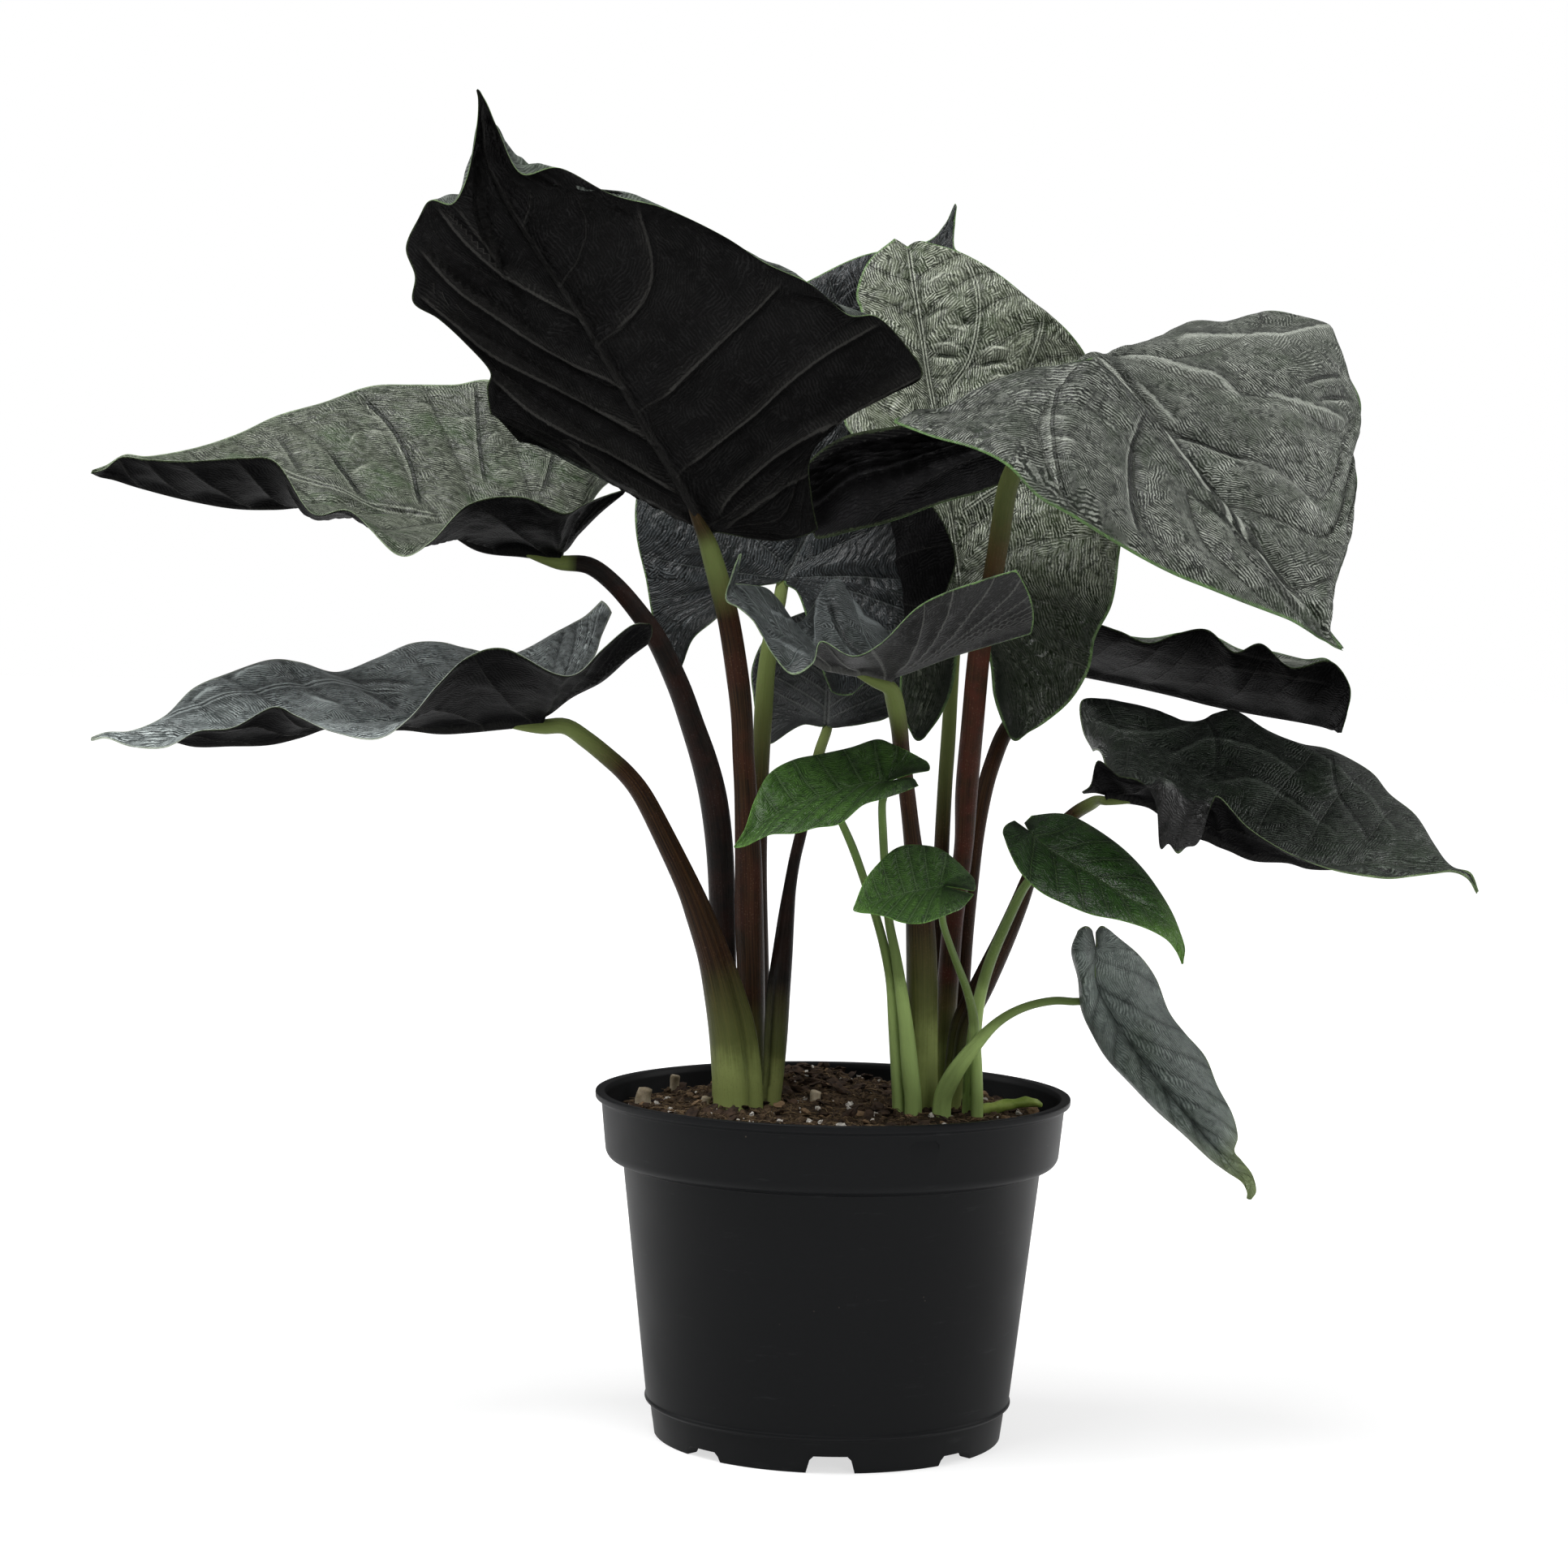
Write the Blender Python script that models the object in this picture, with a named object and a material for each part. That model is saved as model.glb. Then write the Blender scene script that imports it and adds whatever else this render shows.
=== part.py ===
"""Potted velvet alocasia: black nursery pot, peat soil, fifteen leaf stalks and fourteen leaf blades.

All lengths below are millimetres; the finished meshes are in metres with +Z up.
Leaf and stalk points are given as they were read from the front view
(picture x, picture y) with the depth of the point behind (+) or in front (-) of the pot's axis.
"""
import math
import bpy
import bmesh
import numpy as np
from mathutils import Vector
from mathutils.bvhtree import BVHTree

for ob in list(bpy.data.objects):
    bpy.data.objects.remove(ob, do_unlink=True)

MM = 0.001

# ---- pot: standard six-inch nursery pot ----
POT_HEIGHT = 110.0
LIP_RADIUS = 76.0
LIP_HEIGHT = 2.2
BAND_TOP_RADIUS = 74.2
BAND_BOTTOM_RADIUS = 72.4
BAND_HEIGHT = 18.5
BODY_TOP_RADIUS = 66.8
BODY_LOW_RADIUS = 58.6
STEP_HEIGHT = 11.4          # ring line above the feet
SKIRT_TOP_RADIUS = 57.3
SKIRT_LOW_RADIUS = 56.3
WALL = 1.7
FLOOR_THICK = 2.2
FOOT_HEIGHT = 5.6           # height of the arched notches between the feet
POT_SIDES = 48

# ---- soil ----
SOIL_DEPTH = 5.2            # soil surface below the rim
SOIL_GAP = 0.3

# ---- leaves ----
BLADE_THICK = 1.0
CLEARANCE = 0.35

# ---- view that the positions were read from ----
VIEW_X, VIEW_Y, VIEW_Z = -17.45, -1090.0, 258.5
FOCAL = 4216.0
PITCH = math.radians(2.70)
ROLL = math.radians(1.05)
HALF = 966.0

# the pot stands 1 mm under the view's zero height; the origin is the middle of the
# whole plant's footprint box, on the surface that the pot stands on
POT_BASE_Z = -1.0
ORIGIN_X = -19.8
ORIGIN_Y = 4.4


def at(px, py, depth):
    """Point in mm seen at picture position px, py on the upright plane Y = depth."""
    x = px - HALF
    y = py - HALF
    x0 = x * math.cos(ROLL) + y * math.sin(ROLL)
    y0 = -x * math.sin(ROLL) + y * math.cos(ROLL)
    dx = x0 / FOCAL
    dy = math.cos(PITCH) - (y0 / FOCAL) * math.sin(PITCH)
    dz = -math.sin(PITCH) - (y0 / FOCAL) * math.cos(PITCH)
    t = (depth - VIEW_Y) / dy
    return (VIEW_X + dx * t - ORIGIN_X, depth - ORIGIN_Y, VIEW_Z + dz * t - POT_BASE_Z)


def smooth_path(points, count):
    """Catmull-Rom curve through the rows of points, sampled at count places."""
    p = np.asarray(points, float)
    n = len(p)
    out = []
    for u in np.linspace(0, n - 1, count):
        i = min(int(u), n - 2)
        f = u - i
        a = p[i - 1] if i > 0 else 2 * p[0] - p[1]
        b, c = p[i], p[i + 1]
        d = p[i + 2] if i + 2 < n else 2 * p[-1] - p[-2]
        out.append(0.5 * (2 * b + (c - a) * f + (2 * a - 5 * b + 4 * c - d) * f * f
                          + (3 * b - a - 3 * c + d) * f ** 3))
    return np.array(out)


LEAVES = {}

# tall leaf at the back left, seen from its dark underside
LEAVES['blade_tall_left'] = dict(flip=1,
 lobe0=[((640,545,-22),(660,548,-20),(690,560,-16)), ((610,512,-34),(700,565,-16),(790,615,-12))],
 rows=[
  ((604,508,-40),(745,583,-22),(868,652,-12),(955,582,-16),(1040,516,-18)),
  ((600,478,-44),(730,545,-27),(845,610,-18),(965,540,-21),(1098,486,-22)),
  ((603,457,-46),(715,505,-32),(818,565,-24),(955,500,-26),(1137,462,-25)),
  ((572,422,-51),(690,462,-38),(790,520,-30),(930,445,-32),(1112,420,-30)),
  ((540,393,-55),(660,415,-44),(762,470,-36),(900,395,-38),(1080,390,-34)),
  ((509,373,-58),(640,375,-49),(735,425,-42),(870,355,-44),(1045,388,-38)),
  ((511,340,-61),(612,335,-54),(705,375,-48),(830,310,-50),(1000,351,-42)),
  ((500,305,-64),(600,300,-59),(675,330,-54),(780,275,-56),(945,325,-47)),
  ((516,268,-67),(588,268,-64),(648,287,-60),(735,258,-61),(890,290,-53)),
  ((530,247,-70),(585,245,-68),(625,248,-66),(700,240,-66),(820,257,-60)),
  ((556,252,-72),(587,225,-71),(610,215,-70),(655,228,-70),(755,240,-66)),
  ((572,228,-75),(588,198,-74),(602,188,-74),(625,205,-74),(690,207,-71)),
  ((582,190,-80),(590,170,-79),(598,165,-79),(612,178,-79),(642,214,-77)),
  ((588,150,-85),(592,142,-85),(596,142,-85),(602,148,-85),(614,160,-84)),
  ((589,125,-89),(592,124,-89),(595,124,-89),(598,126,-89),(602,132,-89)),
  ((587,111,-92),(588,110,-92),(589,110,-92),(590,111,-92),(592,113,-92)),
 ],
 lobe1=[((1008,652,-4),(985,662,-3),(950,667,-4)), ((1000,610,-8),(960,640,-8),(915,662,-9)), ((1000,560,-14),(950,610,-13),(890,657,-11))])

# upper leaf on the left
LEAVES['blade_left_upper'] = dict(flip=0,
 lobe0=[((776,601,6),(772,604,8),(768,609,10)), ((742,612,-8),(742,620,-1),(740,632,5)), ((718,622,-22),(714,640,-10),(714,658,3))],
 rows=[
  ((693,632,-34),(684,665,-20),(690,683,4),(712,640,24),(728,572,44)),
  ((642,612,-46),(642,650,-28),(645,678,3),(658,590,30),(668,500,52)),
  ((578,621,-50),(582,655,-30),(592,672,1),(602,572,31),(608,469,55)),
  ((530,668,-54),(536,668,-30),(545,646,0),(552,562,29),(560,474,54)),
  ((490,684,-56),(490,660,-32),(492,637,-2),(502,558,26),(510,474,52)),
  ((432,630,-56),(434,642,-33),(437,629,-5),(446,558,22),(456,476,48)),
  ((384,632,-53),(384,637,-31),(387,620,-8),(392,560,17),(398,496,42)),
  ((341,570,-49),(334,606,-34),(338,623,-11),(340,572,13),(342,512,35)),
  ((300,564,-46),(292,600,-34),(287,622,-14),(290,580,7),(292,535,26)),
  ((235,568,-43),(231,597,-33),(229,612,-18),(235,583,-1),(240,552,14)),
  ((182,566,-39),(177,586,-32),(173,598,-23),(178,582,-12),(184,562,-2)),
  ((150,563,-37),(144,578,-32),(140,588,-27),(148,575,-20),(154,560,-13)),
  ((130,577,-36),(126,582,-33),(124,586,-31),(127,580,-29),(131,573,-27)),
  ((114,582,-35),(113,583,-35),(112,583,-34),(113,581,-34),(114,579,-34)),
 ],
 lobe1=[((772,580,58),(768,583,54),(762,587,49)), ((752,560,57),(744,584,44),(735,610,30))])

# lower leaf on the left
LEAVES['blade_left_lower'] = dict(flip=0,
 lobe0=[((800,768,-46),(804,778,-42),(798,794,-37)), ((777,771,-56),(777,790,-47),(774,812,-36)), ((742,800,-60),(745,820,-48),(742,840,-30)), ((712,829,-58),(710,845,-42),(704,860,-20))],
 rows=[
  ((682,829,-55),(674,860,-34),(668,885,-5),(672,842,16),(688,777,40)),
  ((622,799,-54),(618,850,-38),(620,890,-8),(625,850,15),(630,806,38)),
  ((577,809,-55),(572,855,-40),(576,895,-10),(576,845,12),(577,799,36)),
  ((540,843,-57),(538,873,-41),(541,897,-13),(541,842,10),(542,791,34)),
  ((503,886,-58),(501,893,-39),(500,893,-15),(501,845,8),(506,793,32)),
  ((463,911,-58),(461,902,-39),(462,894,-17),(462,852,5),(464,811,28)),
  ((408,901,-56),(410,896,-39),(412,890,-20),(412,852,1),(415,828,22)),
  ((366,882,-52),(366,898,-39),(368,904,-23),(368,857,-1),(370,816,17)),
  ((336,871,-50),(332,896,-39),(330,913,-26),(331,860,-6),(332,813,12)),
  ((287,896,-46),(283,908,-39),(283,915,-29),(281,872,-13),(280,830,2)),
  ((243,901,-45),(240,911,-39),(240,916,-32),(239,882,-19),(238,848,-8)),
  ((204,921,-44),(203,915,-39),(203,908,-34),(203,896,-27),(203,882,-20)),
  ((162,920,-43),(161,915,-40),(160,910,-38),(161,905,-35),(163,900,-32)),
  ((132,910,-42),(131,908,-41),(131,906,-40),(131,904,-39),(132,902,-38)),
  ((113,913,-41),(112,912,-41),(112,911,-41),(112,910,-41),(113,908,-41)),
 ],
 lobe1=[((741,740,48),(748,745,46),(754,755,44)), ((722,758,46),(734,770,42),(742,782,38)), ((705,768,43),(716,795,33),(727,818,23))])

# broad dark leaf behind the middle
LEAVES['blade_back_center'] = dict(flip=0,
 lobe0=[((833,818,14),(838,824,14),(843,812,15)), ((812,790,16),(835,795,18),(855,786,19)), ((803,757,18),(838,762,20),(880,765,22)), ((796,715,20),(850,735,22),(925,726,25))],
 rows=[
  ((784,660,23),(880,690,25),(966,714,28),(1060,702,31),(1160,704,34)),
  ((784,612,27),(885,628,30),(990,668,34),(1080,650,37),(1190,640,40)),
  ((800,550,33),(905,575,36),(1015,620,40),(1110,590,44),(1218,570,47)),
  ((835,485,39),(930,520,42),(1040,570,46),(1130,530,50),(1232,500,53)),
  ((880,425,46),(965,465,48),(1065,515,52),(1145,475,56),(1234,440,59)),
  ((935,378,52),(1010,412,54),(1090,460,58),(1155,425,61),(1224,390,64)),
  ((998,345,58),(1055,370,60),(1112,405,63),(1160,380,66),(1206,350,68)),
  ((1062,315,64),(1098,332,65),(1135,350,68),(1160,335,70),(1188,316,72)),
  ((1138,299,71),(1147,301,71),(1157,303,72),(1167,303,73),(1176,304,74)),
  ((1163,278,74),(1166,276,74),(1170,275,74),(1173,274,75),(1177,274,75)),
  ((1175,254,76),(1176,252,76),(1177,251,76),(1178,252,76),(1179,255,76)),
 ],
 lobe1=[((1050,856,14),(1036,857,13),(1024,852,12)), ((1075,832,15),(1042,835,14),(1014,828,13)), ((1104,795,20),(1050,795,19),(1003,792,18)), ((1130,760,25),(1057,760,23),(994,762,21)), ((1148,730,30),(1062,730,27),(982,730,25))])

# shiny leaf facing the viewer at the back right
LEAVES['blade_back_right'] = dict(flip=0,
 lobe0=[((1124,906,3),(1131,913,4),(1140,908,4)), ((1112,880,3),(1136,885,7),(1160,880,6)), ((1109,840,2),(1140,845,9),(1174,845,8)), ((1118,800,0),(1128,800,8),(1180,805,11)), ((1150,768,-2),(1116,768,6),(1184,768,14))],
 rows=[
  ((1165,732,-1),(1112,732,8),(1182,733,18),(1275,722,15),(1370,745,9)),
  ((1178,692,-1),(1106,695,10),(1180,690,21),(1272,672,19),(1378,695,12)),
  ((1168,655,1),(1100,655,13),(1174,640,24),(1275,620,24),(1380,640,17)),
  ((1146,620,6),(1096,612,17),(1167,590,28),(1272,560,32),(1350,580,30)),
  ((1092,570,16),(1096,565,23),(1161,550,32),(1262,510,38),(1345,520,40)),
  ((1042,525,26),(1098,512,31),(1155,511,36),(1255,465,42),(1345,475,42)),
  ((1045,475,34),(1096,468,36),(1148,470,40),(1250,425,44),(1340,442,42)),
  ((1055,430,39),(1094,425,41),(1140,425,44),(1235,387,46),(1312,404,41)),
  ((1061,388,45),(1092,386,46),(1132,380,48),(1210,352,50),(1273,372,47)),
  ((1055,361,49),(1090,352,50),(1126,345,52),(1180,328,54),(1228,336,51)),
  ((1070,322,54),(1094,320,55),(1121,320,56),(1150,312,58),(1184,311,56)),
  ((1102,294,60),(1110,299,59),(1118,304,59),(1127,299,60),(1137,297,60)),
 ],
 lobe1=[((1262,905,-3),(1251,913,-3),(1242,904,-3)), ((1288,890,0),(1262,885,2),(1233,885,1)), ((1320,862,4),(1272,855,7),(1224,856,5)), ((1342,824,7),(1280,825,11),(1220,818,9)), ((1350,785,9),(1280,785,13),(1210,778,14))])

# big leaf on the right, tip down
LEAVES['blade_right_upper'] = dict(flip=0,
 lobe0=[((1102,521,-52),(1103,517,-50),(1110,514,-46)), ((1150,539,-60),(1158,520,-50),(1172,500,-38)), ((1200,553,-66),(1205,515,-52),(1222,474,-30)), ((1242,575,-72),(1250,515,-56),(1262,459,-26)), ((1278,612,-74),(1292,530,-60),(1306,450,-28))],
 rows=[
  ((1318,635,-76),(1325,545,-62),(1346,444,-30),(1420,428,8),(1465,404,40)),
  ((1362,662,-77),(1365,575,-63),(1375,468,-30),(1455,425,6),(1520,400,42)),
  ((1410,690,-78),(1405,610,-65),(1405,500,-33),(1500,430,2),(1562,383,40)),
  ((1450,710,-78),(1450,645,-66),(1438,538,-37),(1540,450,-4),(1612,393,36)),
  ((1490,726,-78),(1485,670,-67),(1470,578,-42),(1580,470,-10),(1638,411,28)),
  ((1530,742,-77),(1525,690,-68),(1502,617,-47),(1605,510,-18),(1660,460,18)),
  ((1562,754,-75),(1555,715,-68),(1533,655,-52),(1618,560,-26),(1677,500,6)),
  ((1590,765,-73),(1582,738,-68),(1562,692,-56),(1626,615,-36),(1667,555,-8)),
  ((1612,778,-71),(1605,760,-68),(1590,727,-60),(1634,665,-44),(1672,600,-20)),
  ((1624,786,-69),(1619,775,-67),(1610,755,-63),(1640,705,-54),(1655,655,-38)),
  ((1634,791,-67),(1630,786,-66),(1624,776,-64),(1631,750,-60),(1638,712,-52)),
  ((1645,798,-65),(1641,794,-65),(1638,790,-64),(1636,780,-63),(1634,765,-60)),
  ((1655,802,-64),(1654,801,-64),(1653,800,-64),(1654,799,-64),(1656,799,-64)),
 ],
 lobe1=[((1002,657,2),(988,620,3),(988,585,3)), ((1010,664,0),(1010,610,2),(1005,560,3)), ((1052,654,-9),(1048,590,-4),(1045,536,-2)), ((1100,642,-16),(1106,580,-9),(1110,524,-6)), ((1160,620,-20),(1168,565,-10),(1172,514,-6)), ((1215,604,-20),(1228,553,-10),(1236,500,-8)), ((1268,578,-8),(1274,528,-8),(1280,478,-11)), ((1340,524,10),(1322,482,-4),(1304,459,-15)), ((1412,470,20),(1366,446,0),(1326,450,-21))])

# curled leaf in front of the middle
LEAVES['blade_front_center'] = dict(flip=0,
 lobe0=[((1252,702,-84),(1272,745,-72),(1270,781,-62)), ((1215,713,-86),(1226,755,-74),(1222,795,-58)), ((1165,730,-87),(1175,772,-74),(1172,810,-54))],
 rows=[
  ((1128,750,-84),(1120,800,-70),(1097,836,-47),(1096,800,-27),(1088,776,-8)),
  ((1086,792,-80),(1075,815,-64),(1064,827,-48),(1056,780,-30),(1052,743,-12)),
  ((1050,808,-77),(1042,818,-62),(1034,822,-50),(1031,765,-32),(1030,712,-15)),
  ((1012,790,-72),(1016,806,-62),(1012,816,-52),(1005,785,-34),(1004,744,-18)),
  ((1002,817,-72),(992,808,-64),(982,792,-52),(976,778,-37),(982,768,-22)),
  ((976,831,-72),(968,808,-64),(958,778,-52),(956,756,-40),(962,742,-25)),
  ((952,806,-70),(946,785,-62),(941,762,-52),(940,742,-42),(945,725,-30)),
  ((930,768,-66),(926,757,-60),(922,746,-52),(922,734,-46),(925,721,-37)),
  ((911,750,-60),(909,743,-56),(907,735,-52),(907,727,-48),(908,719,-44)),
  ((894,738,-55),(897,733,-53),(900,728,-52),(903,723,-50),(906,716,-48)),
  ((902,706,-51),(904,705,-51),(906,703,-50),(908,702,-50),(910,700,-49)),
  ((910,684,-50),(911,683,-50),(912,682,-50),(913,682,-50),(914,683,-50)),
 ],
 lobe1=[((1165,776,-24),(1168,790,-28),(1165,802,-32)), ((1125,770,-12),(1132,797,-26),(1132,820,-38))])

# low dark leaf behind the middle, underside seen
LEAVES['blade_center_low'] = dict(flip=1,
 lobe0=[((937,908,30),(947,917,28),(962,908,28)), ((931,880,33),(960,890,31),(990,893,29))],
 rows=[
  ((928,858,36),(970,872,33),(1018,893,28),(1060,878,28),(1112,862,30)),
  ((926,825,42),(975,838,39),(1020,850,36),(1065,840,36),(1112,828,36)),
  ((940,790,46),(980,800,44),(1020,810,43),(1058,802,43),(1096,790,42)),
  ((965,765,47),(992,772,48),(1020,776,49),(1045,772,49),(1070,765,48)),
  ((1008,748,53),(1014,746,53),(1020,745,53),(1026,746,53),(1032,748,53)),
 ],
 lobe1=[((1090,886,24),(1080,889,23),(1068,890,23)), ((1104,878,28),(1075,886,26),(1045,895,26))])

# rolled leaf on the right, underside seen
LEAVES['blade_right_rolled'] = dict(flip=0,
 lobe0=[((1300,790,20),(1290,800,30),(1282,812,44)), ],
 rows=[
  ((1338,768,14),(1325,800,30),(1304,820,64),(1312,800,85),(1322,780,101)),
  ((1378,777,10),(1372,806,25),(1360,832,58),(1368,805,79),(1376,782,95)),
  ((1415,792,7),(1411,818,22),(1405,842,51),(1411,812,73),(1417,786,89)),
  ((1452,780,3),(1451,818,18),(1450,853,44),(1454,815,66),(1458,779,82)),
  ((1488,776,0),(1489,822,14),(1490,864,38),(1491,822,59),(1492,782,76)),
  ((1521,803,-3),(1523,840,10),(1526,872,32),(1527,832,52),(1529,800,69)),
  ((1554,793,-6),(1558,839,6),(1562,879,26),(1563,838,46),(1564,802,62)),
  ((1591,822,-9),(1596,856,2),(1600,886,20),(1603,846,38),(1607,812,54)),
  ((1638,814,-11),(1634,857,-2),(1628,892,13),(1632,852,31),(1636,812,45)),
  ((1663,845,-18),(1654,877,-8),(1642,897,4),(1648,870,19),(1656,838,33)),
  ((1660,878,-16),(1653,890,-9),(1645,899,0),(1650,888,10),(1657,874,19)),
  ((1653,903,-8),(1650,903,-5),(1648,903,-2),(1650,902,1),(1653,901,4)),
 ],
 lobe1=[((1284,795,98),(1280,805,90),(1276,815,80))])

# long torn leaf on the right
LEAVES['blade_right_torn'] = dict(flip=0,
 lobe0=[((1333,976,-45),(1334,977,-44),(1335,978,-43)), ((1344,966,-46),(1346,971,-45),(1349,977,-41))],
 rows=[
  ((1353,937,-46),(1358,958,-45),(1364,980,-36),(1359,934,-2),(1347,926,16)),
  ((1378,955,-49),(1384,970,-46),(1392,982,-37),(1374,915,0),(1334,900,22)),
  ((1405,962,-51),(1409,975,-48),(1418,988,-38),(1388,908,1),(1332,864,26)),
  ((1424,990,-56),(1433,964,-51),(1436,1000,-39),(1402,908,1),(1360,861,26)),
  ((1429,1044,-57),(1442,970,-51),(1446,1006,-39),(1416,910,0),(1384,865,26)),
  ((1440,1040,-57),(1451,980,-51),(1455,1012,-40),(1430,914,-1),(1404,869,26)),
  ((1451,1052,-57),(1459,986,-51),(1464,1017,-40),(1444,920,-2),(1422,874,25)),
  ((1462,1044,-57),(1467,989,-51),(1472,1022,-41),(1456,927,-4),(1438,880,24)),
  ((1474,1041,-57),(1475,990,-51),(1480,1027,-41),(1468,933,-6),(1455,887,23)),
  ((1483,1024,-57),(1486,992,-51),(1491,1031,-42),(1480,938,-7),(1470,889,22)),
  ((1493,988,-54),(1498,1008,-49),(1503,1037,-42),(1492,940,-8),(1484,886,22)),
  ((1504,983,-54),(1511,1012,-49),(1518,1043,-43),(1506,941,-10),(1497,879,21)),
  ((1535,1017,-56),(1540,1036,-51),(1546,1055,-45),(1532,946,-13),(1523,876,19)),
  ((1573,1043,-58),(1579,1051,-54),(1586,1058,-48),(1574,966,-19),(1562,900,14)),
  ((1608,1060,-60),(1611,1063,-57),(1614,1066,-52),(1608,979,-24),(1602,916,9)),
  ((1645,1073,-60),(1648,1070,-58),(1651,1067,-55),(1645,990,-29),(1640,924,2)),
  ((1682,1080,-60),(1688,1072,-58),(1692,1063,-55),(1692,1008,-36),(1688,950,-10)),
  ((1712,1083,-60),(1718,1075,-58),(1722,1065,-56),(1718,1020,-42),(1712,978,-22)),
  ((1740,1080,-60),(1744,1074,-58),(1748,1067,-56),(1748,1040,-48),(1744,1004,-34)),
  ((1765,1077,-59),(1768,1073,-58),(1770,1069,-57),(1770,1056,-52),(1767,1040,-44)),
  ((1790,1075,-58),(1790,1073,-58),(1790,1071,-57),(1790,1069,-56),(1787,1067,-54)),
  ((1808,1083,-58),(1809,1081,-58),(1810,1079,-57),(1811,1077,-57),(1812,1075,-57)),
  ((1819,1101,-58),(1820,1101,-58),(1820,1100,-58),(1821,1099,-58),(1822,1098,-58)),
 ],
 lobe1=[])

# hanging leaf at the lower right
LEAVES['blade_right_hanging'] = dict(flip=0, sag0=(-2,0,-6), sag1=(2,0,-8),
 lobe0=[((1328,1147,-38),(1338,1141,-40),(1346,1147,-34))],
 rows=[
  ((1320,1172,-34),(1334,1172,-39),(1350,1170,-29),(1374,1168,-27),(1402,1175,-22)),
  ((1328,1206,-26),(1338,1208,-30),(1351,1212,-24),(1385,1200,-22),(1424,1205,-12)),
  ((1332,1243,-22),(1346,1243,-27),(1368,1247,-24),(1402,1240,-24),(1440,1246,-14)),
  ((1346,1275,-22),(1364,1276,-28),(1390,1282,-26),(1420,1275,-27),(1460,1273,-18)),
  ((1364,1305,-24),(1385,1308,-31),(1412,1313,-29),(1442,1305,-30),(1485,1302,-20)),
  ((1392,1335,-26),(1412,1338,-34),(1435,1342,-32),(1462,1335,-33),(1500,1338,-24)),
  ((1424,1368,-30),(1442,1368,-37),(1460,1372,-36),(1485,1368,-37),(1518,1372,-30)),
  ((1458,1398,-35),(1470,1398,-41),(1484,1400,-40),(1502,1398,-41),(1525,1400,-36)),
  ((1490,1428,-40),(1497,1424,-44),(1505,1423,-44),(1513,1421,-44),(1521,1418,-42)),
  ((1510,1443,-45),(1514,1441,-47),(1519,1439,-48),(1524,1435,-48),(1530,1430,-47)),
  ((1529,1456,-50),(1532,1454,-50),(1536,1452,-50),(1540,1449,-50),(1543,1447,-50)),
  ((1536,1468,-53),(1539,1468,-53),(1542,1467,-53),(1545,1467,-53),(1548,1467,-53)),
  ((1536,1476,-56),(1537,1477,-56),(1539,1478,-56),(1541,1478,-56),(1542,1478,-56)),
 ],
 lobe1=[((1366,1146,-32),(1357,1141,-34),(1350,1149,-31))])

# small green leaf, left of the three
LEAVES['blade_small_left'] = dict(flip=0,
 lobe0=[((1104,979,-64),(1118,974,-64),(1132,968,-62)), ((1086,985,-68),(1098,972,-66),(1122,958,-58))],
 rows=[
  ((1062,993,-72),(1075,980,-66),(1092,963,-54),(1100,938,-46),(1100,917,-38)),
  ((1035,1015,-78),(1050,990,-68),(1062,966,-57),(1072,938,-48),(1080,911,-38)),
  ((1005,1020,-80),(1018,998,-71),(1030,975,-60),(1040,948,-51),(1048,921,-42)),
  ((980,1027,-81),(990,1005,-74),(1000,985,-64),(1006,958,-56),(1012,929,-46)),
  ((952,1028,-82),(960,1012,-76),(970,996,-68),(974,970,-62),(978,936,-52)),
  ((936,1034,-82),(940,1022,-78),(946,1010,-73),(946,985,-67),(948,953,-60)),
  ((922,1041,-82),(924,1033,-79),(926,1026,-77),(928,1010,-73),(930,985,-68)),
  ((913,1044,-82),(913,1040,-81),(914,1036,-80),(916,1028,-79),(919,1018,-77)),
  ((905,1045,-82),(905,1044,-82),(904,1043,-82),(905,1042,-82),(906,1041,-82)),
 ],
 lobe1=[((1142,938,-46),(1146,945,-49),(1144,950,-52)), ((1124,928,-42),(1126,940,-46),(1122,954,-54))])

# small green leaf in the middle
LEAVES['blade_small_mid'] = dict(flip=0,
 lobe0=[((1184,1120,-70),(1192,1112,-69),(1200,1102,-65)), ],
 rows=[
  ((1158,1131,-78),(1158,1112,-72),(1162,1092,-60),(1176,1082,-55),(1196,1078,-48)),
  ((1135,1138,-82),(1138,1116,-74),(1140,1096,-64),(1150,1072,-56),(1162,1048,-47)),
  ((1112,1137,-84),(1114,1118,-77),(1116,1101,-69),(1122,1070,-60),(1130,1041,-50)),
  ((1092,1130,-85),(1093,1118,-80),(1094,1107,-74),(1098,1080,-66),(1104,1045,-57)),
  ((1074,1126,-86),(1074,1119,-82),(1075,1112,-79),(1076,1095,-73),(1080,1066,-66)),
  ((1062,1125,-86),(1062,1120,-84),(1062,1116,-83),(1062,1108,-79),(1064,1088,-75)),
  ((1053,1123,-86),(1052,1122,-86),(1051,1121,-86),(1052,1118,-85),(1053,1115,-84)),
 ],
 lobe1=[((1202,1090,-52),(1202,1095,-55),(1200,1098,-60)), ])

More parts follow.
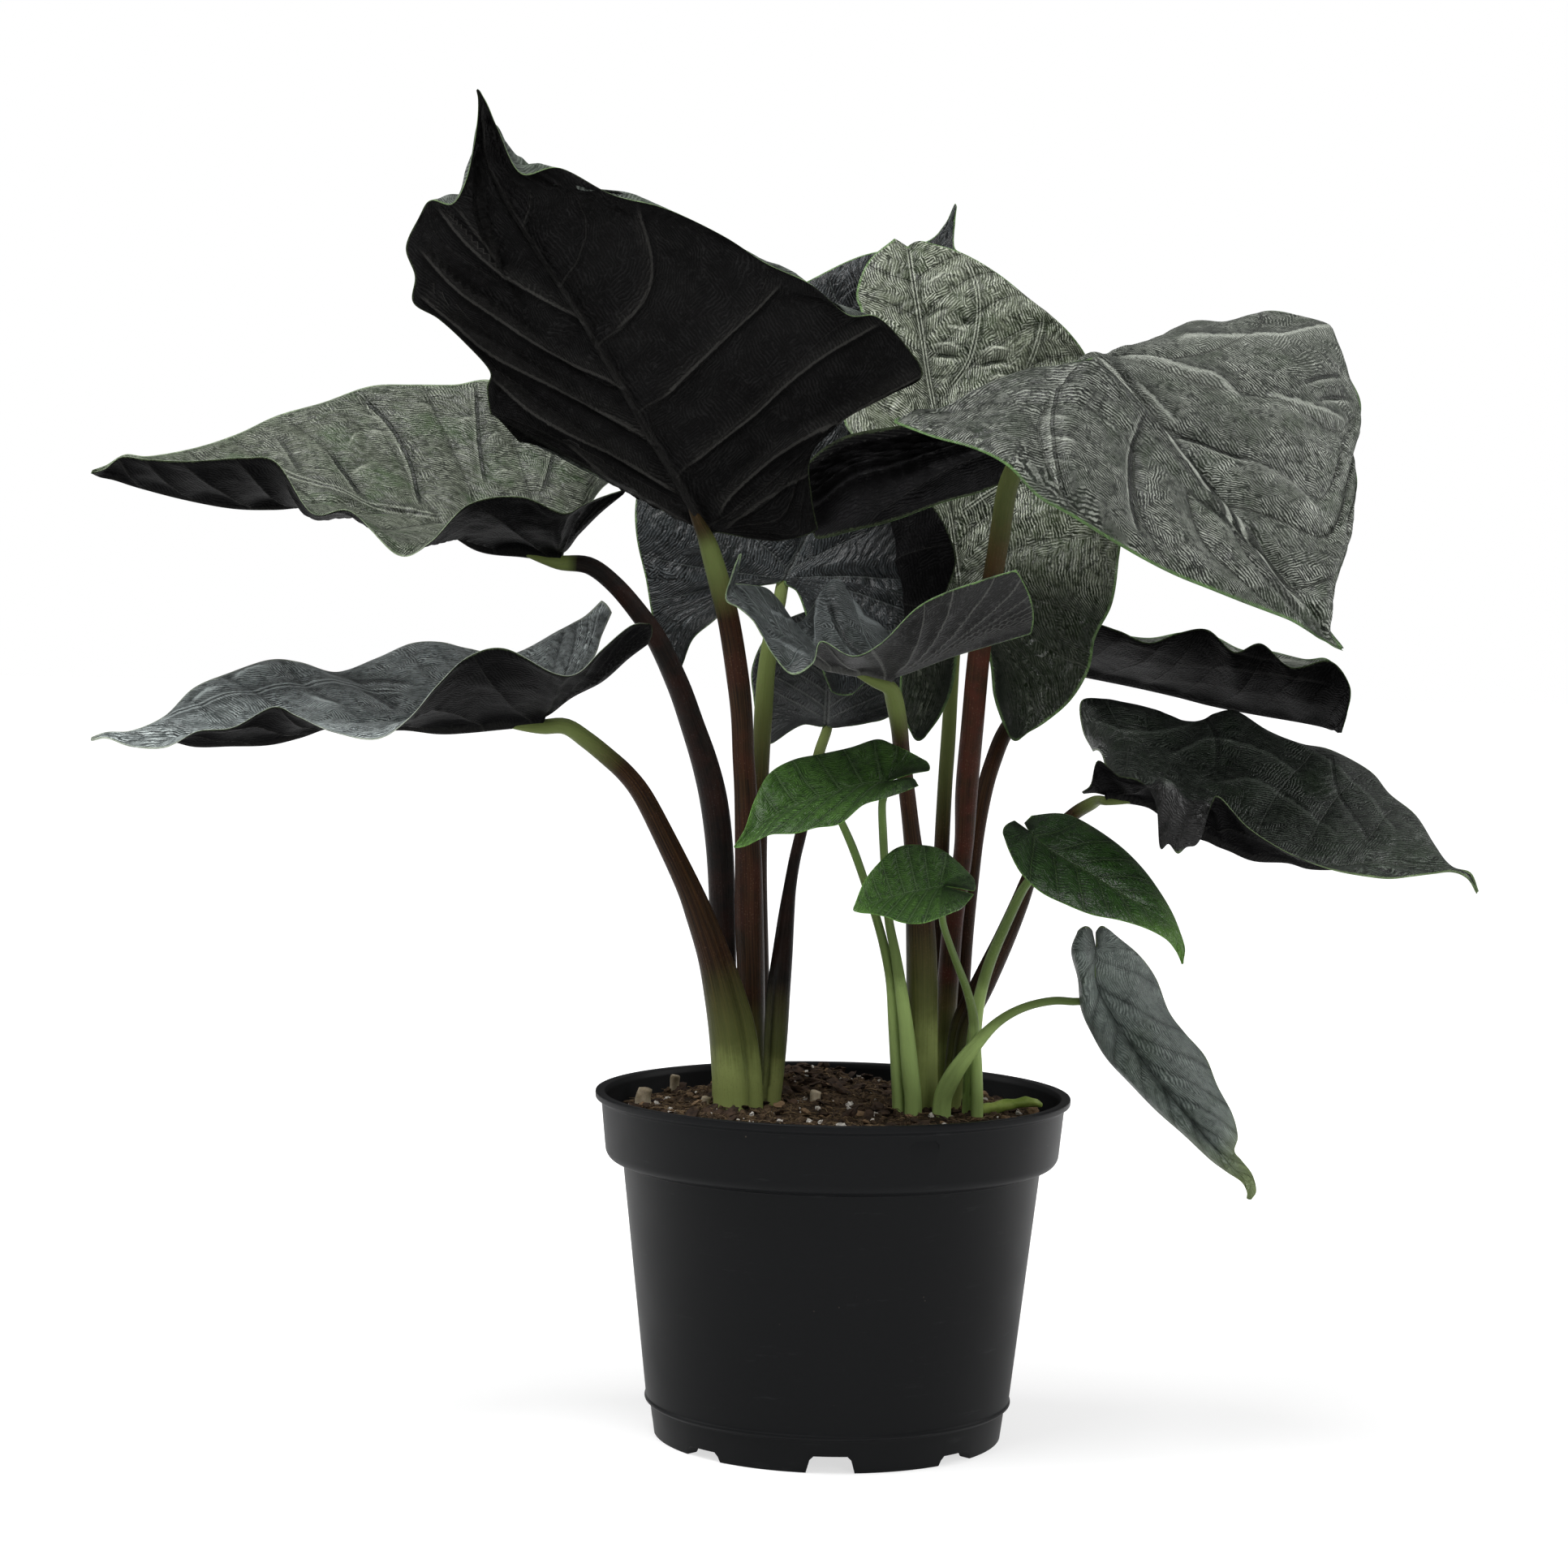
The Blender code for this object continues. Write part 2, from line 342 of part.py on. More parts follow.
# small green leaf on the right
LEAVES['blade_small_right'] = dict(flip=0,
 lobe0=[((1236,1028,-54),(1238,1018,-52),(1250,1011,-48))],
 rows=[
  ((1243,1048,-58),(1255,1036,-54),(1269,1025,-47),(1284,1012,-39),(1300,1002,-33)),
  ((1258,1076,-62),(1272,1060,-56),(1290,1045,-48),(1305,1026,-42),(1322,1006,-32)),
  ((1282,1099,-66),(1298,1078,-60),(1315,1060,-53),(1332,1038,-47),(1350,1021,-38)),
  ((1312,1114,-70),(1328,1095,-65),(1345,1078,-58),(1362,1058,-52),(1382,1044,-44)),
  ((1345,1127,-74),(1360,1110,-69),(1375,1097,-63),(1390,1080,-58),(1408,1070,-51)),
  ((1380,1134,-77),(1392,1123,-73),(1404,1115,-68),(1415,1103,-64),(1428,1097,-59)),
  ((1412,1144,-79),(1420,1138,-76),(1428,1132,-73),(1436,1127,-70),(1444,1124,-66)),
  ((1436,1157,-80),(1440,1153,-79),(1445,1150,-77),(1450,1148,-75),(1454,1148,-74)),
  ((1449,1172,-81),(1452,1170,-80),(1455,1168,-80),(1458,1168,-79),(1460,1168,-79)),
  ((1456,1188,-82),(1457,1188,-82),(1457,1188,-82),(1458,1187,-82),(1458,1186,-82)),
 ],
 lobe1=[((1271,1005,-37),(1267,1009,-39),(1262,1014,-43))])


STUB = [(1208,1371,-16,1.4),(1222,1365,-14,1.8),(1238,1362,-12,1.7),(1252,1360,-11,1.5),(1266,1358,-10,1.5),(1276,1359,-9,1.2),(1283,1362,-8,0.7)]

STEMS = {
 # name: path points (picture x, picture y, depth mm, radius mm), foot first
 'petiole_left_lower':   [(909,1358,-10,7.8),(907,1322,-10,7.8),(902,1273,-10,7.4),(892,1224,-10,6.4),(879,1176,-10,5.2),(862,1127,-10,4.5),(847,1090,-10,3.9),(820,1034,-9,3.5),(793,982,-8,3.2),(772,954,-7,3.0),(748,932,-6,2.9),(722,911,-6,2.8),(697,895,-5,2.6),(678,888,-5,2.0)],
 'petiole_left_upper':   [(892,1358,9,3.9),(892,1290,9,3.9),(892,1200,9,4.0),(890,1120,9,4.2),(887,1050,8,4.4),(880,990,7,4.5),(869,942,6,4.3),(853,893,6,3.9),(836,845,5,3.7),(811,791,5,3.4),(787,755,5,3.1),(757,720,4,2.9),(726,697,4,2.8),(704,689,4,2.3)],
 'petiole_tall_left':    [(927,1358,5,4.0),(926,1290,5,4.2),(925,1200,4,4.4),(923,1127,2,4.6),(922,1054,0,4.3),(919,981,-3,3.7),(916,932,-4,3.5),(914,883,-6,3.5),(909,835,-8,3.6),(898,765,-11,3.5),(885,713,-12,3.4),(874,675,-13,3.0),(870,664,-13,2.4)],
 'petiole_center_low':   [(950,1358,-3,3.1),(953,1322,-3,3.4),(956,1273,-3,3.8),(959,1224,-2,3.8),(964,1176,0,3.3),(969,1127,2,2.6),(973,1095,4,2.1),(979,1060,7,1.9),(987,1026,10,1.9),(995,990,14,1.8),(1003,955,18,1.8),(1010,925,21,1.8),(1016,903,24,1.5)],
 'petiole_back_center':  [(942,1358,14,2.9),(939,1270,14,2.9),(936,1170,14,2.9),(934,1070,14,2.9),(936,980,15,2.8),(938,930,16,2.8),(941,870,18,3.0),(945,820,20,2.8),(952,775,23,2.5),(960,742,26,2.2),(965,724,27,1.7)],
 'petiole_front_center': [(1136,1358,-9,4.9),(1136,1290,-9,5.0),(1136,1210,-10,5.0),(1134,1137,-13,4.6),(1130,1085,-16,3.6),(1124,1032,-20,2.8),(1118,980,-25,2.6),(1111,925,-33,2.6),(1108,895,-38,2.7),(1102,862,-43,2.8),(1098,845,-46,2.4)],
 'petiole_right_upper':  [(1161,1358,5,3.0),(1163,1290,5,3.2),(1168,1211,4,3.4),(1174,1137,2,3.3),(1182,1085,0,3.1),(1188,1037,-2,3.1),(1191,974,-5,3.6),(1198,895,-9,3.6),(1207,800,-14,3.5),(1217,745,-17,3.3),(1225,701,-20,3.1),(1232,659,-22,3.2),(1238,618,-26,3.2),(1245,590,-28,3.1),(1262,556,-31,3.0),(1290,511,-31,2.7),(1318,473,-30,2.3),(1333,457,-29,1.9)],
 'petiole_back_right':   [(1151,1358,13,2.6),(1153,1280,13,2.6),(1156,1200,13,2.6),(1158,1130,13,2.6),(1160,1053,13,2.5),(1164,974,15,2.4),(1168,916,16,2.4),(1172,853,19,2.2),(1176,806,21,1.9),(1180,765,23,1.7),(1182,745,24,1.4)],
 'petiole_right_rolled': [(1178,1358,13,2.9),(1181,1290,13,2.9),(1184,1220,13,2.9),(1189,1150,13,2.8),(1196,1080,12,2.8),(1203,1026,15,2.7),(1213,974,20,2.7),(1224,937,26,2.7),(1238,903,34,2.7),(1264,865,48,2.5),(1290,832,62,2.1)],
 'petiole_right_torn':   [(1171,1358,-4,3.4),(1178,1316,-4,3.6),(1187,1263,-4,3.8),(1212,1211,-5,3.8),(1236,1160,-9,3.4),(1256,1113,-12,2.9),(1272,1072,-14,2.3),(1294,1031,-14,2.1),(1322,1004,-17,2.1),(1345,990,-25,2.0),(1354,986,-30,1.5)],
 'petiole_small_left':   [(1125,1358,-18,2.7),(1121,1316,-18,2.7),(1116,1263,-18,2.3),(1109,1211,-20,1.9),(1103,1174,-23,1.6),(1095,1132,-28,1.4),(1091,1080,-37,1.3),(1088,1027,-47,1.3),(1087,990,-54,1.2),(1090,975,-56,1.0)],
 'petiole_spear':        [(1108,1358,-14,2.3),(1106,1316,-14,2.3),(1102,1263,-14,2.0),(1098,1211,-17,1.7),(1090,1169,-21,1.5),(1080,1132,-26,1.4),(1065,1085,-35,1.3),(1052,1048,-43,1.3),(1040,1020,-50,1.2),(1030,1000,-54,1.0)],
 'petiole_small_mid':    [(1204,1358,-21,1.9),(1203,1310,-21,1.8),(1200,1262,-22,1.6),(1196,1237,-24,1.4),(1189,1213,-28,1.3),(1180,1190,-33,1.2),(1170,1163,-41,1.1),(1162,1138,-49,1.1),(1160,1112,-56,1.0)],
 'petiole_small_right':  [(1196,1358,-13,2.6),(1198,1316,-13,2.6),(1202,1262,-13,2.1),(1209,1221,-15,1.9),(1222,1179,-21,1.8),(1240,1138,-29,1.6),(1258,1100,-37,1.5),(1270,1082,-42,1.3),(1284,1060,-47,1.0)],
 'petiole_right_hanging':[(1161,1358,-20,2.9),(1169,1335,-22,2.9),(1183,1312,-26,2.6),(1204,1285,-28,2.1),(1225,1263,-28,1.6),(1247,1248,-27,1.4),(1272,1238,-25,1.3),(1300,1233,-23,1.3),(1328,1234,-22,1.2),(1342,1228,-22,1.0)],
}

# ---------------------------------------------------------------- building

def material(name, colour, rough, metallic=0.0):
    m = bpy.data.materials.new(name)
    m.use_nodes = True
    b = m.node_tree.nodes['Principled BSDF']
    b.inputs['Base Color'].default_value = (*colour, 1.0)
    b.inputs['Roughness'].default_value = rough
    b.inputs['Metallic'].default_value = metallic
    m.diffuse_color = (*colour, 1.0)
    return m


def add_object(name, verts, faces, mat, smooth=True):
    me = bpy.data.meshes.new(name)
    me.from_pydata([tuple(c * MM for c in v) for v in verts], [], faces)
    me.validate()
    bm = bmesh.new()
    bm.from_mesh(me)
    bmesh.ops.recalc_face_normals(bm, faces=bm.faces)
    if bm.calc_volume(signed=True) < 0:
        bmesh.ops.reverse_faces(bm, faces=bm.faces)
    bm.to_mesh(me)
    bm.free()
    me.materials.append(mat)
    for p in me.polygons:
        p.use_smooth = smooth
    ob = bpy.data.objects.new(name, me)
    bpy.context.collection.objects.link(ob)
    return ob


def revolve(profile, sides, centre=(0.0, 0.0)):
    """Closed ring of quads from a closed (radius, height) outline; radius 0 makes a pole."""
    verts, faces, rings = [], [], []
    for r, z in profile:
        if r < 1e-6:
            rings.append([len(verts)])
            verts.append((centre[0], centre[1], z))
        else:
            ring = []
            for k in range(sides):
                a = 2 * math.pi * (k + 0.5) / sides
                ring.append(len(verts))
                verts.append((centre[0] + r * math.cos(a), centre[1] + r * math.sin(a), z))
            rings.append(ring)
    for i in range(len(rings) - 1):
        a, b = rings[i], rings[i + 1]
        for k in range(sides):
            k2 = (k + 1) % sides
            if len(a) == 1 and len(b) > 1:
                faces.append((a[0], b[k], b[k2]))
            elif len(b) == 1 and len(a) > 1:
                faces.append((a[k], b[0], a[k2]))
            elif len(a) > 1:
                faces.append((a[k], b[k], b[k2], a[k2]))
    return verts, faces


POT_X, POT_Y = -ORIGIN_X, -ORIGIN_Y      # pot axis in the finished frame
RIM_Z = POT_HEIGHT
SOIL_Z = POT_HEIGHT - SOIL_DEPTH

black = material('pot_black_plastic', (0.012, 0.013, 0.013), 0.42)
peat = material('peat_soil', (0.06, 0.035, 0.02), 0.95)
blade_dark = material('blade_velvet', (0.035, 0.05, 0.04), 0.6)
blade_black = material('blade_underside', (0.012, 0.011, 0.013), 0.65)
blade_green = material('blade_young_green', (0.06, 0.13, 0.03), 0.5)
stalk_dark = material('stalk_dark_red', (0.06, 0.03, 0.025), 0.45)
stalk_green = material('stalk_green', (0.22, 0.33, 0.10), 0.45)


def pot():
    band_z = RIM_Z - LIP_HEIGHT - BAND_HEIGHT
    outline = [
        (0.0, FOOT_HEIGHT), (SKIRT_LOW_RADIUS - 6.0, FOOT_HEIGHT), (SKIRT_LOW_RADIUS - 5.0, 0.0),
        (SKIRT_LOW_RADIUS - 0.8, 0.0), (SKIRT_LOW_RADIUS, 0.9),
        (SKIRT_TOP_RADIUS, STEP_HEIGHT), (BODY_LOW_RADIUS, STEP_HEIGHT + 0.8),
        (BODY_TOP_RADIUS, band_z - 2.2), (BAND_BOTTOM_RADIUS - 1.4, band_z - 0.6),
        (BAND_BOTTOM_RADIUS, band_z + 1.2), (BAND_TOP_RADIUS, RIM_Z - LIP_HEIGHT),
        (LIP_RADIUS, RIM_Z - LIP_HEIGHT + 0.4), (LIP_RADIUS, RIM_Z - 0.4), (LIP_RADIUS - 0.5, RIM_Z),
        (BAND_TOP_RADIUS - WALL, RIM_Z), (BAND_BOTTOM_RADIUS - WALL, band_z + 2.0),
        (BODY_TOP_RADIUS - WALL, band_z - 1.0), (BODY_LOW_RADIUS - WALL, STEP_HEIGHT + 1.0),
        (SKIRT_TOP_RADIUS - WALL, FOOT_HEIGHT + FLOOR_THICK), (0.0, FOOT_HEIGHT + FLOOR_THICK)]
    v, f = revolve(outline, POT_SIDES, (POT_X, POT_Y))
    ob = add_object('nursery_pot', v, f, black)
    # arched drain notches between the feet
    for k in range(4):
        cutter(ob, math.radians(-90 + 0.5 + 90 * k), 12.4, FOOT_HEIGHT - 0.25)
    for k in range(4):
        cutter(ob, math.radians(-45 + 0.5 + 90 * k), 13.0, 3.0)
    return ob


CUTTERS = []


def cutter(target, ang, width, height):
    r0, r1 = SKIRT_LOW_RADIUS - 9.0, SKIRT_LOW_RADIUS + 4.0
    c, s = math.cos(ang), math.sin(ang)
    h = width / 2
    verts = []
    for z, w in ((-2.0, h + 1.6), (height * 0.75, h), (height, h - 0.8)):
        for r in (r0, r1):
            for t in (-w, w):
                verts.append((POT_X + c * r - s * t, POT_Y + s * r + c * t, z))
    f = []
    for lvl in (0, 4):
        a = lvl
        f += [(a, a + 1, a + 5, a + 4), (a + 1, a + 3, a + 7, a + 5), (a + 3, a + 2, a + 6, a + 7), (a + 2, a, a + 4, a + 6)]
    f += [(0, 2, 3, 1), (8, 9, 11, 10)]
    cut = add_object('notch_cutter_%02d' % len(CUTTERS), verts, f, black, smooth=False)
    cut.hide_render = True
    cut.display_type = 'WIRE'
    CUTTERS.append(cut)
    m = target.modifiers.new('notch', 'BOOLEAN')
    m.operation = 'DIFFERENCE'
    m.solver = 'EXACT'
    m.object = cut


def blade_surface(leaf):
    """Shared vertices and quads of one blade: two half grids joined on the midrib."""
    verts, index, faces = [], {}, []

    def vid(p):
        key = tuple(round(c, 3) for c in p)
        if key not in index:
            index[key] = len(verts)
            verts.append(np.array(p))
        return index[key]

    for side in (0, 1):
        rows = []
        for r in leaf.get('lobe%d' % side, []):
            rows.append([r[0], r[1], r[2]])
        for r in leaf['rows'][:-1]:
            rows.append([r[0], r[1], r[2]] if side == 0 else [r[4], r[3], r[2]])
        tip = leaf['rows'][-1][2]
        ids = [[vid(at(*p)) for p in row] for row in rows]
        t = vid(at(*tip))
        for i in range(len(ids) - 1):
            for j in range(2):
                q = [ids[i][j], ids[i][j + 1], ids[i + 1][j + 1], ids[i + 1][j]]
                faces.append(q if side == 0 else q[::-1])
        for j in range(2):
            q = [ids[-1][j], ids[-1][j + 1], t]
            faces.append(q if side == 0 else q[::-1])
    return np.array(verts), faces


def thicken(verts, faces, thick):
    """Closed thin body around a surface with a border."""
    tris = []
    for f in faces:
        if len(f) == 3:
            tris.append(tuple(f))
        else:
            a, b, c, d = f
            if np.linalg.norm(verts[a] - verts[c]) <= np.linalg.norm(verts[b] - verts[d]):
                tris += [(a, b, c), (a, c, d)]
            else:
                tris += [(a, b, d), (b, c, d)]
    nrm = np.zeros_like(verts)
    for a, b, c in tris:
        n = np.cross(verts[b] - verts[a], verts[c] - verts[a])
        ln = np.linalg.norm(n)
        if ln > 1e-9:
            for k, (p, q, r) in ((a, (a, b, c)), (b, (b, c, a)), (c, (c, a, b))):
                u = verts[q] - verts[p]
                w = verts[r] - verts[p]
                cosv = np.dot(u, w) / (np.linalg.norm(u) * np.linalg.norm(w) + 1e-12)
                nrm[k] += n / ln * math.acos(max(-1, min(1, cosv)))
    nrm /= np.linalg.norm(nrm, axis=1)[:, None] + 1e-12
    # the body gets thinner where the surface narrows to a tip
    short = np.full(len(verts), 1e9)
    for t in tris:
        for a, b in ((t[0], t[1]), (t[1], t[2]), (t[2], t[0])):
            d = np.linalg.norm(verts[a] - verts[b])
            short[a] = min(short[a], d)
            short[b] = min(short[b], d)
    half = (np.clip(short * 0.8, 0.4, thick) / 2)[:, None]
    n0 = len(verts)
    allv = np.vstack([verts + nrm * half, verts - nrm * half])
    out = [t for t in tris] + [(c + n0, b + n0, a + n0) for a, b, c in tris]
    edges = {}
    for a, b, c in tris:
        for e in ((a, b), (b, c), (c, a)):
            edges[e] = 1
    for (a, b) in edges:
        if (b, a) not in edges:
            out += [(b, a, a + n0), (b, a + n0, b + n0)]
    return allv, out


def tube(points, sides, rings):
    """Tapered stalk with flat ends along points of (x, y, z, radius)."""
    p = smooth_path(points, rings)
    tang = np.gradient(p[:, :3], axis=0)
    tang /= np.linalg.norm(tang, axis=1)[:, None]
    side = np.cross(tang[0], (0.0, 1.0, 0.0))
    side /= np.linalg.norm(side)
    verts, faces = [], []
    for i in range(rings):
        side = side - np.dot(side, tang[i]) * tang[i]
        side /= np.linalg.norm(side)
        up = np.cross(tang[i], side)
        for k in range(sides):
            a = 2 * math.pi * k / sides
            verts.append(p[i, :3] + p[i, 3] * (math.cos(a) * side + math.sin(a) * up))
    for i in range(rings - 1):
        for k in range(sides):
            k2 = (k + 1) % sides
            a, b = i * sides + k, i * sides + k2
            faces.append((a, b, b + sides, a + sides))
    faces.append(tuple(range(sides))[::-1])
    faces.append(tuple(range((rings - 1) * sides, rings * sides)))
    return np.array(verts), faces


FOOT_SINK = 7.0          # the stalks stand this deep in the soil
POCKET_GAP = 0.4

blades = {}
for name, leaf in LEAVES.items():
    v, f = thicken(*blade_surface(leaf), BLADE_THICK)
    mat = blade_green if 'small' in name else (blade_black if leaf['flip'] else blade_dark)
    blades[name] = add_object(name, v, f, mat)


def tree_of(ob):
    me = ob.data
    return BVHTree.FromPolygons([v.co for v in me.vertices], [tuple(p.vertices) for p in me.polygons])


blade_trees = {n: tree_of(o) for n, o in blades.items()}

SIDES = {'petiole_left_lower': 12, 'petiole_front_center': 10}
feet = []
for name, path in STEMS.items():
    pts = [(*at(px, py, d), r) for px, py, d, r in path]
    foot = pts[0]
    feet.append((foot[0], foot[1], foot[3]))
    below = (foot[0], foot[1], SOIL_Z - FOOT_SINK, foot[3])
    pts = [below] + pts
    sides = SIDES.get(name, 8)
    rings = len(pts) + 1
    mat = stalk_green if ('small' in name or 'spear' in name or 'hanging' in name) else stalk_dark
    # the stalk stops just short of the blade that it carries
    cut = 0.0
    while True:
        q = [tuple(r) for r in smooth_path(pts, 80)]
        total = np.cumsum([0] + [np.linalg.norm(np.array(q[i + 1][:3]) - np.array(q[i][:3])) for i in range(79)])
        keep = [q[i] for i in range(80) if total[i] <= total[-1] - cut]
        path_now = [keep[int(round(k * (len(keep) - 1) / (rings - 1)))] for k in range(rings)]
        v, f = tube(path_now, sides, rings)
        grown, _ = tube([(x, y, z, r + CLEARANCE) for x, y, z, r in path_now], sides, rings)
        end = np.array(path_now[-1][:3])
        tip_dir = end - np.array(path_now[-2][:3])
        tip_dir /= np.linalg.norm(tip_dir)
        grown[-sides:] += tip_dir * CLEARANCE
        t = BVHTree.FromPolygons([Vector(p * MM) for p in grown], [tuple(x) for x in f])
        if not any(t.overlap(bt) for bt in blade_trees.values()) or cut > 14.0:
            break
        cut += 0.4
    add_object(name, v, f, mat)

pot()


def soil():
    """Peat body inside the pot with a pocket for each stalk's foot."""
    band_z = RIM_Z - LIP_HEIGHT - BAND_HEIGHT
    g = SOIL_GAP + WALL
    outline = [
        (0.0, FOOT_HEIGHT + FLOOR_THICK + SOIL_GAP),
        (SKIRT_TOP_RADIUS - g - 0.4, FOOT_HEIGHT + FLOOR_THICK + SOIL_GAP),
        (BODY_LOW_RADIUS - g - 0.3, STEP_HEIGHT + 1.4),
        (BODY_TOP_RADIUS - g, band_z - 1.0),
        (BAND_BOTTOM_RADIUS - g - 0.4, band_z + 2.6),
        (BAND_TOP_RADIUS - g - 0.6, SOIL_Z - 1.6),
        (BAND_TOP_RADIUS - g - 3.0, SOIL_Z - 0.4),
        (40.0, SOIL_Z), (0.0, SOIL_Z)]
    v, f = revolve(outline, 32, (POT_X, POT_Y))
    ob = add_object('peat_soil', v, f, peat)
    for i, (x, y, r) in enumerate(feet):
        rr = r / math.cos(math.pi / 12) + POCKET_GAP
        cv, cf = revolve([(0.0, SOIL_Z - FOOT_SINK - POCKET_GAP), (rr, SOIL_Z - FOOT_SINK - POCKET_GAP),
                          (rr, SOIL_Z + 3.0), (0.0, SOIL_Z + 3.0)], 12, (x, y))
        cut = add_object('pocket_cutter_%02d' % i, cv, cf, peat, smooth=False)
        cut.hide_render = True
        cut.display_type = 'WIRE'
        m = ob.modifiers.new('pocket', 'BOOLEAN')
        m.operation = 'DIFFERENCE'
        m.solver = 'EXACT'
        m.object = cut
    return ob


soil()

# a cut piece of old green stalk lying on the soil at the right
stub = [(*at(px, py, d), r) for px, py, d, r in STUB]
stub = [(x, y, max(z, SOIL_Z + r + 0.35), r) for x, y, z, r in stub]
v, f = tube(stub, 8, len(stub))
add_object('cut_stalk_piece', v, f, stalk_green)
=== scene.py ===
import math
import random
import bpy
import numpy as np
from mathutils import Vector, Matrix, noise


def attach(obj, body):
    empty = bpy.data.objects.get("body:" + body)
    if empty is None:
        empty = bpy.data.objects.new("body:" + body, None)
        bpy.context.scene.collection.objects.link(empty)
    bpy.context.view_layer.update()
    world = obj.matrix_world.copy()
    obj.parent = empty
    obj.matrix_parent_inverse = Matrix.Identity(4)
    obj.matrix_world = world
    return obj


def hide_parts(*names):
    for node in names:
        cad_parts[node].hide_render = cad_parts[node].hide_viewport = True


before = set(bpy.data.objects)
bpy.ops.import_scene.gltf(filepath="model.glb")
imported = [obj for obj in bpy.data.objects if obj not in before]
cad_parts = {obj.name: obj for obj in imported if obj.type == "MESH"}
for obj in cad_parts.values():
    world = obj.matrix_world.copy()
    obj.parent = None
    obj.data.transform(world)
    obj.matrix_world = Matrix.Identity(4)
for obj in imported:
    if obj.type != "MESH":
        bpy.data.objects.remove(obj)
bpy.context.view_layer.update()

MM = 0.001

# ---- view that the positions were read from, in mm, before the origin is moved ----
VIEW_X, VIEW_Y, VIEW_Z = -17.45, -1090.0, 258.5
FOCAL = 4216.0
PITCH = math.radians(2.70)
ROLL = math.radians(1.05)
HALF = 966.0
POT_BASE_Z = -1.0
ORIGIN_X = -19.8
ORIGIN_Y = 4.4
POT_X, POT_Y = -ORIGIN_X, -ORIGIN_Y      # pot axis in the finished frame
RIM_Z = 110.0
SOIL_Z = 104.8


def at(px, py, depth):
    """Point in mm seen at picture position px, py on the upright plane Y = depth."""
    x = px - HALF
    y = py - HALF
    x0 = x * math.cos(ROLL) + y * math.sin(ROLL)
    y0 = -x * math.sin(ROLL) + y * math.cos(ROLL)
    dx = x0 / FOCAL
    dy = math.cos(PITCH) - (y0 / FOCAL) * math.sin(PITCH)
    dz = -math.sin(PITCH) - (y0 / FOCAL) * math.cos(PITCH)
    t = (depth - VIEW_Y) / dy
    return (VIEW_X + dx * t - ORIGIN_X, depth - ORIGIN_Y, VIEW_Z + dz * t - POT_BASE_Z)


def picture(P):
    """Picture position of points (n, 3) in mm."""
    d = np.asarray(P, float) - np.array([VIEW_X - ORIGIN_X, VIEW_Y - ORIGIN_Y, VIEW_Z - POT_BASE_Z])
    w = d @ np.array([0, math.cos(PITCH), -math.sin(PITCH)])
    x0 = FOCAL * d[:, 0] / w
    y0 = -FOCAL * (d @ np.array([0, math.sin(PITCH), math.cos(PITCH)])) / w
    return np.stack([x0 * math.cos(ROLL) - y0 * math.sin(ROLL) + HALF,
                     x0 * math.sin(ROLL) + y0 * math.cos(ROLL) + HALF], -1)


# ---------------------------------------------------------------- node helpers
def new_mat(name, **sockets):
    m = bpy.data.materials.new(name)
    m.use_nodes = True
    nt = m.node_tree
    b = nt.nodes['Principled BSDF']
    for k, v in sockets.items():
        key = k.replace('_', ' ')
        if key == 'Specular': key = 'Specular IOR Level'
        b.inputs[key].default_value = v
    return m, nt, b


def feed(nt, sock, v):
    if isinstance(v, bpy.types.NodeSocket):
        nt.links.new(v, sock)
    elif v is not None:
        sock.default_value = v


def mth(nt, op, a, b=None, c=None, clamp=False):
    n = nt.nodes.new('ShaderNodeMath')
    n.operation = op
    n.use_clamp = clamp
    feed(nt, n.inputs[0], a)
    feed(nt, n.inputs[1], b)
    feed(nt, n.inputs[2], c)
    return n.outputs[0]


def rng(nt, v, a, b, c=0.0, d=1.0, smooth=True):
    n = nt.nodes.new('ShaderNodeMapRange')
    n.interpolation_type = 'SMOOTHSTEP' if smooth else 'LINEAR'
    feed(nt, n.inputs['Value'], v)
    for key, val in (('From Min', a), ('From Max', b), ('To Min', c), ('To Max', d)):
        feed(nt, n.inputs[key], val)
    return n.outputs['Result']


def mixc(nt, fac, a, b, kind='MIX'):
    n = nt.nodes.new('ShaderNodeMix')
    n.data_type = 'RGBA'
    n.blend_type = kind
    feed(nt, n.inputs['Factor'], fac)
    for sock, v in ((n.inputs['A'], a), (n.inputs['B'], b)):
        pass
    sa = [s for s in n.inputs if s.name == 'A' and s.type == 'RGBA'][0]
    sb = [s for s in n.inputs if s.name == 'B' and s.type == 'RGBA'][0]
    feed(nt, sa, a if isinstance(a, bpy.types.NodeSocket) else (*a, 1.0))
    feed(nt, sb, b if isinstance(b, bpy.types.NodeSocket) else (*b, 1.0))
    return [s for s in n.outputs if s.type == 'RGBA'][0]


def attr(nt, name):
    n = nt.nodes.new('ShaderNodeAttribute')
    n.attribute_name = name
    return n.outputs['Fac']


def xyz(nt, x, y, z=0.0):
    n = nt.nodes.new('ShaderNodeCombineXYZ')
    feed(nt, n.inputs[0], x)
    feed(nt, n.inputs[1], y)
    feed(nt, n.inputs[2], z)
    return n.outputs[0]


def place(nt, scale=(1, 1, 1)):
    """The point's own place on the object, in metres."""
    g = nt.nodes.new('ShaderNodeTexCoord')
    m = nt.nodes.new('ShaderNodeMapping')
    m.inputs['Scale'].default_value = scale
    nt.links.new(g.outputs['Object'], m.inputs['Vector'])
    return m.outputs['Vector']


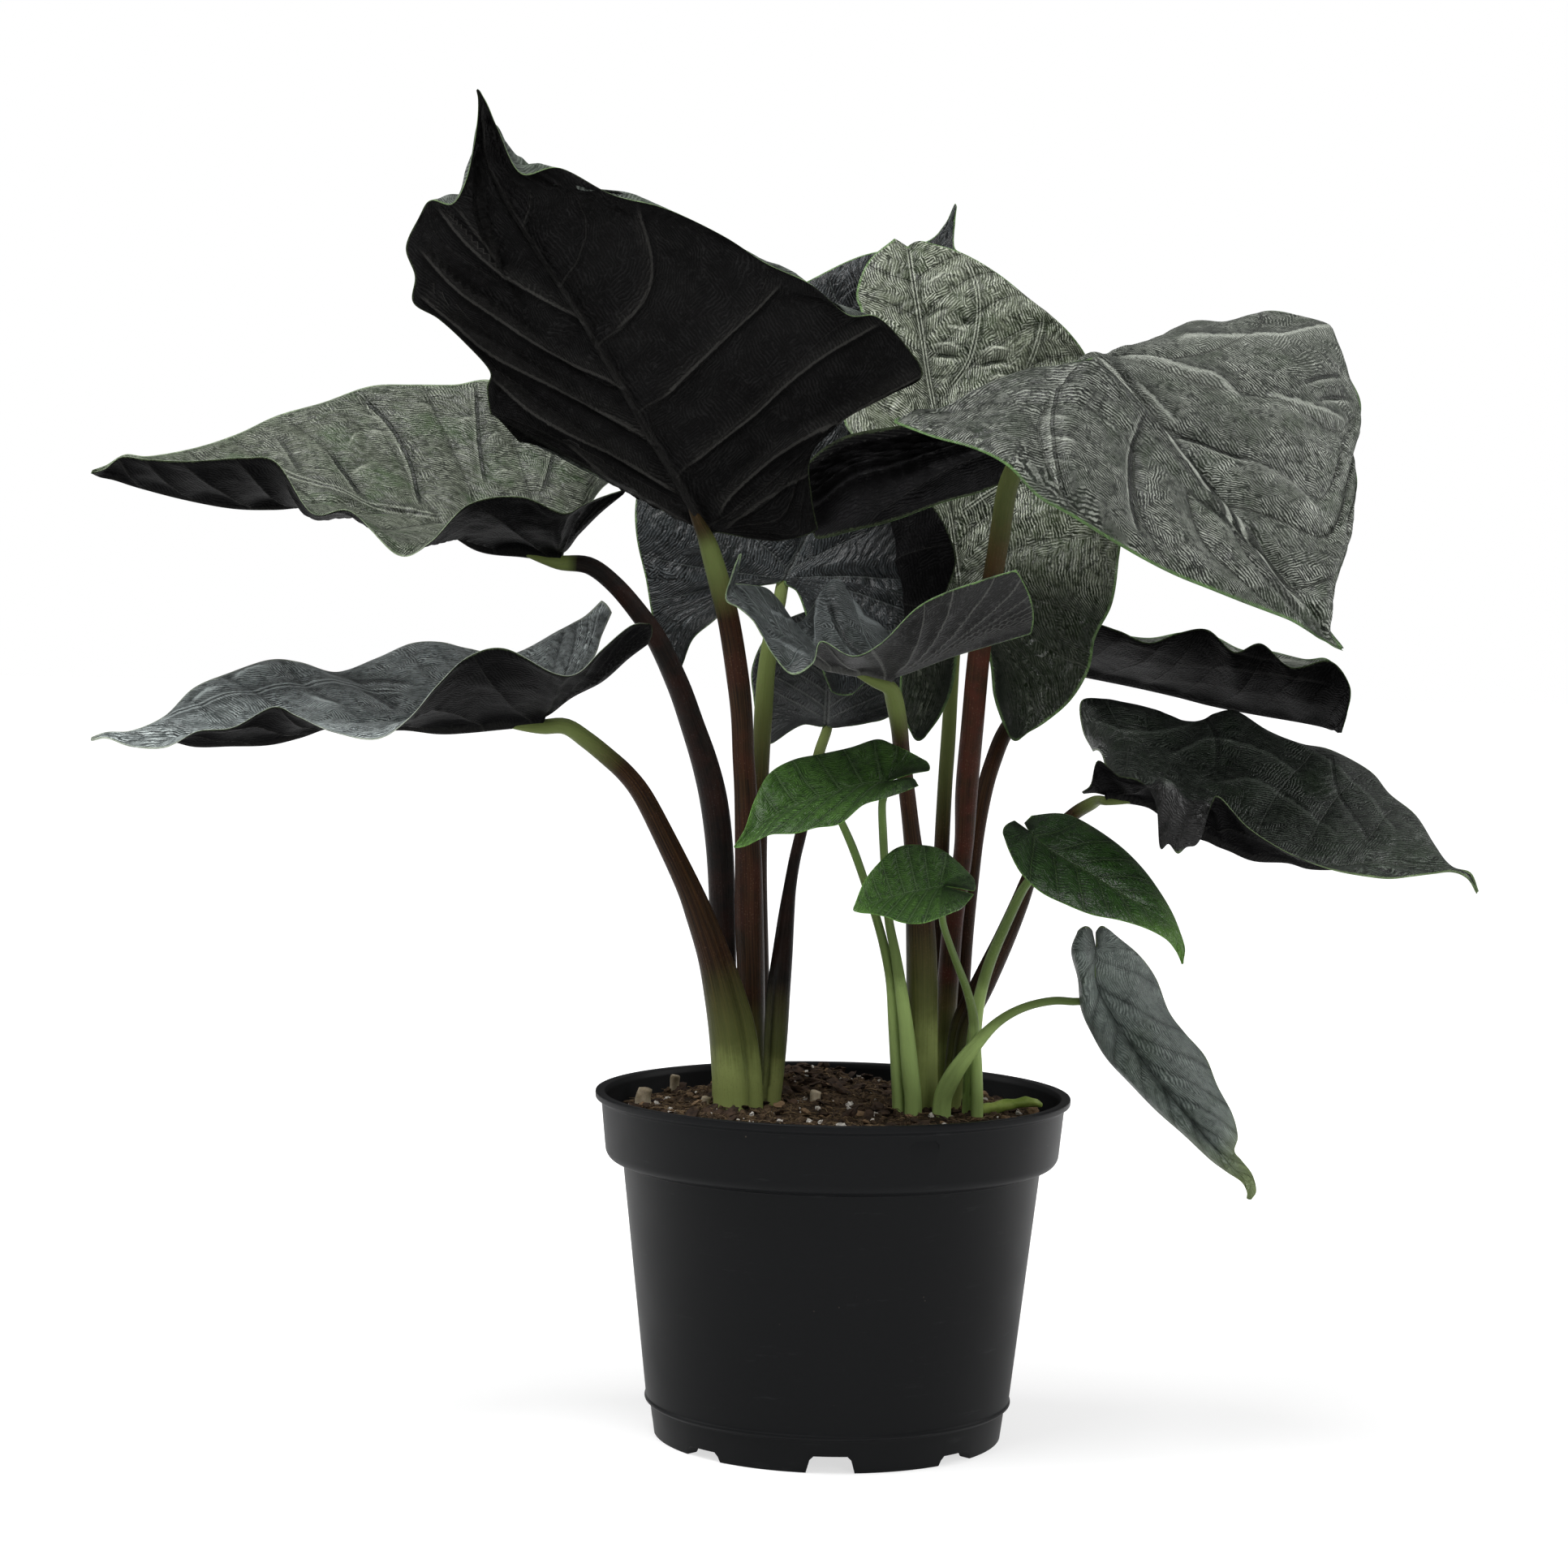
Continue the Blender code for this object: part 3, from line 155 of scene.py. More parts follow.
def mixf(nt, fac, a, b):
    n = nt.nodes.new('ShaderNodeMix')
    n.data_type = 'FLOAT'
    feed(nt, n.inputs['Factor'], fac)
    feed(nt, [s for s in n.inputs if s.name == 'A' and s.type == 'VALUE'][0], a)
    feed(nt, [s for s in n.inputs if s.name == 'B' and s.type == 'VALUE'][0], b)
    return [s for s in n.outputs if s.type == 'VALUE'][0]


def noi(nt, vec, scale, detail=3.0, rough=0.55, dist=0.0):
    n = nt.nodes.new('ShaderNodeTexNoise')
    feed(nt, n.inputs['Vector'], vec)
    n.inputs['Scale'].default_value = scale
    n.inputs['Detail'].default_value = detail
    n.inputs['Roughness'].default_value = rough
    n.inputs['Distortion'].default_value = dist
    return n.outputs['Fac']


def vor(nt, vec, scale, feature='F1', out='Distance'):
    n = nt.nodes.new('ShaderNodeTexVoronoi')
    n.feature = feature
    feed(nt, n.inputs['Vector'], vec)
    n.inputs['Scale'].default_value = scale
    return n.outputs[out]


def bump(nt, bsdf, height, dist, strength=1.0, after=None):
    n = nt.nodes.new('ShaderNodeBump')
    n.inputs['Strength'].default_value = strength
    n.inputs['Distance'].default_value = dist
    nt.links.new(height, n.inputs['Height'])
    if after is not None:
        nt.links.new(after, n.inputs['Normal'])
    nt.links.new(n.outputs['Normal'], bsdf.inputs['Normal'])
    return n.outputs['Normal']


# ---------------------------------------------------------------- mesh helpers
def make(name, verts, faces, mats, smooth=True, mat_index=None, attrs=None, replaces=()):
    """One finished piece from verts in mm."""
    me = bpy.data.meshes.new(name)
    me.from_pydata((np.asarray(verts, float) * MM).tolist(), [], faces)
    for m in mats:
        me.materials.append(m)
    me.polygons.foreach_set('use_smooth', [smooth] * len(me.polygons))
    if mat_index is not None:
        me.polygons.foreach_set('material_index', np.asarray(mat_index, np.int32))
    for key, val in (attrs or {}).items():
        a = me.attributes.new(key, 'FLOAT', 'POINT')
        a.data.foreach_set('value', np.asarray(val, np.float32))
    me.update()
    ob = bpy.data.objects.new(name, me)
    bpy.context.scene.collection.objects.link(ob)
    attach(ob, 'root')
    if replaces:
        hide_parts(*replaces)
    return ob


def cr_weights(n, u):
    """Catmull-Rom weights: samples u (0..n-1) over n control points, straight ends."""
    W = np.zeros((len(u), n))
    for r, t in enumerate(u):
        i = min(int(math.floor(t)), n - 2)
        f = t - i
        w = [0.5 * (-f + 2 * f * f - f ** 3), 0.5 * (2 - 5 * f * f + 3 * f ** 3),
             0.5 * (f + 4 * f * f - 3 * f ** 3), 0.5 * (-f * f + f ** 3)]
        for k, wt in zip((i - 1, i, i + 1, i + 2), w):
            if k < 0:
                W[r, 0] += 2 * wt
                W[r, 1] -= wt
            elif k > n - 1:
                W[r, n - 1] += 2 * wt
                W[r, n - 2] -= wt
            else:
                W[r, k] += wt
    return W


def wobble(P, scale, seed=0.0):
    """Smooth noise, about -1..1, at points in mm."""
    out = np.empty(len(P))
    for i, p in enumerate(P):
        out[i] = noise.noise(Vector((p[0] / scale + seed, p[1] / scale, p[2] / scale)))
    return out


def smoothstep(x, a, b):
    t = np.clip((x - a) / (b - a), 0, 1)
    return t * t * (3 - 2 * t)


# ---- measured leaf and stalk points: (picture x, picture y, depth mm[, radius mm]) ----
LEAVES = {}

# tall leaf at the back left, seen from its dark underside
LEAVES['blade_tall_left'] = dict(flip=1,
 lobe0=[((640,545,-22),(660,548,-20),(690,560,-16)), ((610,512,-34),(700,565,-16),(790,615,-12))],
 rows=[
  ((604,508,-40),(745,583,-22),(868,652,-12),(955,582,-16),(1040,516,-18)),
  ((600,478,-44),(730,545,-27),(845,610,-18),(965,540,-21),(1098,486,-22)),
  ((603,457,-46),(715,505,-32),(818,565,-24),(955,500,-26),(1137,462,-25)),
  ((572,422,-51),(690,462,-38),(790,520,-30),(930,445,-32),(1112,420,-30)),
  ((540,393,-55),(660,415,-44),(762,470,-36),(900,395,-38),(1080,390,-34)),
  ((509,373,-58),(640,375,-49),(735,425,-42),(870,355,-44),(1045,388,-38)),
  ((511,340,-61),(612,335,-54),(705,375,-48),(830,310,-50),(1000,351,-42)),
  ((500,305,-64),(600,300,-59),(675,330,-54),(780,275,-56),(945,325,-47)),
  ((516,268,-67),(588,268,-64),(648,287,-60),(735,258,-61),(890,290,-53)),
  ((530,247,-70),(585,245,-68),(625,248,-66),(700,240,-66),(820,257,-60)),
  ((556,252,-72),(587,225,-71),(610,215,-70),(655,228,-70),(755,240,-66)),
  ((572,228,-75),(588,198,-74),(602,188,-74),(625,205,-74),(690,207,-71)),
  ((582,190,-80),(590,170,-79),(598,165,-79),(612,178,-79),(642,214,-77)),
  ((588,150,-85),(592,142,-85),(596,142,-85),(602,148,-85),(614,160,-84)),
  ((589,125,-89),(592,124,-89),(595,124,-89),(598,126,-89),(602,132,-89)),
  ((587,111,-92),(588,110,-92),(589,110,-92),(590,111,-92),(592,113,-92)),
 ],
 lobe1=[((1008,652,-4),(985,662,-3),(950,667,-4)), ((1000,610,-8),(960,640,-8),(915,662,-9)), ((1000,560,-14),(950,610,-13),(890,657,-11))])

# upper leaf on the left
LEAVES['blade_left_upper'] = dict(flip=0,
 lobe0=[((776,601,6),(772,604,8),(768,609,10)), ((742,612,-8),(742,620,-1),(740,632,5)), ((718,622,-22),(714,640,-10),(714,658,3))],
 rows=[
  ((693,632,-34),(684,665,-20),(690,683,4),(712,640,24),(728,572,44)),
  ((642,612,-46),(642,650,-28),(645,678,3),(658,590,30),(668,500,52)),
  ((578,621,-50),(582,655,-30),(592,672,1),(602,572,31),(608,469,55)),
  ((530,668,-54),(536,668,-30),(545,646,0),(552,562,29),(560,474,54)),
  ((490,684,-56),(490,660,-32),(492,637,-2),(502,558,26),(510,474,52)),
  ((432,630,-56),(434,642,-33),(437,629,-5),(446,558,22),(456,476,48)),
  ((384,632,-53),(384,637,-31),(387,620,-8),(392,560,17),(398,496,42)),
  ((341,570,-49),(334,606,-34),(338,623,-11),(340,572,13),(342,512,35)),
  ((300,564,-46),(292,600,-34),(287,622,-14),(290,580,7),(292,535,26)),
  ((235,568,-43),(231,597,-33),(229,612,-18),(235,583,-1),(240,552,14)),
  ((182,566,-39),(177,586,-32),(173,598,-23),(178,582,-12),(184,562,-2)),
  ((150,563,-37),(144,578,-32),(140,588,-27),(148,575,-20),(154,560,-13)),
  ((130,577,-36),(126,582,-33),(124,586,-31),(127,580,-29),(131,573,-27)),
  ((114,582,-35),(113,583,-35),(112,583,-34),(113,581,-34),(114,579,-34)),
 ],
 lobe1=[((772,580,58),(768,583,54),(762,587,49)), ((752,560,57),(744,584,44),(735,610,30))])

# lower leaf on the left
LEAVES['blade_left_lower'] = dict(flip=0,
 lobe0=[((800,768,-46),(804,778,-42),(798,794,-37)), ((777,771,-56),(777,790,-47),(774,812,-36)), ((742,800,-60),(745,820,-48),(742,840,-30)), ((712,829,-58),(710,845,-42),(704,860,-20))],
 rows=[
  ((682,829,-55),(674,860,-34),(668,885,-5),(672,842,16),(688,777,40)),
  ((622,799,-54),(618,850,-38),(620,890,-8),(625,850,15),(630,806,38)),
  ((577,809,-55),(572,855,-40),(576,895,-10),(576,845,12),(577,799,36)),
  ((540,843,-57),(538,873,-41),(541,897,-13),(541,842,10),(542,791,34)),
  ((503,886,-58),(501,893,-39),(500,893,-15),(501,845,8),(506,793,32)),
  ((463,911,-58),(461,902,-39),(462,894,-17),(462,852,5),(464,811,28)),
  ((408,901,-56),(410,896,-39),(412,890,-20),(412,852,1),(415,828,22)),
  ((366,882,-52),(366,898,-39),(368,904,-23),(368,857,-1),(370,816,17)),
  ((336,871,-50),(332,896,-39),(330,913,-26),(331,860,-6),(332,813,12)),
  ((287,896,-46),(283,908,-39),(283,915,-29),(281,872,-13),(280,830,2)),
  ((243,901,-45),(240,911,-39),(240,916,-32),(239,882,-19),(238,848,-8)),
  ((204,921,-44),(203,915,-39),(203,908,-34),(203,896,-27),(203,882,-20)),
  ((162,920,-43),(161,915,-40),(160,910,-38),(161,905,-35),(163,900,-32)),
  ((132,910,-42),(131,908,-41),(131,906,-40),(131,904,-39),(132,902,-38)),
  ((113,913,-41),(112,912,-41),(112,911,-41),(112,910,-41),(113,908,-41)),
 ],
 lobe1=[((741,740,48),(748,745,46),(754,755,44)), ((722,758,46),(734,770,42),(742,782,38)), ((705,768,43),(716,795,33),(727,818,23))])

# broad dark leaf behind the middle
LEAVES['blade_back_center'] = dict(flip=0,
 lobe0=[((833,818,14),(838,824,14),(843,812,15)), ((812,790,16),(835,795,18),(855,786,19)), ((803,757,18),(838,762,20),(880,765,22)), ((796,715,20),(850,735,22),(925,726,25))],
 rows=[
  ((784,660,23),(880,690,25),(966,714,28),(1060,702,31),(1160,704,34)),
  ((784,612,27),(885,628,30),(990,668,34),(1080,650,37),(1190,640,40)),
  ((800,550,33),(905,575,36),(1015,620,40),(1110,590,44),(1218,570,47)),
  ((835,485,39),(930,520,42),(1040,570,46),(1130,530,50),(1232,500,53)),
  ((880,425,46),(965,465,48),(1065,515,52),(1145,475,56),(1234,440,59)),
  ((935,378,52),(1010,412,54),(1090,460,58),(1155,425,61),(1224,390,64)),
  ((998,345,58),(1055,370,60),(1112,405,63),(1160,380,66),(1206,350,68)),
  ((1062,315,64),(1098,332,65),(1135,350,68),(1160,335,70),(1188,316,72)),
  ((1138,299,71),(1147,301,71),(1157,303,72),(1167,303,73),(1176,304,74)),
  ((1163,278,74),(1166,276,74),(1170,275,74),(1173,274,75),(1177,274,75)),
  ((1175,254,76),(1176,252,76),(1177,251,76),(1178,252,76),(1179,255,76)),
 ],
 lobe1=[((1050,856,14),(1036,857,13),(1024,852,12)), ((1075,832,15),(1042,835,14),(1014,828,13)), ((1104,795,20),(1050,795,19),(1003,792,18)), ((1130,760,25),(1057,760,23),(994,762,21)), ((1148,730,30),(1062,730,27),(982,730,25))])

# shiny leaf facing the viewer at the back right
LEAVES['blade_back_right'] = dict(flip=0,
 lobe0=[((1124,906,3),(1131,913,4),(1140,908,4)), ((1112,880,3),(1136,885,7),(1160,880,6)), ((1109,840,2),(1140,845,9),(1174,845,8)), ((1118,800,0),(1128,800,8),(1180,805,11)), ((1150,768,-2),(1116,768,6),(1184,768,14))],
 rows=[
  ((1165,732,-1),(1112,732,8),(1182,733,18),(1275,722,15),(1370,745,9)),
  ((1178,692,-1),(1106,695,10),(1180,690,21),(1272,672,19),(1378,695,12)),
  ((1168,655,1),(1100,655,13),(1174,640,24),(1275,620,24),(1380,640,17)),
  ((1146,620,6),(1096,612,17),(1167,590,28),(1272,560,32),(1350,580,30)),
  ((1092,570,16),(1096,565,23),(1161,550,32),(1262,510,38),(1345,520,40)),
  ((1042,525,26),(1098,512,31),(1155,511,36),(1255,465,42),(1345,475,42)),
  ((1045,475,34),(1096,468,36),(1148,470,40),(1250,425,44),(1340,442,42)),
  ((1055,430,39),(1094,425,41),(1140,425,44),(1235,387,46),(1312,404,41)),
  ((1061,388,45),(1092,386,46),(1132,380,48),(1210,352,50),(1273,372,47)),
  ((1055,361,49),(1090,352,50),(1126,345,52),(1180,328,54),(1228,336,51)),
  ((1070,322,54),(1094,320,55),(1121,320,56),(1150,312,58),(1184,311,56)),
  ((1102,294,60),(1110,299,59),(1118,304,59),(1127,299,60),(1137,297,60)),
 ],
 lobe1=[((1262,905,-3),(1251,913,-3),(1242,904,-3)), ((1288,890,0),(1262,885,2),(1233,885,1)), ((1320,862,4),(1272,855,7),(1224,856,5)), ((1342,824,7),(1280,825,11),(1220,818,9)), ((1350,785,9),(1280,785,13),(1210,778,14))])

# big leaf on the right, tip down
LEAVES['blade_right_upper'] = dict(flip=0,
 lobe0=[((1102,521,-52),(1103,517,-50),(1110,514,-46)), ((1150,539,-60),(1158,520,-50),(1172,500,-38)), ((1200,553,-66),(1205,515,-52),(1222,474,-30)), ((1242,575,-72),(1250,515,-56),(1262,459,-26)), ((1278,612,-74),(1292,530,-60),(1306,450,-28))],
 rows=[
  ((1318,635,-76),(1325,545,-62),(1346,444,-30),(1420,428,8),(1465,404,40)),
  ((1362,662,-77),(1365,575,-63),(1375,468,-30),(1455,425,6),(1520,400,42)),
  ((1410,690,-78),(1405,610,-65),(1405,500,-33),(1500,430,2),(1562,383,40)),
  ((1450,710,-78),(1450,645,-66),(1438,538,-37),(1540,450,-4),(1612,393,36)),
  ((1490,726,-78),(1485,670,-67),(1470,578,-42),(1580,470,-10),(1638,411,28)),
  ((1530,742,-77),(1525,690,-68),(1502,617,-47),(1605,510,-18),(1660,460,18)),
  ((1562,754,-75),(1555,715,-68),(1533,655,-52),(1618,560,-26),(1677,500,6)),
  ((1590,765,-73),(1582,738,-68),(1562,692,-56),(1626,615,-36),(1667,555,-8)),
  ((1612,778,-71),(1605,760,-68),(1590,727,-60),(1634,665,-44),(1672,600,-20)),
  ((1624,786,-69),(1619,775,-67),(1610,755,-63),(1640,705,-54),(1655,655,-38)),
  ((1634,791,-67),(1630,786,-66),(1624,776,-64),(1631,750,-60),(1638,712,-52)),
  ((1645,798,-65),(1641,794,-65),(1638,790,-64),(1636,780,-63),(1634,765,-60)),
  ((1655,802,-64),(1654,801,-64),(1653,800,-64),(1654,799,-64),(1656,799,-64)),
 ],
 lobe1=[((1002,657,2),(988,620,3),(988,585,3)), ((1010,664,0),(1010,610,2),(1005,560,3)), ((1052,654,-9),(1048,590,-4),(1045,536,-2)), ((1100,642,-16),(1106,580,-9),(1110,524,-6)), ((1160,620,-20),(1168,565,-10),(1172,514,-6)), ((1215,604,-20),(1228,553,-10),(1236,500,-8)), ((1268,578,-8),(1274,528,-8),(1280,478,-11)), ((1340,524,10),(1322,482,-4),(1304,459,-15)), ((1412,470,20),(1366,446,0),(1326,450,-21))])

# curled leaf in front of the middle
LEAVES['blade_front_center'] = dict(flip=0,
 lobe0=[((1252,702,-84),(1272,745,-72),(1270,781,-62)), ((1215,713,-86),(1226,755,-74),(1222,795,-58)), ((1165,730,-87),(1175,772,-74),(1172,810,-54))],
 rows=[
  ((1128,750,-84),(1120,800,-70),(1097,836,-47),(1096,800,-27),(1088,776,-8)),
  ((1086,792,-80),(1075,815,-64),(1064,827,-48),(1056,780,-30),(1052,743,-12)),
  ((1050,808,-77),(1042,818,-62),(1034,822,-50),(1031,765,-32),(1030,712,-15)),
  ((1012,790,-72),(1016,806,-62),(1012,816,-52),(1005,785,-34),(1004,744,-18)),
  ((1002,817,-72),(992,808,-64),(982,792,-52),(976,778,-37),(982,768,-22)),
  ((976,831,-72),(968,808,-64),(958,778,-52),(956,756,-40),(962,742,-25)),
  ((952,806,-70),(946,785,-62),(941,762,-52),(940,742,-42),(945,725,-30)),
  ((930,768,-66),(926,757,-60),(922,746,-52),(922,734,-46),(925,721,-37)),
  ((911,750,-60),(909,743,-56),(907,735,-52),(907,727,-48),(908,719,-44)),
  ((894,738,-55),(897,733,-53),(900,728,-52),(903,723,-50),(906,716,-48)),
  ((902,706,-51),(904,705,-51),(906,703,-50),(908,702,-50),(910,700,-49)),
  ((910,684,-50),(911,683,-50),(912,682,-50),(913,682,-50),(914,683,-50)),
 ],
 lobe1=[((1165,776,-24),(1168,790,-28),(1165,802,-32)), ((1125,770,-12),(1132,797,-26),(1132,820,-38))])

# low dark leaf behind the middle, underside seen
LEAVES['blade_center_low'] = dict(flip=1,
 lobe0=[((937,908,30),(947,917,28),(962,908,28)), ((931,880,33),(960,890,31),(990,893,29))],
 rows=[
  ((928,858,36),(970,872,33),(1018,893,28),(1060,878,28),(1112,862,30)),
  ((926,825,42),(975,838,39),(1020,850,36),(1065,840,36),(1112,828,36)),
  ((940,790,46),(980,800,44),(1020,810,43),(1058,802,43),(1096,790,42)),
  ((965,765,47),(992,772,48),(1020,776,49),(1045,772,49),(1070,765,48)),
  ((1008,748,53),(1014,746,53),(1020,745,53),(1026,746,53),(1032,748,53)),
 ],
 lobe1=[((1090,886,24),(1080,889,23),(1068,890,23)), ((1104,878,28),(1075,886,26),(1045,895,26))])

# rolled leaf on the right, underside seen
LEAVES['blade_right_rolled'] = dict(flip=0,
 lobe0=[((1300,790,20),(1290,800,30),(1282,812,44)), ],
 rows=[
  ((1338,768,14),(1325,800,30),(1304,820,64),(1312,800,85),(1322,780,101)),
  ((1378,777,10),(1372,806,25),(1360,832,58),(1368,805,79),(1376,782,95)),
  ((1415,792,7),(1411,818,22),(1405,842,51),(1411,812,73),(1417,786,89)),
  ((1452,780,3),(1451,818,18),(1450,853,44),(1454,815,66),(1458,779,82)),
  ((1488,776,0),(1489,822,14),(1490,864,38),(1491,822,59),(1492,782,76)),
  ((1521,803,-3),(1523,840,10),(1526,872,32),(1527,832,52),(1529,800,69)),
  ((1554,793,-6),(1558,839,6),(1562,879,26),(1563,838,46),(1564,802,62)),
  ((1591,822,-9),(1596,856,2),(1600,886,20),(1603,846,38),(1607,812,54)),
  ((1638,814,-11),(1634,857,-2),(1628,892,13),(1632,852,31),(1636,812,45)),
  ((1663,845,-18),(1654,877,-8),(1642,897,4),(1648,870,19),(1656,838,33)),
  ((1660,878,-16),(1653,890,-9),(1645,899,0),(1650,888,10),(1657,874,19)),
  ((1653,903,-8),(1650,903,-5),(1648,903,-2),(1650,902,1),(1653,901,4)),
 ],
 lobe1=[((1284,795,98),(1280,805,90),(1276,815,80))])

# long torn leaf on the right
LEAVES['blade_right_torn'] = dict(flip=0,
 lobe0=[((1333,976,-45),(1334,977,-44),(1335,978,-43)), ((1344,966,-46),(1346,971,-45),(1349,977,-41))],
 rows=[
  ((1353,937,-46),(1358,958,-45),(1364,980,-36),(1359,934,-2),(1347,926,16)),
  ((1378,955,-49),(1384,970,-46),(1392,982,-37),(1374,915,0),(1334,900,22)),
  ((1405,962,-51),(1409,975,-48),(1418,988,-38),(1388,908,1),(1332,864,26)),
  ((1424,990,-56),(1433,964,-51),(1436,1000,-39),(1402,908,1),(1360,861,26)),
  ((1429,1044,-57),(1442,970,-51),(1446,1006,-39),(1416,910,0),(1384,865,26)),
  ((1440,1040,-57),(1451,980,-51),(1455,1012,-40),(1430,914,-1),(1404,869,26)),
  ((1451,1052,-57),(1459,986,-51),(1464,1017,-40),(1444,920,-2),(1422,874,25)),
  ((1462,1044,-57),(1467,989,-51),(1472,1022,-41),(1456,927,-4),(1438,880,24)),
  ((1474,1041,-57),(1475,990,-51),(1480,1027,-41),(1468,933,-6),(1455,887,23)),
  ((1483,1024,-57),(1486,992,-51),(1491,1031,-42),(1480,938,-7),(1470,889,22)),
  ((1493,988,-54),(1498,1008,-49),(1503,1037,-42),(1492,940,-8),(1484,886,22)),
  ((1504,983,-54),(1511,1012,-49),(1518,1043,-43),(1506,941,-10),(1497,879,21)),
  ((1535,1017,-56),(1540,1036,-51),(1546,1055,-45),(1532,946,-13),(1523,876,19)),
  ((1573,1043,-58),(1579,1051,-54),(1586,1058,-48),(1574,966,-19),(1562,900,14)),
  ((1608,1060,-60),(1611,1063,-57),(1614,1066,-52),(1608,979,-24),(1602,916,9)),
  ((1645,1073,-60),(1648,1070,-58),(1651,1067,-55),(1645,990,-29),(1640,924,2)),
  ((1682,1080,-60),(1688,1072,-58),(1692,1063,-55),(1692,1008,-36),(1688,950,-10)),
  ((1712,1083,-60),(1718,1075,-58),(1722,1065,-56),(1718,1020,-42),(1712,978,-22)),
  ((1740,1080,-60),(1744,1074,-58),(1748,1067,-56),(1748,1040,-48),(1744,1004,-34)),
  ((1765,1077,-59),(1768,1073,-58),(1770,1069,-57),(1770,1056,-52),(1767,1040,-44)),
  ((1790,1075,-58),(1790,1073,-58),(1790,1071,-57),(1790,1069,-56),(1787,1067,-54)),
  ((1808,1083,-58),(1809,1081,-58),(1810,1079,-57),(1811,1077,-57),(1812,1075,-57)),
  ((1819,1101,-58),(1820,1101,-58),(1820,1100,-58),(1821,1099,-58),(1822,1098,-58)),
 ],
 lobe1=[])

# hanging leaf at the lower right
LEAVES['blade_right_hanging'] = dict(flip=0, sag0=(-2,0,-6), sag1=(2,0,-8),
 lobe0=[((1328,1147,-38),(1338,1141,-40),(1346,1147,-34))],
 rows=[
  ((1320,1172,-34),(1334,1172,-39),(1350,1170,-29),(1374,1168,-27),(1402,1175,-22)),
  ((1328,1206,-26),(1338,1208,-30),(1351,1212,-24),(1385,1200,-22),(1424,1205,-12)),
  ((1332,1243,-22),(1346,1243,-27),(1368,1247,-24),(1402,1240,-24),(1440,1246,-14)),
  ((1346,1275,-22),(1364,1276,-28),(1390,1282,-26),(1420,1275,-27),(1460,1273,-18)),
  ((1364,1305,-24),(1385,1308,-31),(1412,1313,-29),(1442,1305,-30),(1485,1302,-20)),
  ((1392,1335,-26),(1412,1338,-34),(1435,1342,-32),(1462,1335,-33),(1500,1338,-24)),
  ((1424,1368,-30),(1442,1368,-37),(1460,1372,-36),(1485,1368,-37),(1518,1372,-30)),
  ((1458,1398,-35),(1470,1398,-41),(1484,1400,-40),(1502,1398,-41),(1525,1400,-36)),
  ((1490,1428,-40),(1497,1424,-44),(1505,1423,-44),(1513,1421,-44),(1521,1418,-42)),
  ((1510,1443,-45),(1514,1441,-47),(1519,1439,-48),(1524,1435,-48),(1530,1430,-47)),
  ((1529,1456,-50),(1532,1454,-50),(1536,1452,-50),(1540,1449,-50),(1543,1447,-50)),
  ((1536,1468,-53),(1539,1468,-53),(1542,1467,-53),(1545,1467,-53),(1548,1467,-53)),
  ((1536,1476,-56),(1537,1477,-56),(1539,1478,-56),(1541,1478,-56),(1542,1478,-56)),
 ],
 lobe1=[((1366,1146,-32),(1357,1141,-34),(1350,1149,-31))])

# small green leaf, left of the three
LEAVES['blade_small_left'] = dict(flip=0,
 lobe0=[((1104,979,-64),(1118,974,-64),(1132,968,-62)), ((1086,985,-68),(1098,972,-66),(1122,958,-58))],
 rows=[
  ((1062,993,-72),(1075,980,-66),(1092,963,-54),(1100,938,-46),(1100,917,-38)),
  ((1035,1015,-78),(1050,990,-68),(1062,966,-57),(1072,938,-48),(1080,911,-38)),
  ((1005,1020,-80),(1018,998,-71),(1030,975,-60),(1040,948,-51),(1048,921,-42)),
  ((980,1027,-81),(990,1005,-74),(1000,985,-64),(1006,958,-56),(1012,929,-46)),
  ((952,1028,-82),(960,1012,-76),(970,996,-68),(974,970,-62),(978,936,-52)),
  ((936,1034,-82),(940,1022,-78),(946,1010,-73),(946,985,-67),(948,953,-60)),
  ((922,1041,-82),(924,1033,-79),(926,1026,-77),(928,1010,-73),(930,985,-68)),
  ((913,1044,-82),(913,1040,-81),(914,1036,-80),(916,1028,-79),(919,1018,-77)),
  ((905,1045,-82),(905,1044,-82),(904,1043,-82),(905,1042,-82),(906,1041,-82)),
 ],
 lobe1=[((1142,938,-46),(1146,945,-49),(1144,950,-52)), ((1124,928,-42),(1126,940,-46),(1122,954,-54))])

# small green leaf in the middle
LEAVES['blade_small_mid'] = dict(flip=0,
 lobe0=[((1184,1120,-70),(1192,1112,-69),(1200,1102,-65)), ],
 rows=[
  ((1158,1131,-78),(1158,1112,-72),(1162,1092,-60),(1176,1082,-55),(1196,1078,-48)),
  ((1135,1138,-82),(1138,1116,-74),(1140,1096,-64),(1150,1072,-56),(1162,1048,-47)),
  ((1112,1137,-84),(1114,1118,-77),(1116,1101,-69),(1122,1070,-60),(1130,1041,-50)),
  ((1092,1130,-85),(1093,1118,-80),(1094,1107,-74),(1098,1080,-66),(1104,1045,-57)),
  ((1074,1126,-86),(1074,1119,-82),(1075,1112,-79),(1076,1095,-73),(1080,1066,-66)),
  ((1062,1125,-86),(1062,1120,-84),(1062,1116,-83),(1062,1108,-79),(1064,1088,-75)),
  ((1053,1123,-86),(1052,1122,-86),(1051,1121,-86),(1052,1118,-85),(1053,1115,-84)),
 ],
 lobe1=[((1202,1090,-52),(1202,1095,-55),(1200,1098,-60)), ])

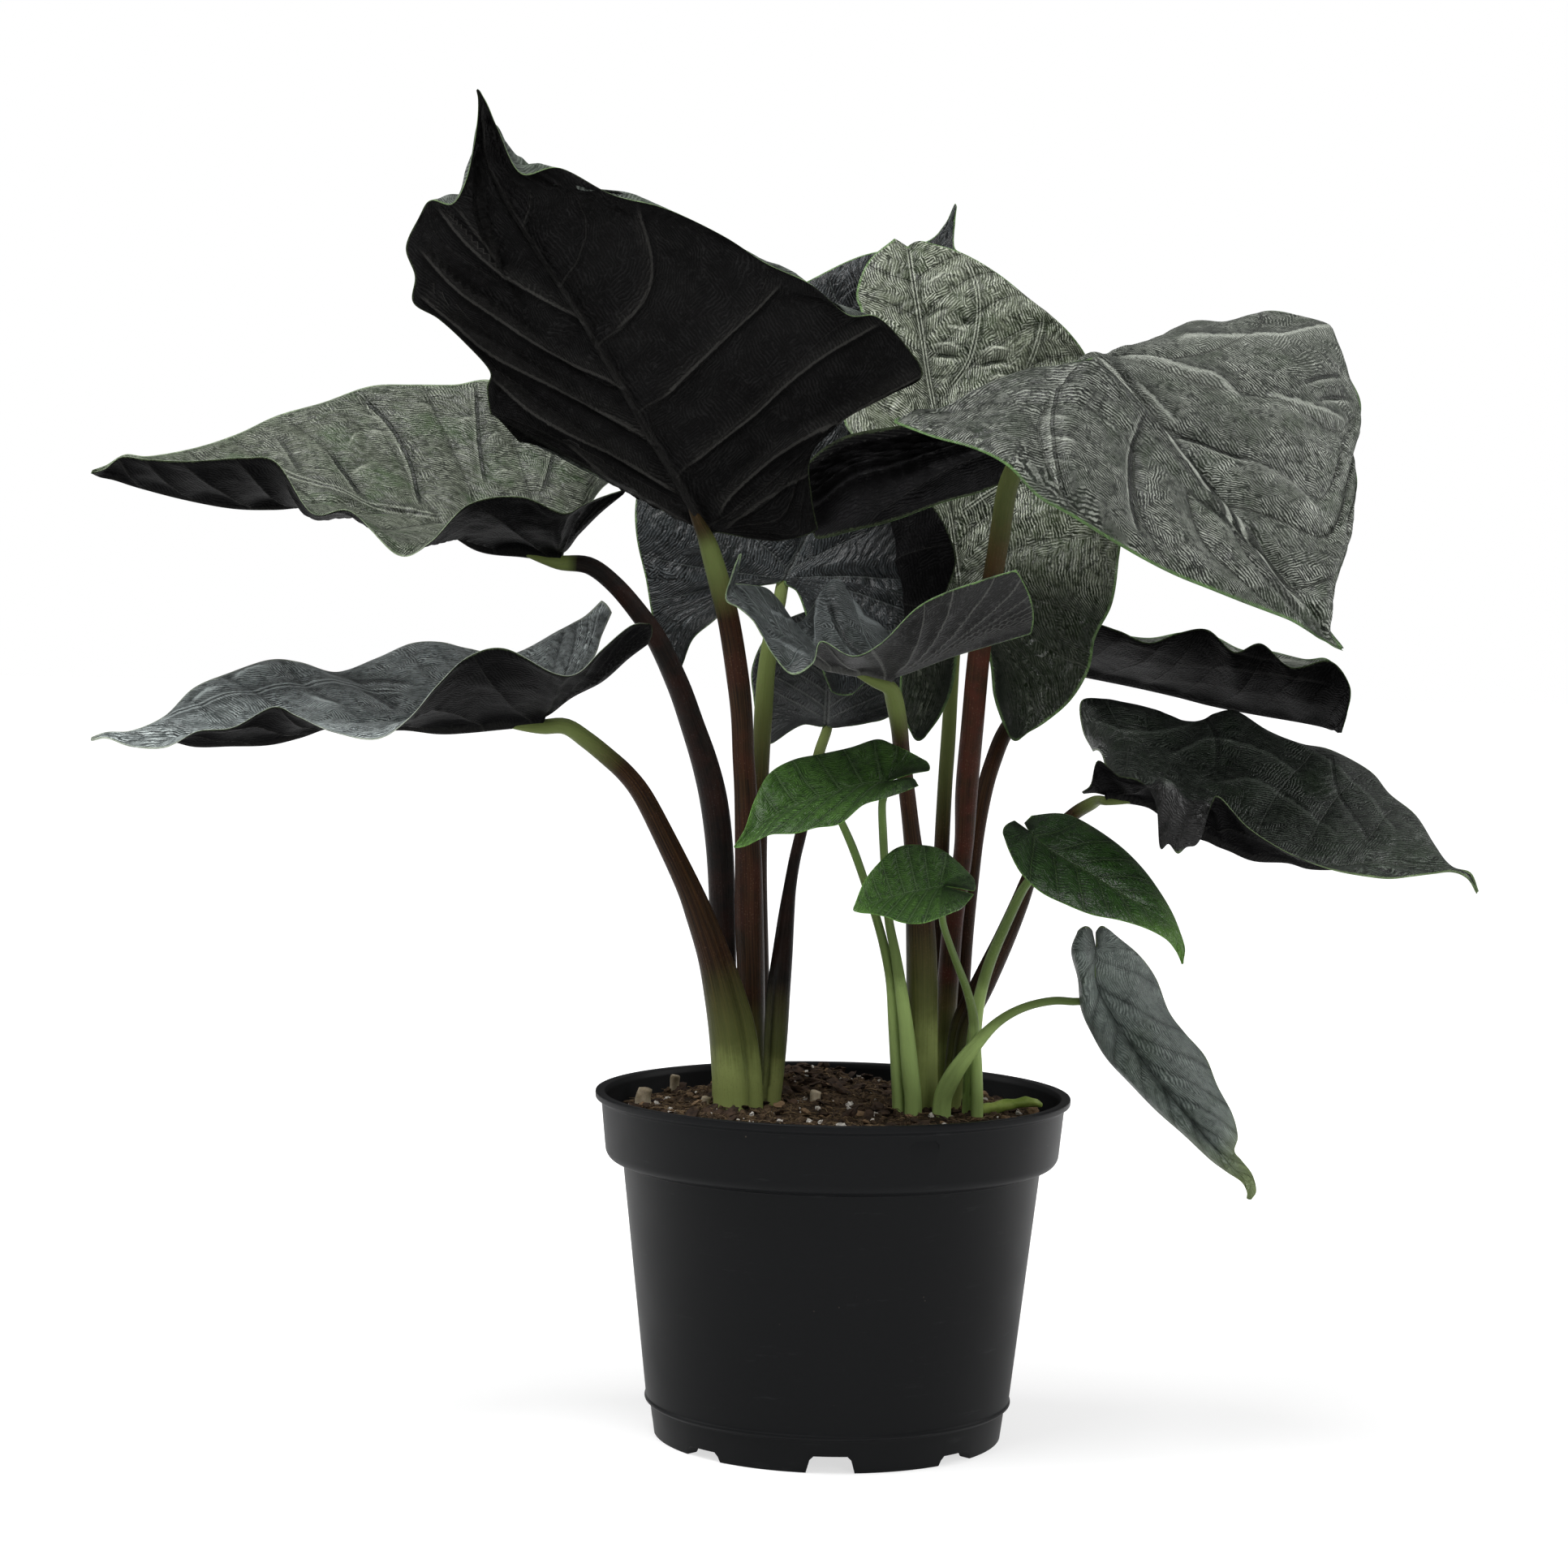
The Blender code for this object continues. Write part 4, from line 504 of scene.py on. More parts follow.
# small green leaf on the right
LEAVES['blade_small_right'] = dict(flip=0,
 lobe0=[((1236,1028,-54),(1238,1018,-52),(1250,1011,-48))],
 rows=[
  ((1243,1048,-58),(1255,1036,-54),(1269,1025,-47),(1284,1012,-39),(1300,1002,-33)),
  ((1258,1076,-62),(1272,1060,-56),(1290,1045,-48),(1305,1026,-42),(1322,1006,-32)),
  ((1282,1099,-66),(1298,1078,-60),(1315,1060,-53),(1332,1038,-47),(1350,1021,-38)),
  ((1312,1114,-70),(1328,1095,-65),(1345,1078,-58),(1362,1058,-52),(1382,1044,-44)),
  ((1345,1127,-74),(1360,1110,-69),(1375,1097,-63),(1390,1080,-58),(1408,1070,-51)),
  ((1380,1134,-77),(1392,1123,-73),(1404,1115,-68),(1415,1103,-64),(1428,1097,-59)),
  ((1412,1144,-79),(1420,1138,-76),(1428,1132,-73),(1436,1127,-70),(1444,1124,-66)),
  ((1436,1157,-80),(1440,1153,-79),(1445,1150,-77),(1450,1148,-75),(1454,1148,-74)),
  ((1449,1172,-81),(1452,1170,-80),(1455,1168,-80),(1458,1168,-79),(1460,1168,-79)),
  ((1456,1188,-82),(1457,1188,-82),(1457,1188,-82),(1458,1187,-82),(1458,1186,-82)),
 ],
 lobe1=[((1271,1005,-37),(1267,1009,-39),(1262,1014,-43))])


STUB = [(1208,1371,-16,1.4),(1222,1365,-14,1.8),(1238,1362,-12,1.7),(1252,1360,-11,1.5),(1266,1358,-10,1.5),(1276,1359,-9,1.2),(1283,1362,-8,0.7)]

STEMS = {
 # name: path points (picture x, picture y, depth mm, radius mm), foot first
 'petiole_left_lower':   [(909,1358,-10,7.8),(907,1322,-10,7.8),(902,1273,-10,7.4),(892,1224,-10,6.4),(879,1176,-10,5.2),(862,1127,-10,4.5),(847,1090,-10,3.9),(820,1034,-9,3.5),(793,982,-8,3.2),(772,954,-7,3.0),(748,932,-6,2.9),(722,911,-6,2.8),(697,895,-5,2.6),(678,888,-5,2.0)],
 'petiole_left_upper':   [(892,1358,9,3.9),(892,1290,9,3.9),(892,1200,9,4.0),(890,1120,9,4.2),(887,1050,8,4.4),(880,990,7,4.5),(869,942,6,4.3),(853,893,6,3.9),(836,845,5,3.7),(811,791,5,3.4),(787,755,5,3.1),(757,720,4,2.9),(726,697,4,2.8),(704,689,4,2.3)],
 'petiole_tall_left':    [(927,1358,5,4.0),(926,1290,5,4.2),(925,1200,4,4.4),(923,1127,2,4.6),(922,1054,0,4.3),(919,981,-3,3.7),(916,932,-4,3.5),(914,883,-6,3.5),(909,835,-8,3.6),(898,765,-11,3.5),(885,713,-12,3.4),(874,675,-13,3.0),(870,664,-13,2.4)],
 'petiole_center_low':   [(950,1358,-3,3.1),(953,1322,-3,3.4),(956,1273,-3,3.8),(959,1224,-2,3.8),(964,1176,0,3.3),(969,1127,2,2.6),(973,1095,4,2.1),(979,1060,7,1.9),(987,1026,10,1.9),(995,990,14,1.8),(1003,955,18,1.8),(1010,925,21,1.8),(1016,903,24,1.5)],
 'petiole_back_center':  [(942,1358,14,2.9),(939,1270,14,2.9),(936,1170,14,2.9),(934,1070,14,2.9),(936,980,15,2.8),(938,930,16,2.8),(941,870,18,3.0),(945,820,20,2.8),(952,775,23,2.5),(960,742,26,2.2),(965,724,27,1.7)],
 'petiole_front_center': [(1136,1358,-9,4.9),(1136,1290,-9,5.0),(1136,1210,-10,5.0),(1134,1137,-13,4.6),(1130,1085,-16,3.6),(1124,1032,-20,2.8),(1118,980,-25,2.6),(1111,925,-33,2.6),(1108,895,-38,2.7),(1102,862,-43,2.8),(1098,845,-46,2.4)],
 'petiole_right_upper':  [(1161,1358,5,3.0),(1163,1290,5,3.2),(1168,1211,4,3.4),(1174,1137,2,3.3),(1182,1085,0,3.1),(1188,1037,-2,3.1),(1191,974,-5,3.6),(1198,895,-9,3.6),(1207,800,-14,3.5),(1217,745,-17,3.3),(1225,701,-20,3.1),(1232,659,-22,3.2),(1238,618,-26,3.2),(1245,590,-28,3.1),(1262,556,-31,3.0),(1290,511,-31,2.7),(1318,473,-30,2.3),(1333,457,-29,1.9)],
 'petiole_back_right':   [(1151,1358,13,2.6),(1153,1280,13,2.6),(1156,1200,13,2.6),(1158,1130,13,2.6),(1160,1053,13,2.5),(1164,974,15,2.4),(1168,916,16,2.4),(1172,853,19,2.2),(1176,806,21,1.9),(1180,765,23,1.7),(1182,745,24,1.4)],
 'petiole_right_rolled': [(1178,1358,13,2.9),(1181,1290,13,2.9),(1184,1220,13,2.9),(1189,1150,13,2.8),(1196,1080,12,2.8),(1203,1026,15,2.7),(1213,974,20,2.7),(1224,937,26,2.7),(1238,903,34,2.7),(1264,865,48,2.5),(1290,832,62,2.1)],
 'petiole_right_torn':   [(1171,1358,-4,3.4),(1178,1316,-4,3.6),(1187,1263,-4,3.8),(1212,1211,-5,3.8),(1236,1160,-9,3.4),(1256,1113,-12,2.9),(1272,1072,-14,2.3),(1294,1031,-14,2.1),(1322,1004,-17,2.1),(1345,990,-25,2.0),(1354,986,-30,1.5)],
 'petiole_small_left':   [(1125,1358,-18,2.7),(1121,1316,-18,2.7),(1116,1263,-18,2.3),(1109,1211,-20,1.9),(1103,1174,-23,1.6),(1095,1132,-28,1.4),(1091,1080,-37,1.3),(1088,1027,-47,1.3),(1087,990,-54,1.2),(1090,975,-56,1.0)],
 'petiole_spear':        [(1108,1358,-14,2.3),(1106,1316,-14,2.3),(1102,1263,-14,2.0),(1098,1211,-17,1.7),(1090,1169,-21,1.5),(1080,1132,-26,1.4),(1065,1085,-35,1.3),(1052,1048,-43,1.3),(1040,1020,-50,1.2),(1030,1000,-54,1.0)],
 'petiole_small_mid':    [(1204,1358,-21,1.9),(1203,1310,-21,1.8),(1200,1262,-22,1.6),(1196,1237,-24,1.4),(1189,1213,-28,1.3),(1180,1190,-33,1.2),(1170,1163,-41,1.1),(1162,1138,-49,1.1),(1160,1112,-56,1.0)],
 'petiole_small_right':  [(1196,1358,-13,2.6),(1198,1316,-13,2.6),(1202,1262,-13,2.1),(1209,1221,-15,1.9),(1222,1179,-21,1.8),(1240,1138,-29,1.6),(1258,1100,-37,1.5),(1270,1082,-42,1.3),(1284,1060,-47,1.0)],
 'petiole_right_hanging':[(1161,1358,-20,2.9),(1169,1335,-22,2.9),(1183,1312,-26,2.6),(1204,1285,-28,2.1),(1225,1263,-28,1.6),(1247,1248,-27,1.4),(1272,1238,-25,1.3),(1300,1233,-23,1.3),(1328,1234,-22,1.2),(1342,1228,-22,1.0)],
}


# folds, creases and ribs of the blades, as picture points: (half or None, height in mm, strength, line)
FOLDS = {
    'blade_right_upper': {
        'ridge': [
            (1, 2.2, 0.75, [(1450, 427), (1500, 424), (1545, 419), (1580, 424), (1605, 419), (1642, 413)]),
            (1, 1.8, 0.65, [(1375, 443), (1420, 452), (1460, 464), (1490, 470), (1512, 482), (1530, 497)]),
            (1, 1.4, 0.6, [(1560, 488), (1590, 497), (1630, 511), (1660, 524)]),
            (1, 1.0, 0.35, [(1545, 572), (1580, 590), (1605, 610), (1622, 645)]),
            (1, 0.0, 0.55, [(1394, 476), (1422, 501), (1449, 526)]),
            (0, 1.0, 0.7, [(1285, 516), (1300, 521), (1318, 524)]),
            (0, 1.0, 0.8, [(1284, 541), (1303, 549), (1325, 553)]),
            (0, 1.0, 0.6, [(1286, 568), (1300, 571), (1316, 577)]),
        ],
        'crease': [
            (1, -0.8, 0.9, [(1443, 538), (1470, 543), (1500, 556), (1540, 568)]),
            (0, -1.0, 1.0, [(1409, 512), (1396, 545), (1392, 580), (1395, 620), (1404, 660)]),
            (1, -0.6, 0.9, [(1600, 478), (1625, 470), (1650, 468)]),
            (1, -0.6, 0.9, [(1618, 497), (1640, 493), (1665, 496)]),
            (0, -0.6, 0.6, [(1335, 455), (1308, 480), (1296, 520), (1300, 570), (1315, 620)]),
        ],
        'rib': [(None, 0.0, 1.0, [(1350, 446), (1375, 467), (1400, 495), (1423, 522), (1451, 560), (1487, 603), (1529, 662), (1571, 720), (1602, 757)])],
    },
    'blade_back_right': {
        'ridge': [
            (1, 1.2, 0.8, [(1150, 428), (1165, 425), (1182, 430)]),
            (1, 1.2, 0.8, [(1205, 437), (1225, 430), (1245, 433)]),
            (1, 1.0, 0.8, [(1140, 352), (1155, 345), (1165, 335)]),
            (1, 1.0, 0.7, [(1165, 405), (1180, 405), (1195, 410)]),
            (1, 0.8, 0.7, [(1215, 470), (1235, 465), (1250, 470)]),
        ],
        'crease': [
            (None, -1.2, 1.0, [(1147, 437), (1165, 439), (1184, 442)]),
            (None, -1.2, 1.0, [(1202, 453), (1220, 448), (1242, 446)]),
            (None, -1.0, 0.9, [(1180, 393), (1192, 398), (1204, 398)]),
            (None, -0.8, 0.8, [(1150, 464), (1162, 467), (1172, 463)]),
            (None, -0.6, 0.8, [(1140, 393), (1155, 384), (1165, 380)]),
        ],
        'rib': [
            (None, 0.0, 1.0, [(1119, 305), (1125, 345), (1134, 400), (1143, 460), (1153, 512)]),
            (None, 0.0, 0.9, [(1189, 320), (1202, 350), (1206, 385), (1200, 425), (1190, 452), (1170, 480)]),
            (None, 0.0, 0.8, [(1285, 385), (1283, 405), (1275, 432), (1264, 458)]),
            (None, 0.0, 0.9, [(1168, 622), (1174, 660), (1182, 720)]),
            (None, 0.0, 0.9, [(1185, 632), (1230, 603), (1290, 575)]),
        ],
    },
    'blade_left_upper': {
        'ridge': [
            (None, 0.8, 0.9, [(448, 513), (460, 516), (476, 519)]),
            (None, 0.8, 0.9, [(452, 533), (465, 535), (482, 537)]),
            (None, 0.8, 0.9, [(560, 525), (575, 522), (590, 521)]),
            (None, 0.8, 0.8, [(427, 588), (442, 584), (458, 578)]),
            (None, 0.8, 0.8, [(608, 590), (620, 585), (635, 588)]),
            (None, 0.8, 0.9, [(684, 582), (697, 571), (716, 566)]),
            (None, 0.8, 0.8, [(428, 556), (434, 545), (442, 538)]),
            (None, 0.8, 0.8, [(510, 505), (523, 503), (535, 508)]),
            (None, 0.8, 0.7, [(600, 548), (608, 540), (620, 536)]),
            (None, 0.6, 0.7, [(515, 608), (525, 612), (532, 620)]),
        ],
        'crease': [
            (None, -0.8, 1.0, [(446, 489), (470, 514), (488, 538), (502, 565), (511, 592), (520, 628)]),
            (None, -0.8, 0.9, [(587, 478), (588, 520), (591, 560), (598, 602)]),
            (None, -0.8, 0.9, [(682, 556), (675, 585), (665, 614)]),
            (None, -0.8, 0.9, [(405, 556), (428, 588), (446, 614)]),
            (None, -0.6, 0.7, [(340, 540), (358, 565), (372, 590)]),
        ],
        'rib': [
            (None, 0.0, 0.7, [(340, 580), (380, 597), (420, 610), (450, 621), (480, 630), (510, 634), (545, 638)]),
        ],
    },
    'blade_tall_left': {
        'ridge': [
            (None, -0.5, 1.0, [(540, 258), (575, 302), (620, 340), (670, 370), (724, 399)]),
            (None, -0.3, 0.6, [(562, 258), (590, 292), (615, 326)]),
            (None, -0.5, 1.0, [(518, 308), (560, 355), (610, 391), (680, 436), (772, 477)]),
            (None, -0.5, 1.0, [(516, 363), (560, 400), (610, 440), (680, 477), (740, 507), (808, 543)]),
            (None, -0.5, 1.0, [(607, 467), (650, 505), (700, 535), (760, 563), (836, 607)]),
            (None, -0.3, 0.8, [(700, 548), (745, 585), (790, 611), (850, 645)]),
            (None, -0.3, 0.7, [(758, 408), (795, 365), (803, 320), (786, 258)]),
            (None, -0.4, 0.9, [(815, 491), (850, 457), (892, 417), (930, 385), (962, 352)]),
            (None, -0.5, 1.0, [(851, 572), (872, 555), (930, 510), (962, 480), (1012, 441), (1084, 400)]),
            (None, -0.5, 1.0, [(886, 636), (902, 613), (950, 570), (1010, 532), (1040, 517), (1084, 490), (1140, 460)]),
            (None, -0.3, 0.7, [(892, 652), (940, 617), (1000, 581), (1022, 560)]),
        ],
    },
    'blade_left_lower': {
        'ridge': [
            (None, 0.8, 0.7, [(285, 838), (310, 828), (335, 826)]),
            (None, 0.8, 0.7, [(230, 872), (250, 858), (275, 850)]),
            (None, 0.8, 0.7, [(450, 812), (475, 800), (500, 796)]),
            (None, 0.8, 0.7, [(380, 862), (400, 868), (425, 872)]),
        ],
        'rib': [(None, 0.0, 0.9, [(200, 890), (260, 866), (330, 852), (400, 845), (460, 852), (500, 858)])],
        'crease': [
            (None, -0.6, 0.8, [(392, 828), (430, 838), (470, 842), (510, 846)]),
            (None, -0.6, 0.7, [(440, 850), (470, 865), (495, 880)]),
        ],
    },
    'blade_right_torn': {
        'ridge': [
            (None, 1.0, 0.5, [(1345, 885), (1390, 905), (1440, 905), (1490, 885)]),
            (None, 1.2, 0.6, [(1440, 935), (1490, 915), (1540, 925), (1600, 957)]),
            (None, 1.2, 0.5, [(1500, 965), (1550, 968), (1600, 1000), (1645, 1030)]),
            (None, 1.0, 0.5, [(1570, 905), (1625, 935), (1680, 980), (1720, 1030)]),
        ],
        'crease': [
            (None, -0.8, 0.6, [(1480, 875), (1500, 910), (1500, 950)]),
            (None, -0.8, 0.5, [(1640, 935), (1650, 980), (1690, 1040)]),
        ],
    },
    'blade_right_rolled': {
        'ridge': [
            (None, -0.4, 0.7, [(1345, 786), (1400, 796), (1450, 812), (1500, 826)]),
            (None, -0.4, 0.8, [(1350, 806), (1430, 818), (1520, 824), (1640, 842)]),
            (None, -0.4, 0.6, [(1400, 836), (1500, 846), (1580, 862), (1650, 872)]),
            (None, -0.3, 0.5, [(1510, 800), (1560, 812), (1620, 818)]),
        ],
    },
    'blade_front_center': {
        'ridge': [
            (None, 1.4, 0.9, [(1002, 800), (1008, 765), (1014, 735), (1028, 718), (1044, 724), (1050, 748), (1062, 768), (1088, 782)]),
            (None, 0.8, 0.6, [(935, 745), (955, 760), (985, 775)]),
            (None, 0.8, 0.6, [(945, 785), (970, 800), (1000, 812)]),
            (None, 0.6, 0.5, [(1130, 790), (1170, 770), (1215, 740)]),
        ],
        'crease': [
            (None, -0.8, 0.7, [(1020, 740), (1030, 770), (1050, 800), (1085, 825)]),
        ],
    },
    'blade_back_center': {
        'rib': [
            (None, 0.0, 0.5, [(1030, 690), (1000, 700), (975, 735)]),
        ],
    },
}

# ---------------------------------------------------------------- leaf blades
DOWN = {}
DEAD = {'blade_right_torn': [(1345, 970, 26), (1380, 975, 34), (1410, 985, 34), (1440, 1010, 44), (1465, 1010, 44)]}
BLADE_HALF = 0.22        # mm, half the thickness of a blade


def axis_rows(leaf):
    return np.array([at(*r[2]) for r in leaf['rows']])


def side_rows(leaf, side):
    rows = [[r[0], r[1], r[2]] for r in leaf.get('lobe%d' % side, [])]
    nl = len(rows)
    for r in leaf['rows']:
        rows.append([r[0], r[1], r[2]] if side == 0 else [r[4], r[3], r[2]])
    return np.array([[at(*p) for p in row] for row in rows]), nl


def line_family(spec):
    """Side veins as (start on the midrib, end on the margin), from the lobe to the tip.
    0 is the leaf base and 1 the tip along the midrib; negative values are in the basal lobe."""
    starts, ends = spec
    return list(zip(starts, ends))


DEFAULT_VEINS = ([0.0, 0.0, 0.0, 0.02, 0.13, 0.26, 0.39, 0.52, 0.65, 0.77, 0.88],
                 [-0.75, -0.40, -0.10, 0.16, 0.33, 0.47, 0.60, 0.71, 0.81, 0.89, 0.95])


def vein_from_picture(lines, P, tau, w):
    """Turns veins read in the picture into positions along the midrib at nine distances from it."""
    pic = picture(P.reshape(-1, 3))
    out = []
    grid_w = np.linspace(0, 1, 9)
    for line in lines:
        ws, ts = [], []
        for q in line:
            k = int(np.argmin(((pic - np.array(q)) ** 2).sum(1)))
            i, j = divmod(k, P.shape[1])
            ws.append(w[j])
            ts.append(tau[i])
        order = np.argsort(ws)
        ws, ts = np.array(ws)[order], np.array(ts)[order]
        deg = 2 if len(ws) > 2 else 1
        c = np.polyfit(ws, ts, deg)
        out.append(np.polyval(c, grid_w))
    out.sort(key=lambda a: a[4])
    return np.array(out), grid_w


def build_half(leaf, side, per, nw):
    C, nl = side_rows(leaf, side)
    n = len(C)
    u = np.linspace(0, n - 1, (n - 1) * per + 1)
    W = cr_weights(n, u)
    margin, mid, inner = (W @ C[:, k] for k in range(3))
    # the shared midrib is one curve for both halves
    A = axis_rows(leaf)
    ua = np.clip(u - nl, 0, None)
    Wa = cr_weights(len(A), ua)
    ax = Wa @ A
    on_axis = u >= nl - 1e-9
    inner = np.where(on_axis[:, None], ax, inner)
    w = np.linspace(0, 1, nw + 1) ** 1.25
    a2 = 2 * w * w - 3 * w + 1
    b2 = 4 * w - 4 * w * w
    c2 = 2 * w * w - w
    P = inner[:, None] * a2[None, :, None] + mid[:, None] * b2[None, :, None] + margin[:, None] * c2[None, :, None]
    # distance along the midrib, 0 at the base and 1 at the tip, negative in the lobe
    seg = np.linalg.norm(np.diff(ax, axis=0), axis=1)
    arc = np.concatenate([[0], np.cumsum(seg)])
    j0 = int(np.argmax(on_axis))
    tau = (arc - arc[j0]) / max(arc[-1] - arc[j0], 1e-6)
    if nl:
        tau[:j0] = -1.0 + np.arange(j0) / j0
    return P, nl * per, tau, w, u


def stroke_field(pic, strokes, side):
    """Signed distance in mm to the nearest fold line, its strength there and its height, for points in the picture."""
    best = np.full(len(pic), 1e9)
    sign, wt, hgt = np.ones(len(pic)), np.zeros(len(pic)), np.zeros(len(pic))
    for only, height, power, pts in strokes:
        if only is not None and only != side:
            continue
        n = len(pts)
        fine = cr_weights(n, np.linspace(0, n - 1, (n - 1) * 5 + 1)) @ np.array(pts, float)
        run = np.concatenate([[0], np.cumsum(np.hypot(*np.diff(fine, axis=0).T))])
        for i in range(len(fine) - 1):
            a, ab = fine[i], fine[i + 1] - fine[i]
            t = np.clip(((pic - a) @ ab) / max(ab @ ab, 1e-9), 0, 1)
            d = np.hypot(*(pic - a - t[:, None] * ab).T)
            cr = ab[0] * (pic[:, 1] - a[1]) - ab[1] * (pic[:, 0] - a[0])
            at_ = run[i] + t * (run[i + 1] - run[i])
            k = power * smoothstep(np.minimum(at_, run[-1] - at_), -4.0, 16.0)
            u = d < best
            best[u], sign[u], wt[u], hgt[u] = d[u], np.where(cr >= 0, 1.0, -1.0)[u], k[u], height
    dist = best * 0.258
    return dist * sign, wt * (1 - smoothstep(dist, 3.0, 5.5)), hgt


def blade(name, per, nw, veins0=None, veins1=None, quilt=0.8, ridge=0.35, rib0=1.8, rib1=0.45,
          ripple=0.25, seed=0.0, mats=None, flip_up=False, edge_roll=0.0, margin_far=1.0):
    leaf = LEAVES[name]
    halves = [build_half(leaf, s, per, nw) for s in (0, 1)]
    base_n = None
    data = []
    for side, (P, j0, tau, w, u) in enumerate(halves):
        dt = np.gradient(P, axis=0)
        dw = np.gradient(P, w, axis=1)
        N = np.cross(dt, dw)
        ln = np.linalg.norm(N, axis=2, keepdims=True)
        N = np.where(ln > 1e-9, N / np.maximum(ln, 1e-9), 0)
        # a degenerate end row takes the row before
        for i in range(len(N) - 1, -1, -1):
            bad = np.linalg.norm(N[i], axis=1) < 0.5
            if bad.any() and i < len(N) - 1:
                N[i, bad] = N[i + 1, bad]
        for i in range(1, len(N)):
            bad = np.linalg.norm(N[i], axis=1) < 0.5
            N[i, bad] = N[i - 1, bad]
        if side == 1:
            N = -N
        data.append([P, N])
    # one sign for the whole blade: the upper side
    mean = sum(d[1].reshape(-1, 3).sum(0) for d in data)
    sgn = 1.0 if mean[2] >= 0 else -1.0
    if flip_up:
        sgn = -sgn
    verts, norms, S, R, E, T, SP, SIDE = [], [], [], [], [], [], [], []
    fields = [{}, {}]
    FD = {'rd': [], 'rw': [], 'cd': [], 'cw': [], 'md': [], 'mw': []}
    ids = []
    for side, (P0, j0, tau, w, u) in enumerate(halves):
        P, N = data[side][0].copy(), data[side][1] * sgn
        nr, nc = P.shape[:2]
        # distances in mm across the blade
        step = np.linalg.norm(np.diff(P, axis=1), axis=2)
        rib = np.concatenate([np.zeros((nr, 1)), np.cumsum(step, axis=1)], axis=1)
        width = rib[:, -1:].copy()
        edge = width - rib
        in_lobe = np.arange(nr) < j0
        edge = np.where(in_lobe[:, None], np.minimum(edge, rib), edge)
        along_end = np.concatenate([[0], np.cumsum(np.linalg.norm(np.diff(P[:, nc // 2], axis=0), axis=1))])
        edge = np.minimum(edge, along_end[:, None] + 0.0)
        tip_d = np.linalg.norm(P[-1, 0] - P, axis=2)
        edge = np.minimum(edge, tip_d)
        # veins
        spec = (veins0, veins1)[side]
        if spec is not None and isinstance(spec[0], list) and isinstance(spec[0][0], tuple):
            L, gw = vein_from_picture(spec, P, tau, w)
        else:
            st, en = spec or DEFAULT_VEINS
            gw = np.linspace(0, 1, 9)
            bend = 0.85
            L = np.array([a + (b - a) * gw ** bend for a, b in zip(st, en)])
        Lw = np.array([np.interp(w, gw, l) for l in L])           # (veins, columns)
        for k in range(1, len(Lw)):
            Lw[k] = np.maximum(Lw[k], Lw[k - 1] + 0.004)
        s = np.empty((nr, nc))
        spacing = np.empty((nr, nc))
        arc = np.concatenate([[0], np.cumsum(np.linalg.norm(np.diff(P[:, nc // 2], axis=0), axis=1))])
        for j in range(nc):
            l = Lw[:, j]
            s[:, j] = np.interp(tau, l, np.arange(len(l)))
            lo, hi = tau < l[0], tau > l[-1]
            s[lo, j] = (tau[lo] - l[0]) / max(l[1] - l[0], 0.03)
            s[hi, j] = len(l) - 1 + (tau[hi] - l[-1]) / max(l[-1] - l[-2], 0.03)
        ds = np.abs(np.gradient(s, axis=0)) / np.maximum(np.gradient(arc)[:, None], 1e-6)
        spacing = 1.0 / np.clip(ds, 1 / 40.0, 1 / 1.5)
        fr = np.abs(s - np.round(s))
        dist_v = fr * spacing                                       # mm to the nearest side vein
        # the blade bulges up between the veins
        fade = smoothstep(edge, 0.3, 6.0) * smoothstep(rib, 0.2, 4.0)
        bulge = np.sin(math.pi * np.clip(fr, 0, 0.5)) ** 0.8 * np.clip(spacing / 14.0, 0.15, 1.2)
        flat = P.reshape(-1, 3)
        rip = wobble(flat, 9.0, seed + side * 7.3).reshape(nr, nc) * ripple
        rip += wobble(flat, 3.6, seed + 31.0 + side * 5.1).reshape(nr, nc) * ripple * 0.45
        rip *= smoothstep(edge, 0.0, 4.0)
        wave = wobble(flat, 16.0, seed + 57.0 + side * 3.1).reshape(nr, nc) * edge_roll * (1 - smoothstep(edge, 0.0, 9.0))
        h = (quilt[side] if isinstance(quilt, tuple) else quilt) * bulge * fade + rip * smoothstep(rib, 0.0, 2.0) + wave * smoothstep(rib, 1.0, 9.0)
        # folds and creases measured in the picture
        pic = picture(flat)
        for kind in ('ridge', 'crease', 'rib'):
            sd, sw, sh = stroke_field(pic, FOLDS.get(name, {}).get(kind, []), side)
            if name in FOLDS:
                h = h + (sh * sw * np.exp(-(sd / 2.2) ** 2)).reshape(nr, nc) * smoothstep(edge, 0.0, 3.0) * smoothstep(rib, 0.5, 3.0)
            fields[side][kind] = (np.clip(sd, -6, 6).reshape(nr, nc), sw.reshape(nr, nc))
        # the midrib is sunken on the upper side
        h -= 0.5 * rib0 * 0.4 * np.exp(-(rib / 1.6) ** 2) * (1 - 0.6 * np.clip(tau, 0, 1)[:, None]) * (~in_lobe)[:, None] * smoothstep(edge, 0, 4)
        rm = (rib0 + (rib1 - rib0) * np.clip(tau, 0, 1) ** 0.8)[:, None]
        keel = np.sqrt(np.clip(rm ** 2 - rib ** 2, 0, None)) * (~in_lobe)[:, None] * smoothstep(tip_d, 0.5, 8.0)
        rv = ridge * (1 - 0.65 * (rib / np.maximum(width, 1.0)))
        low_r = rv * np.exp(-(dist_v / 0.75) ** 2) * smoothstep(rib, 0.0, 1.5) * smoothstep(edge, 0.5, 4.0) \
            * smoothstep(spacing, 1.5, 5.0)
        lower = np.maximum(keel, low_r)
        data[side] += [h, lower, s, rib, edge, np.repeat(tau[:, None], nc, 1), spacing, in_lobe]
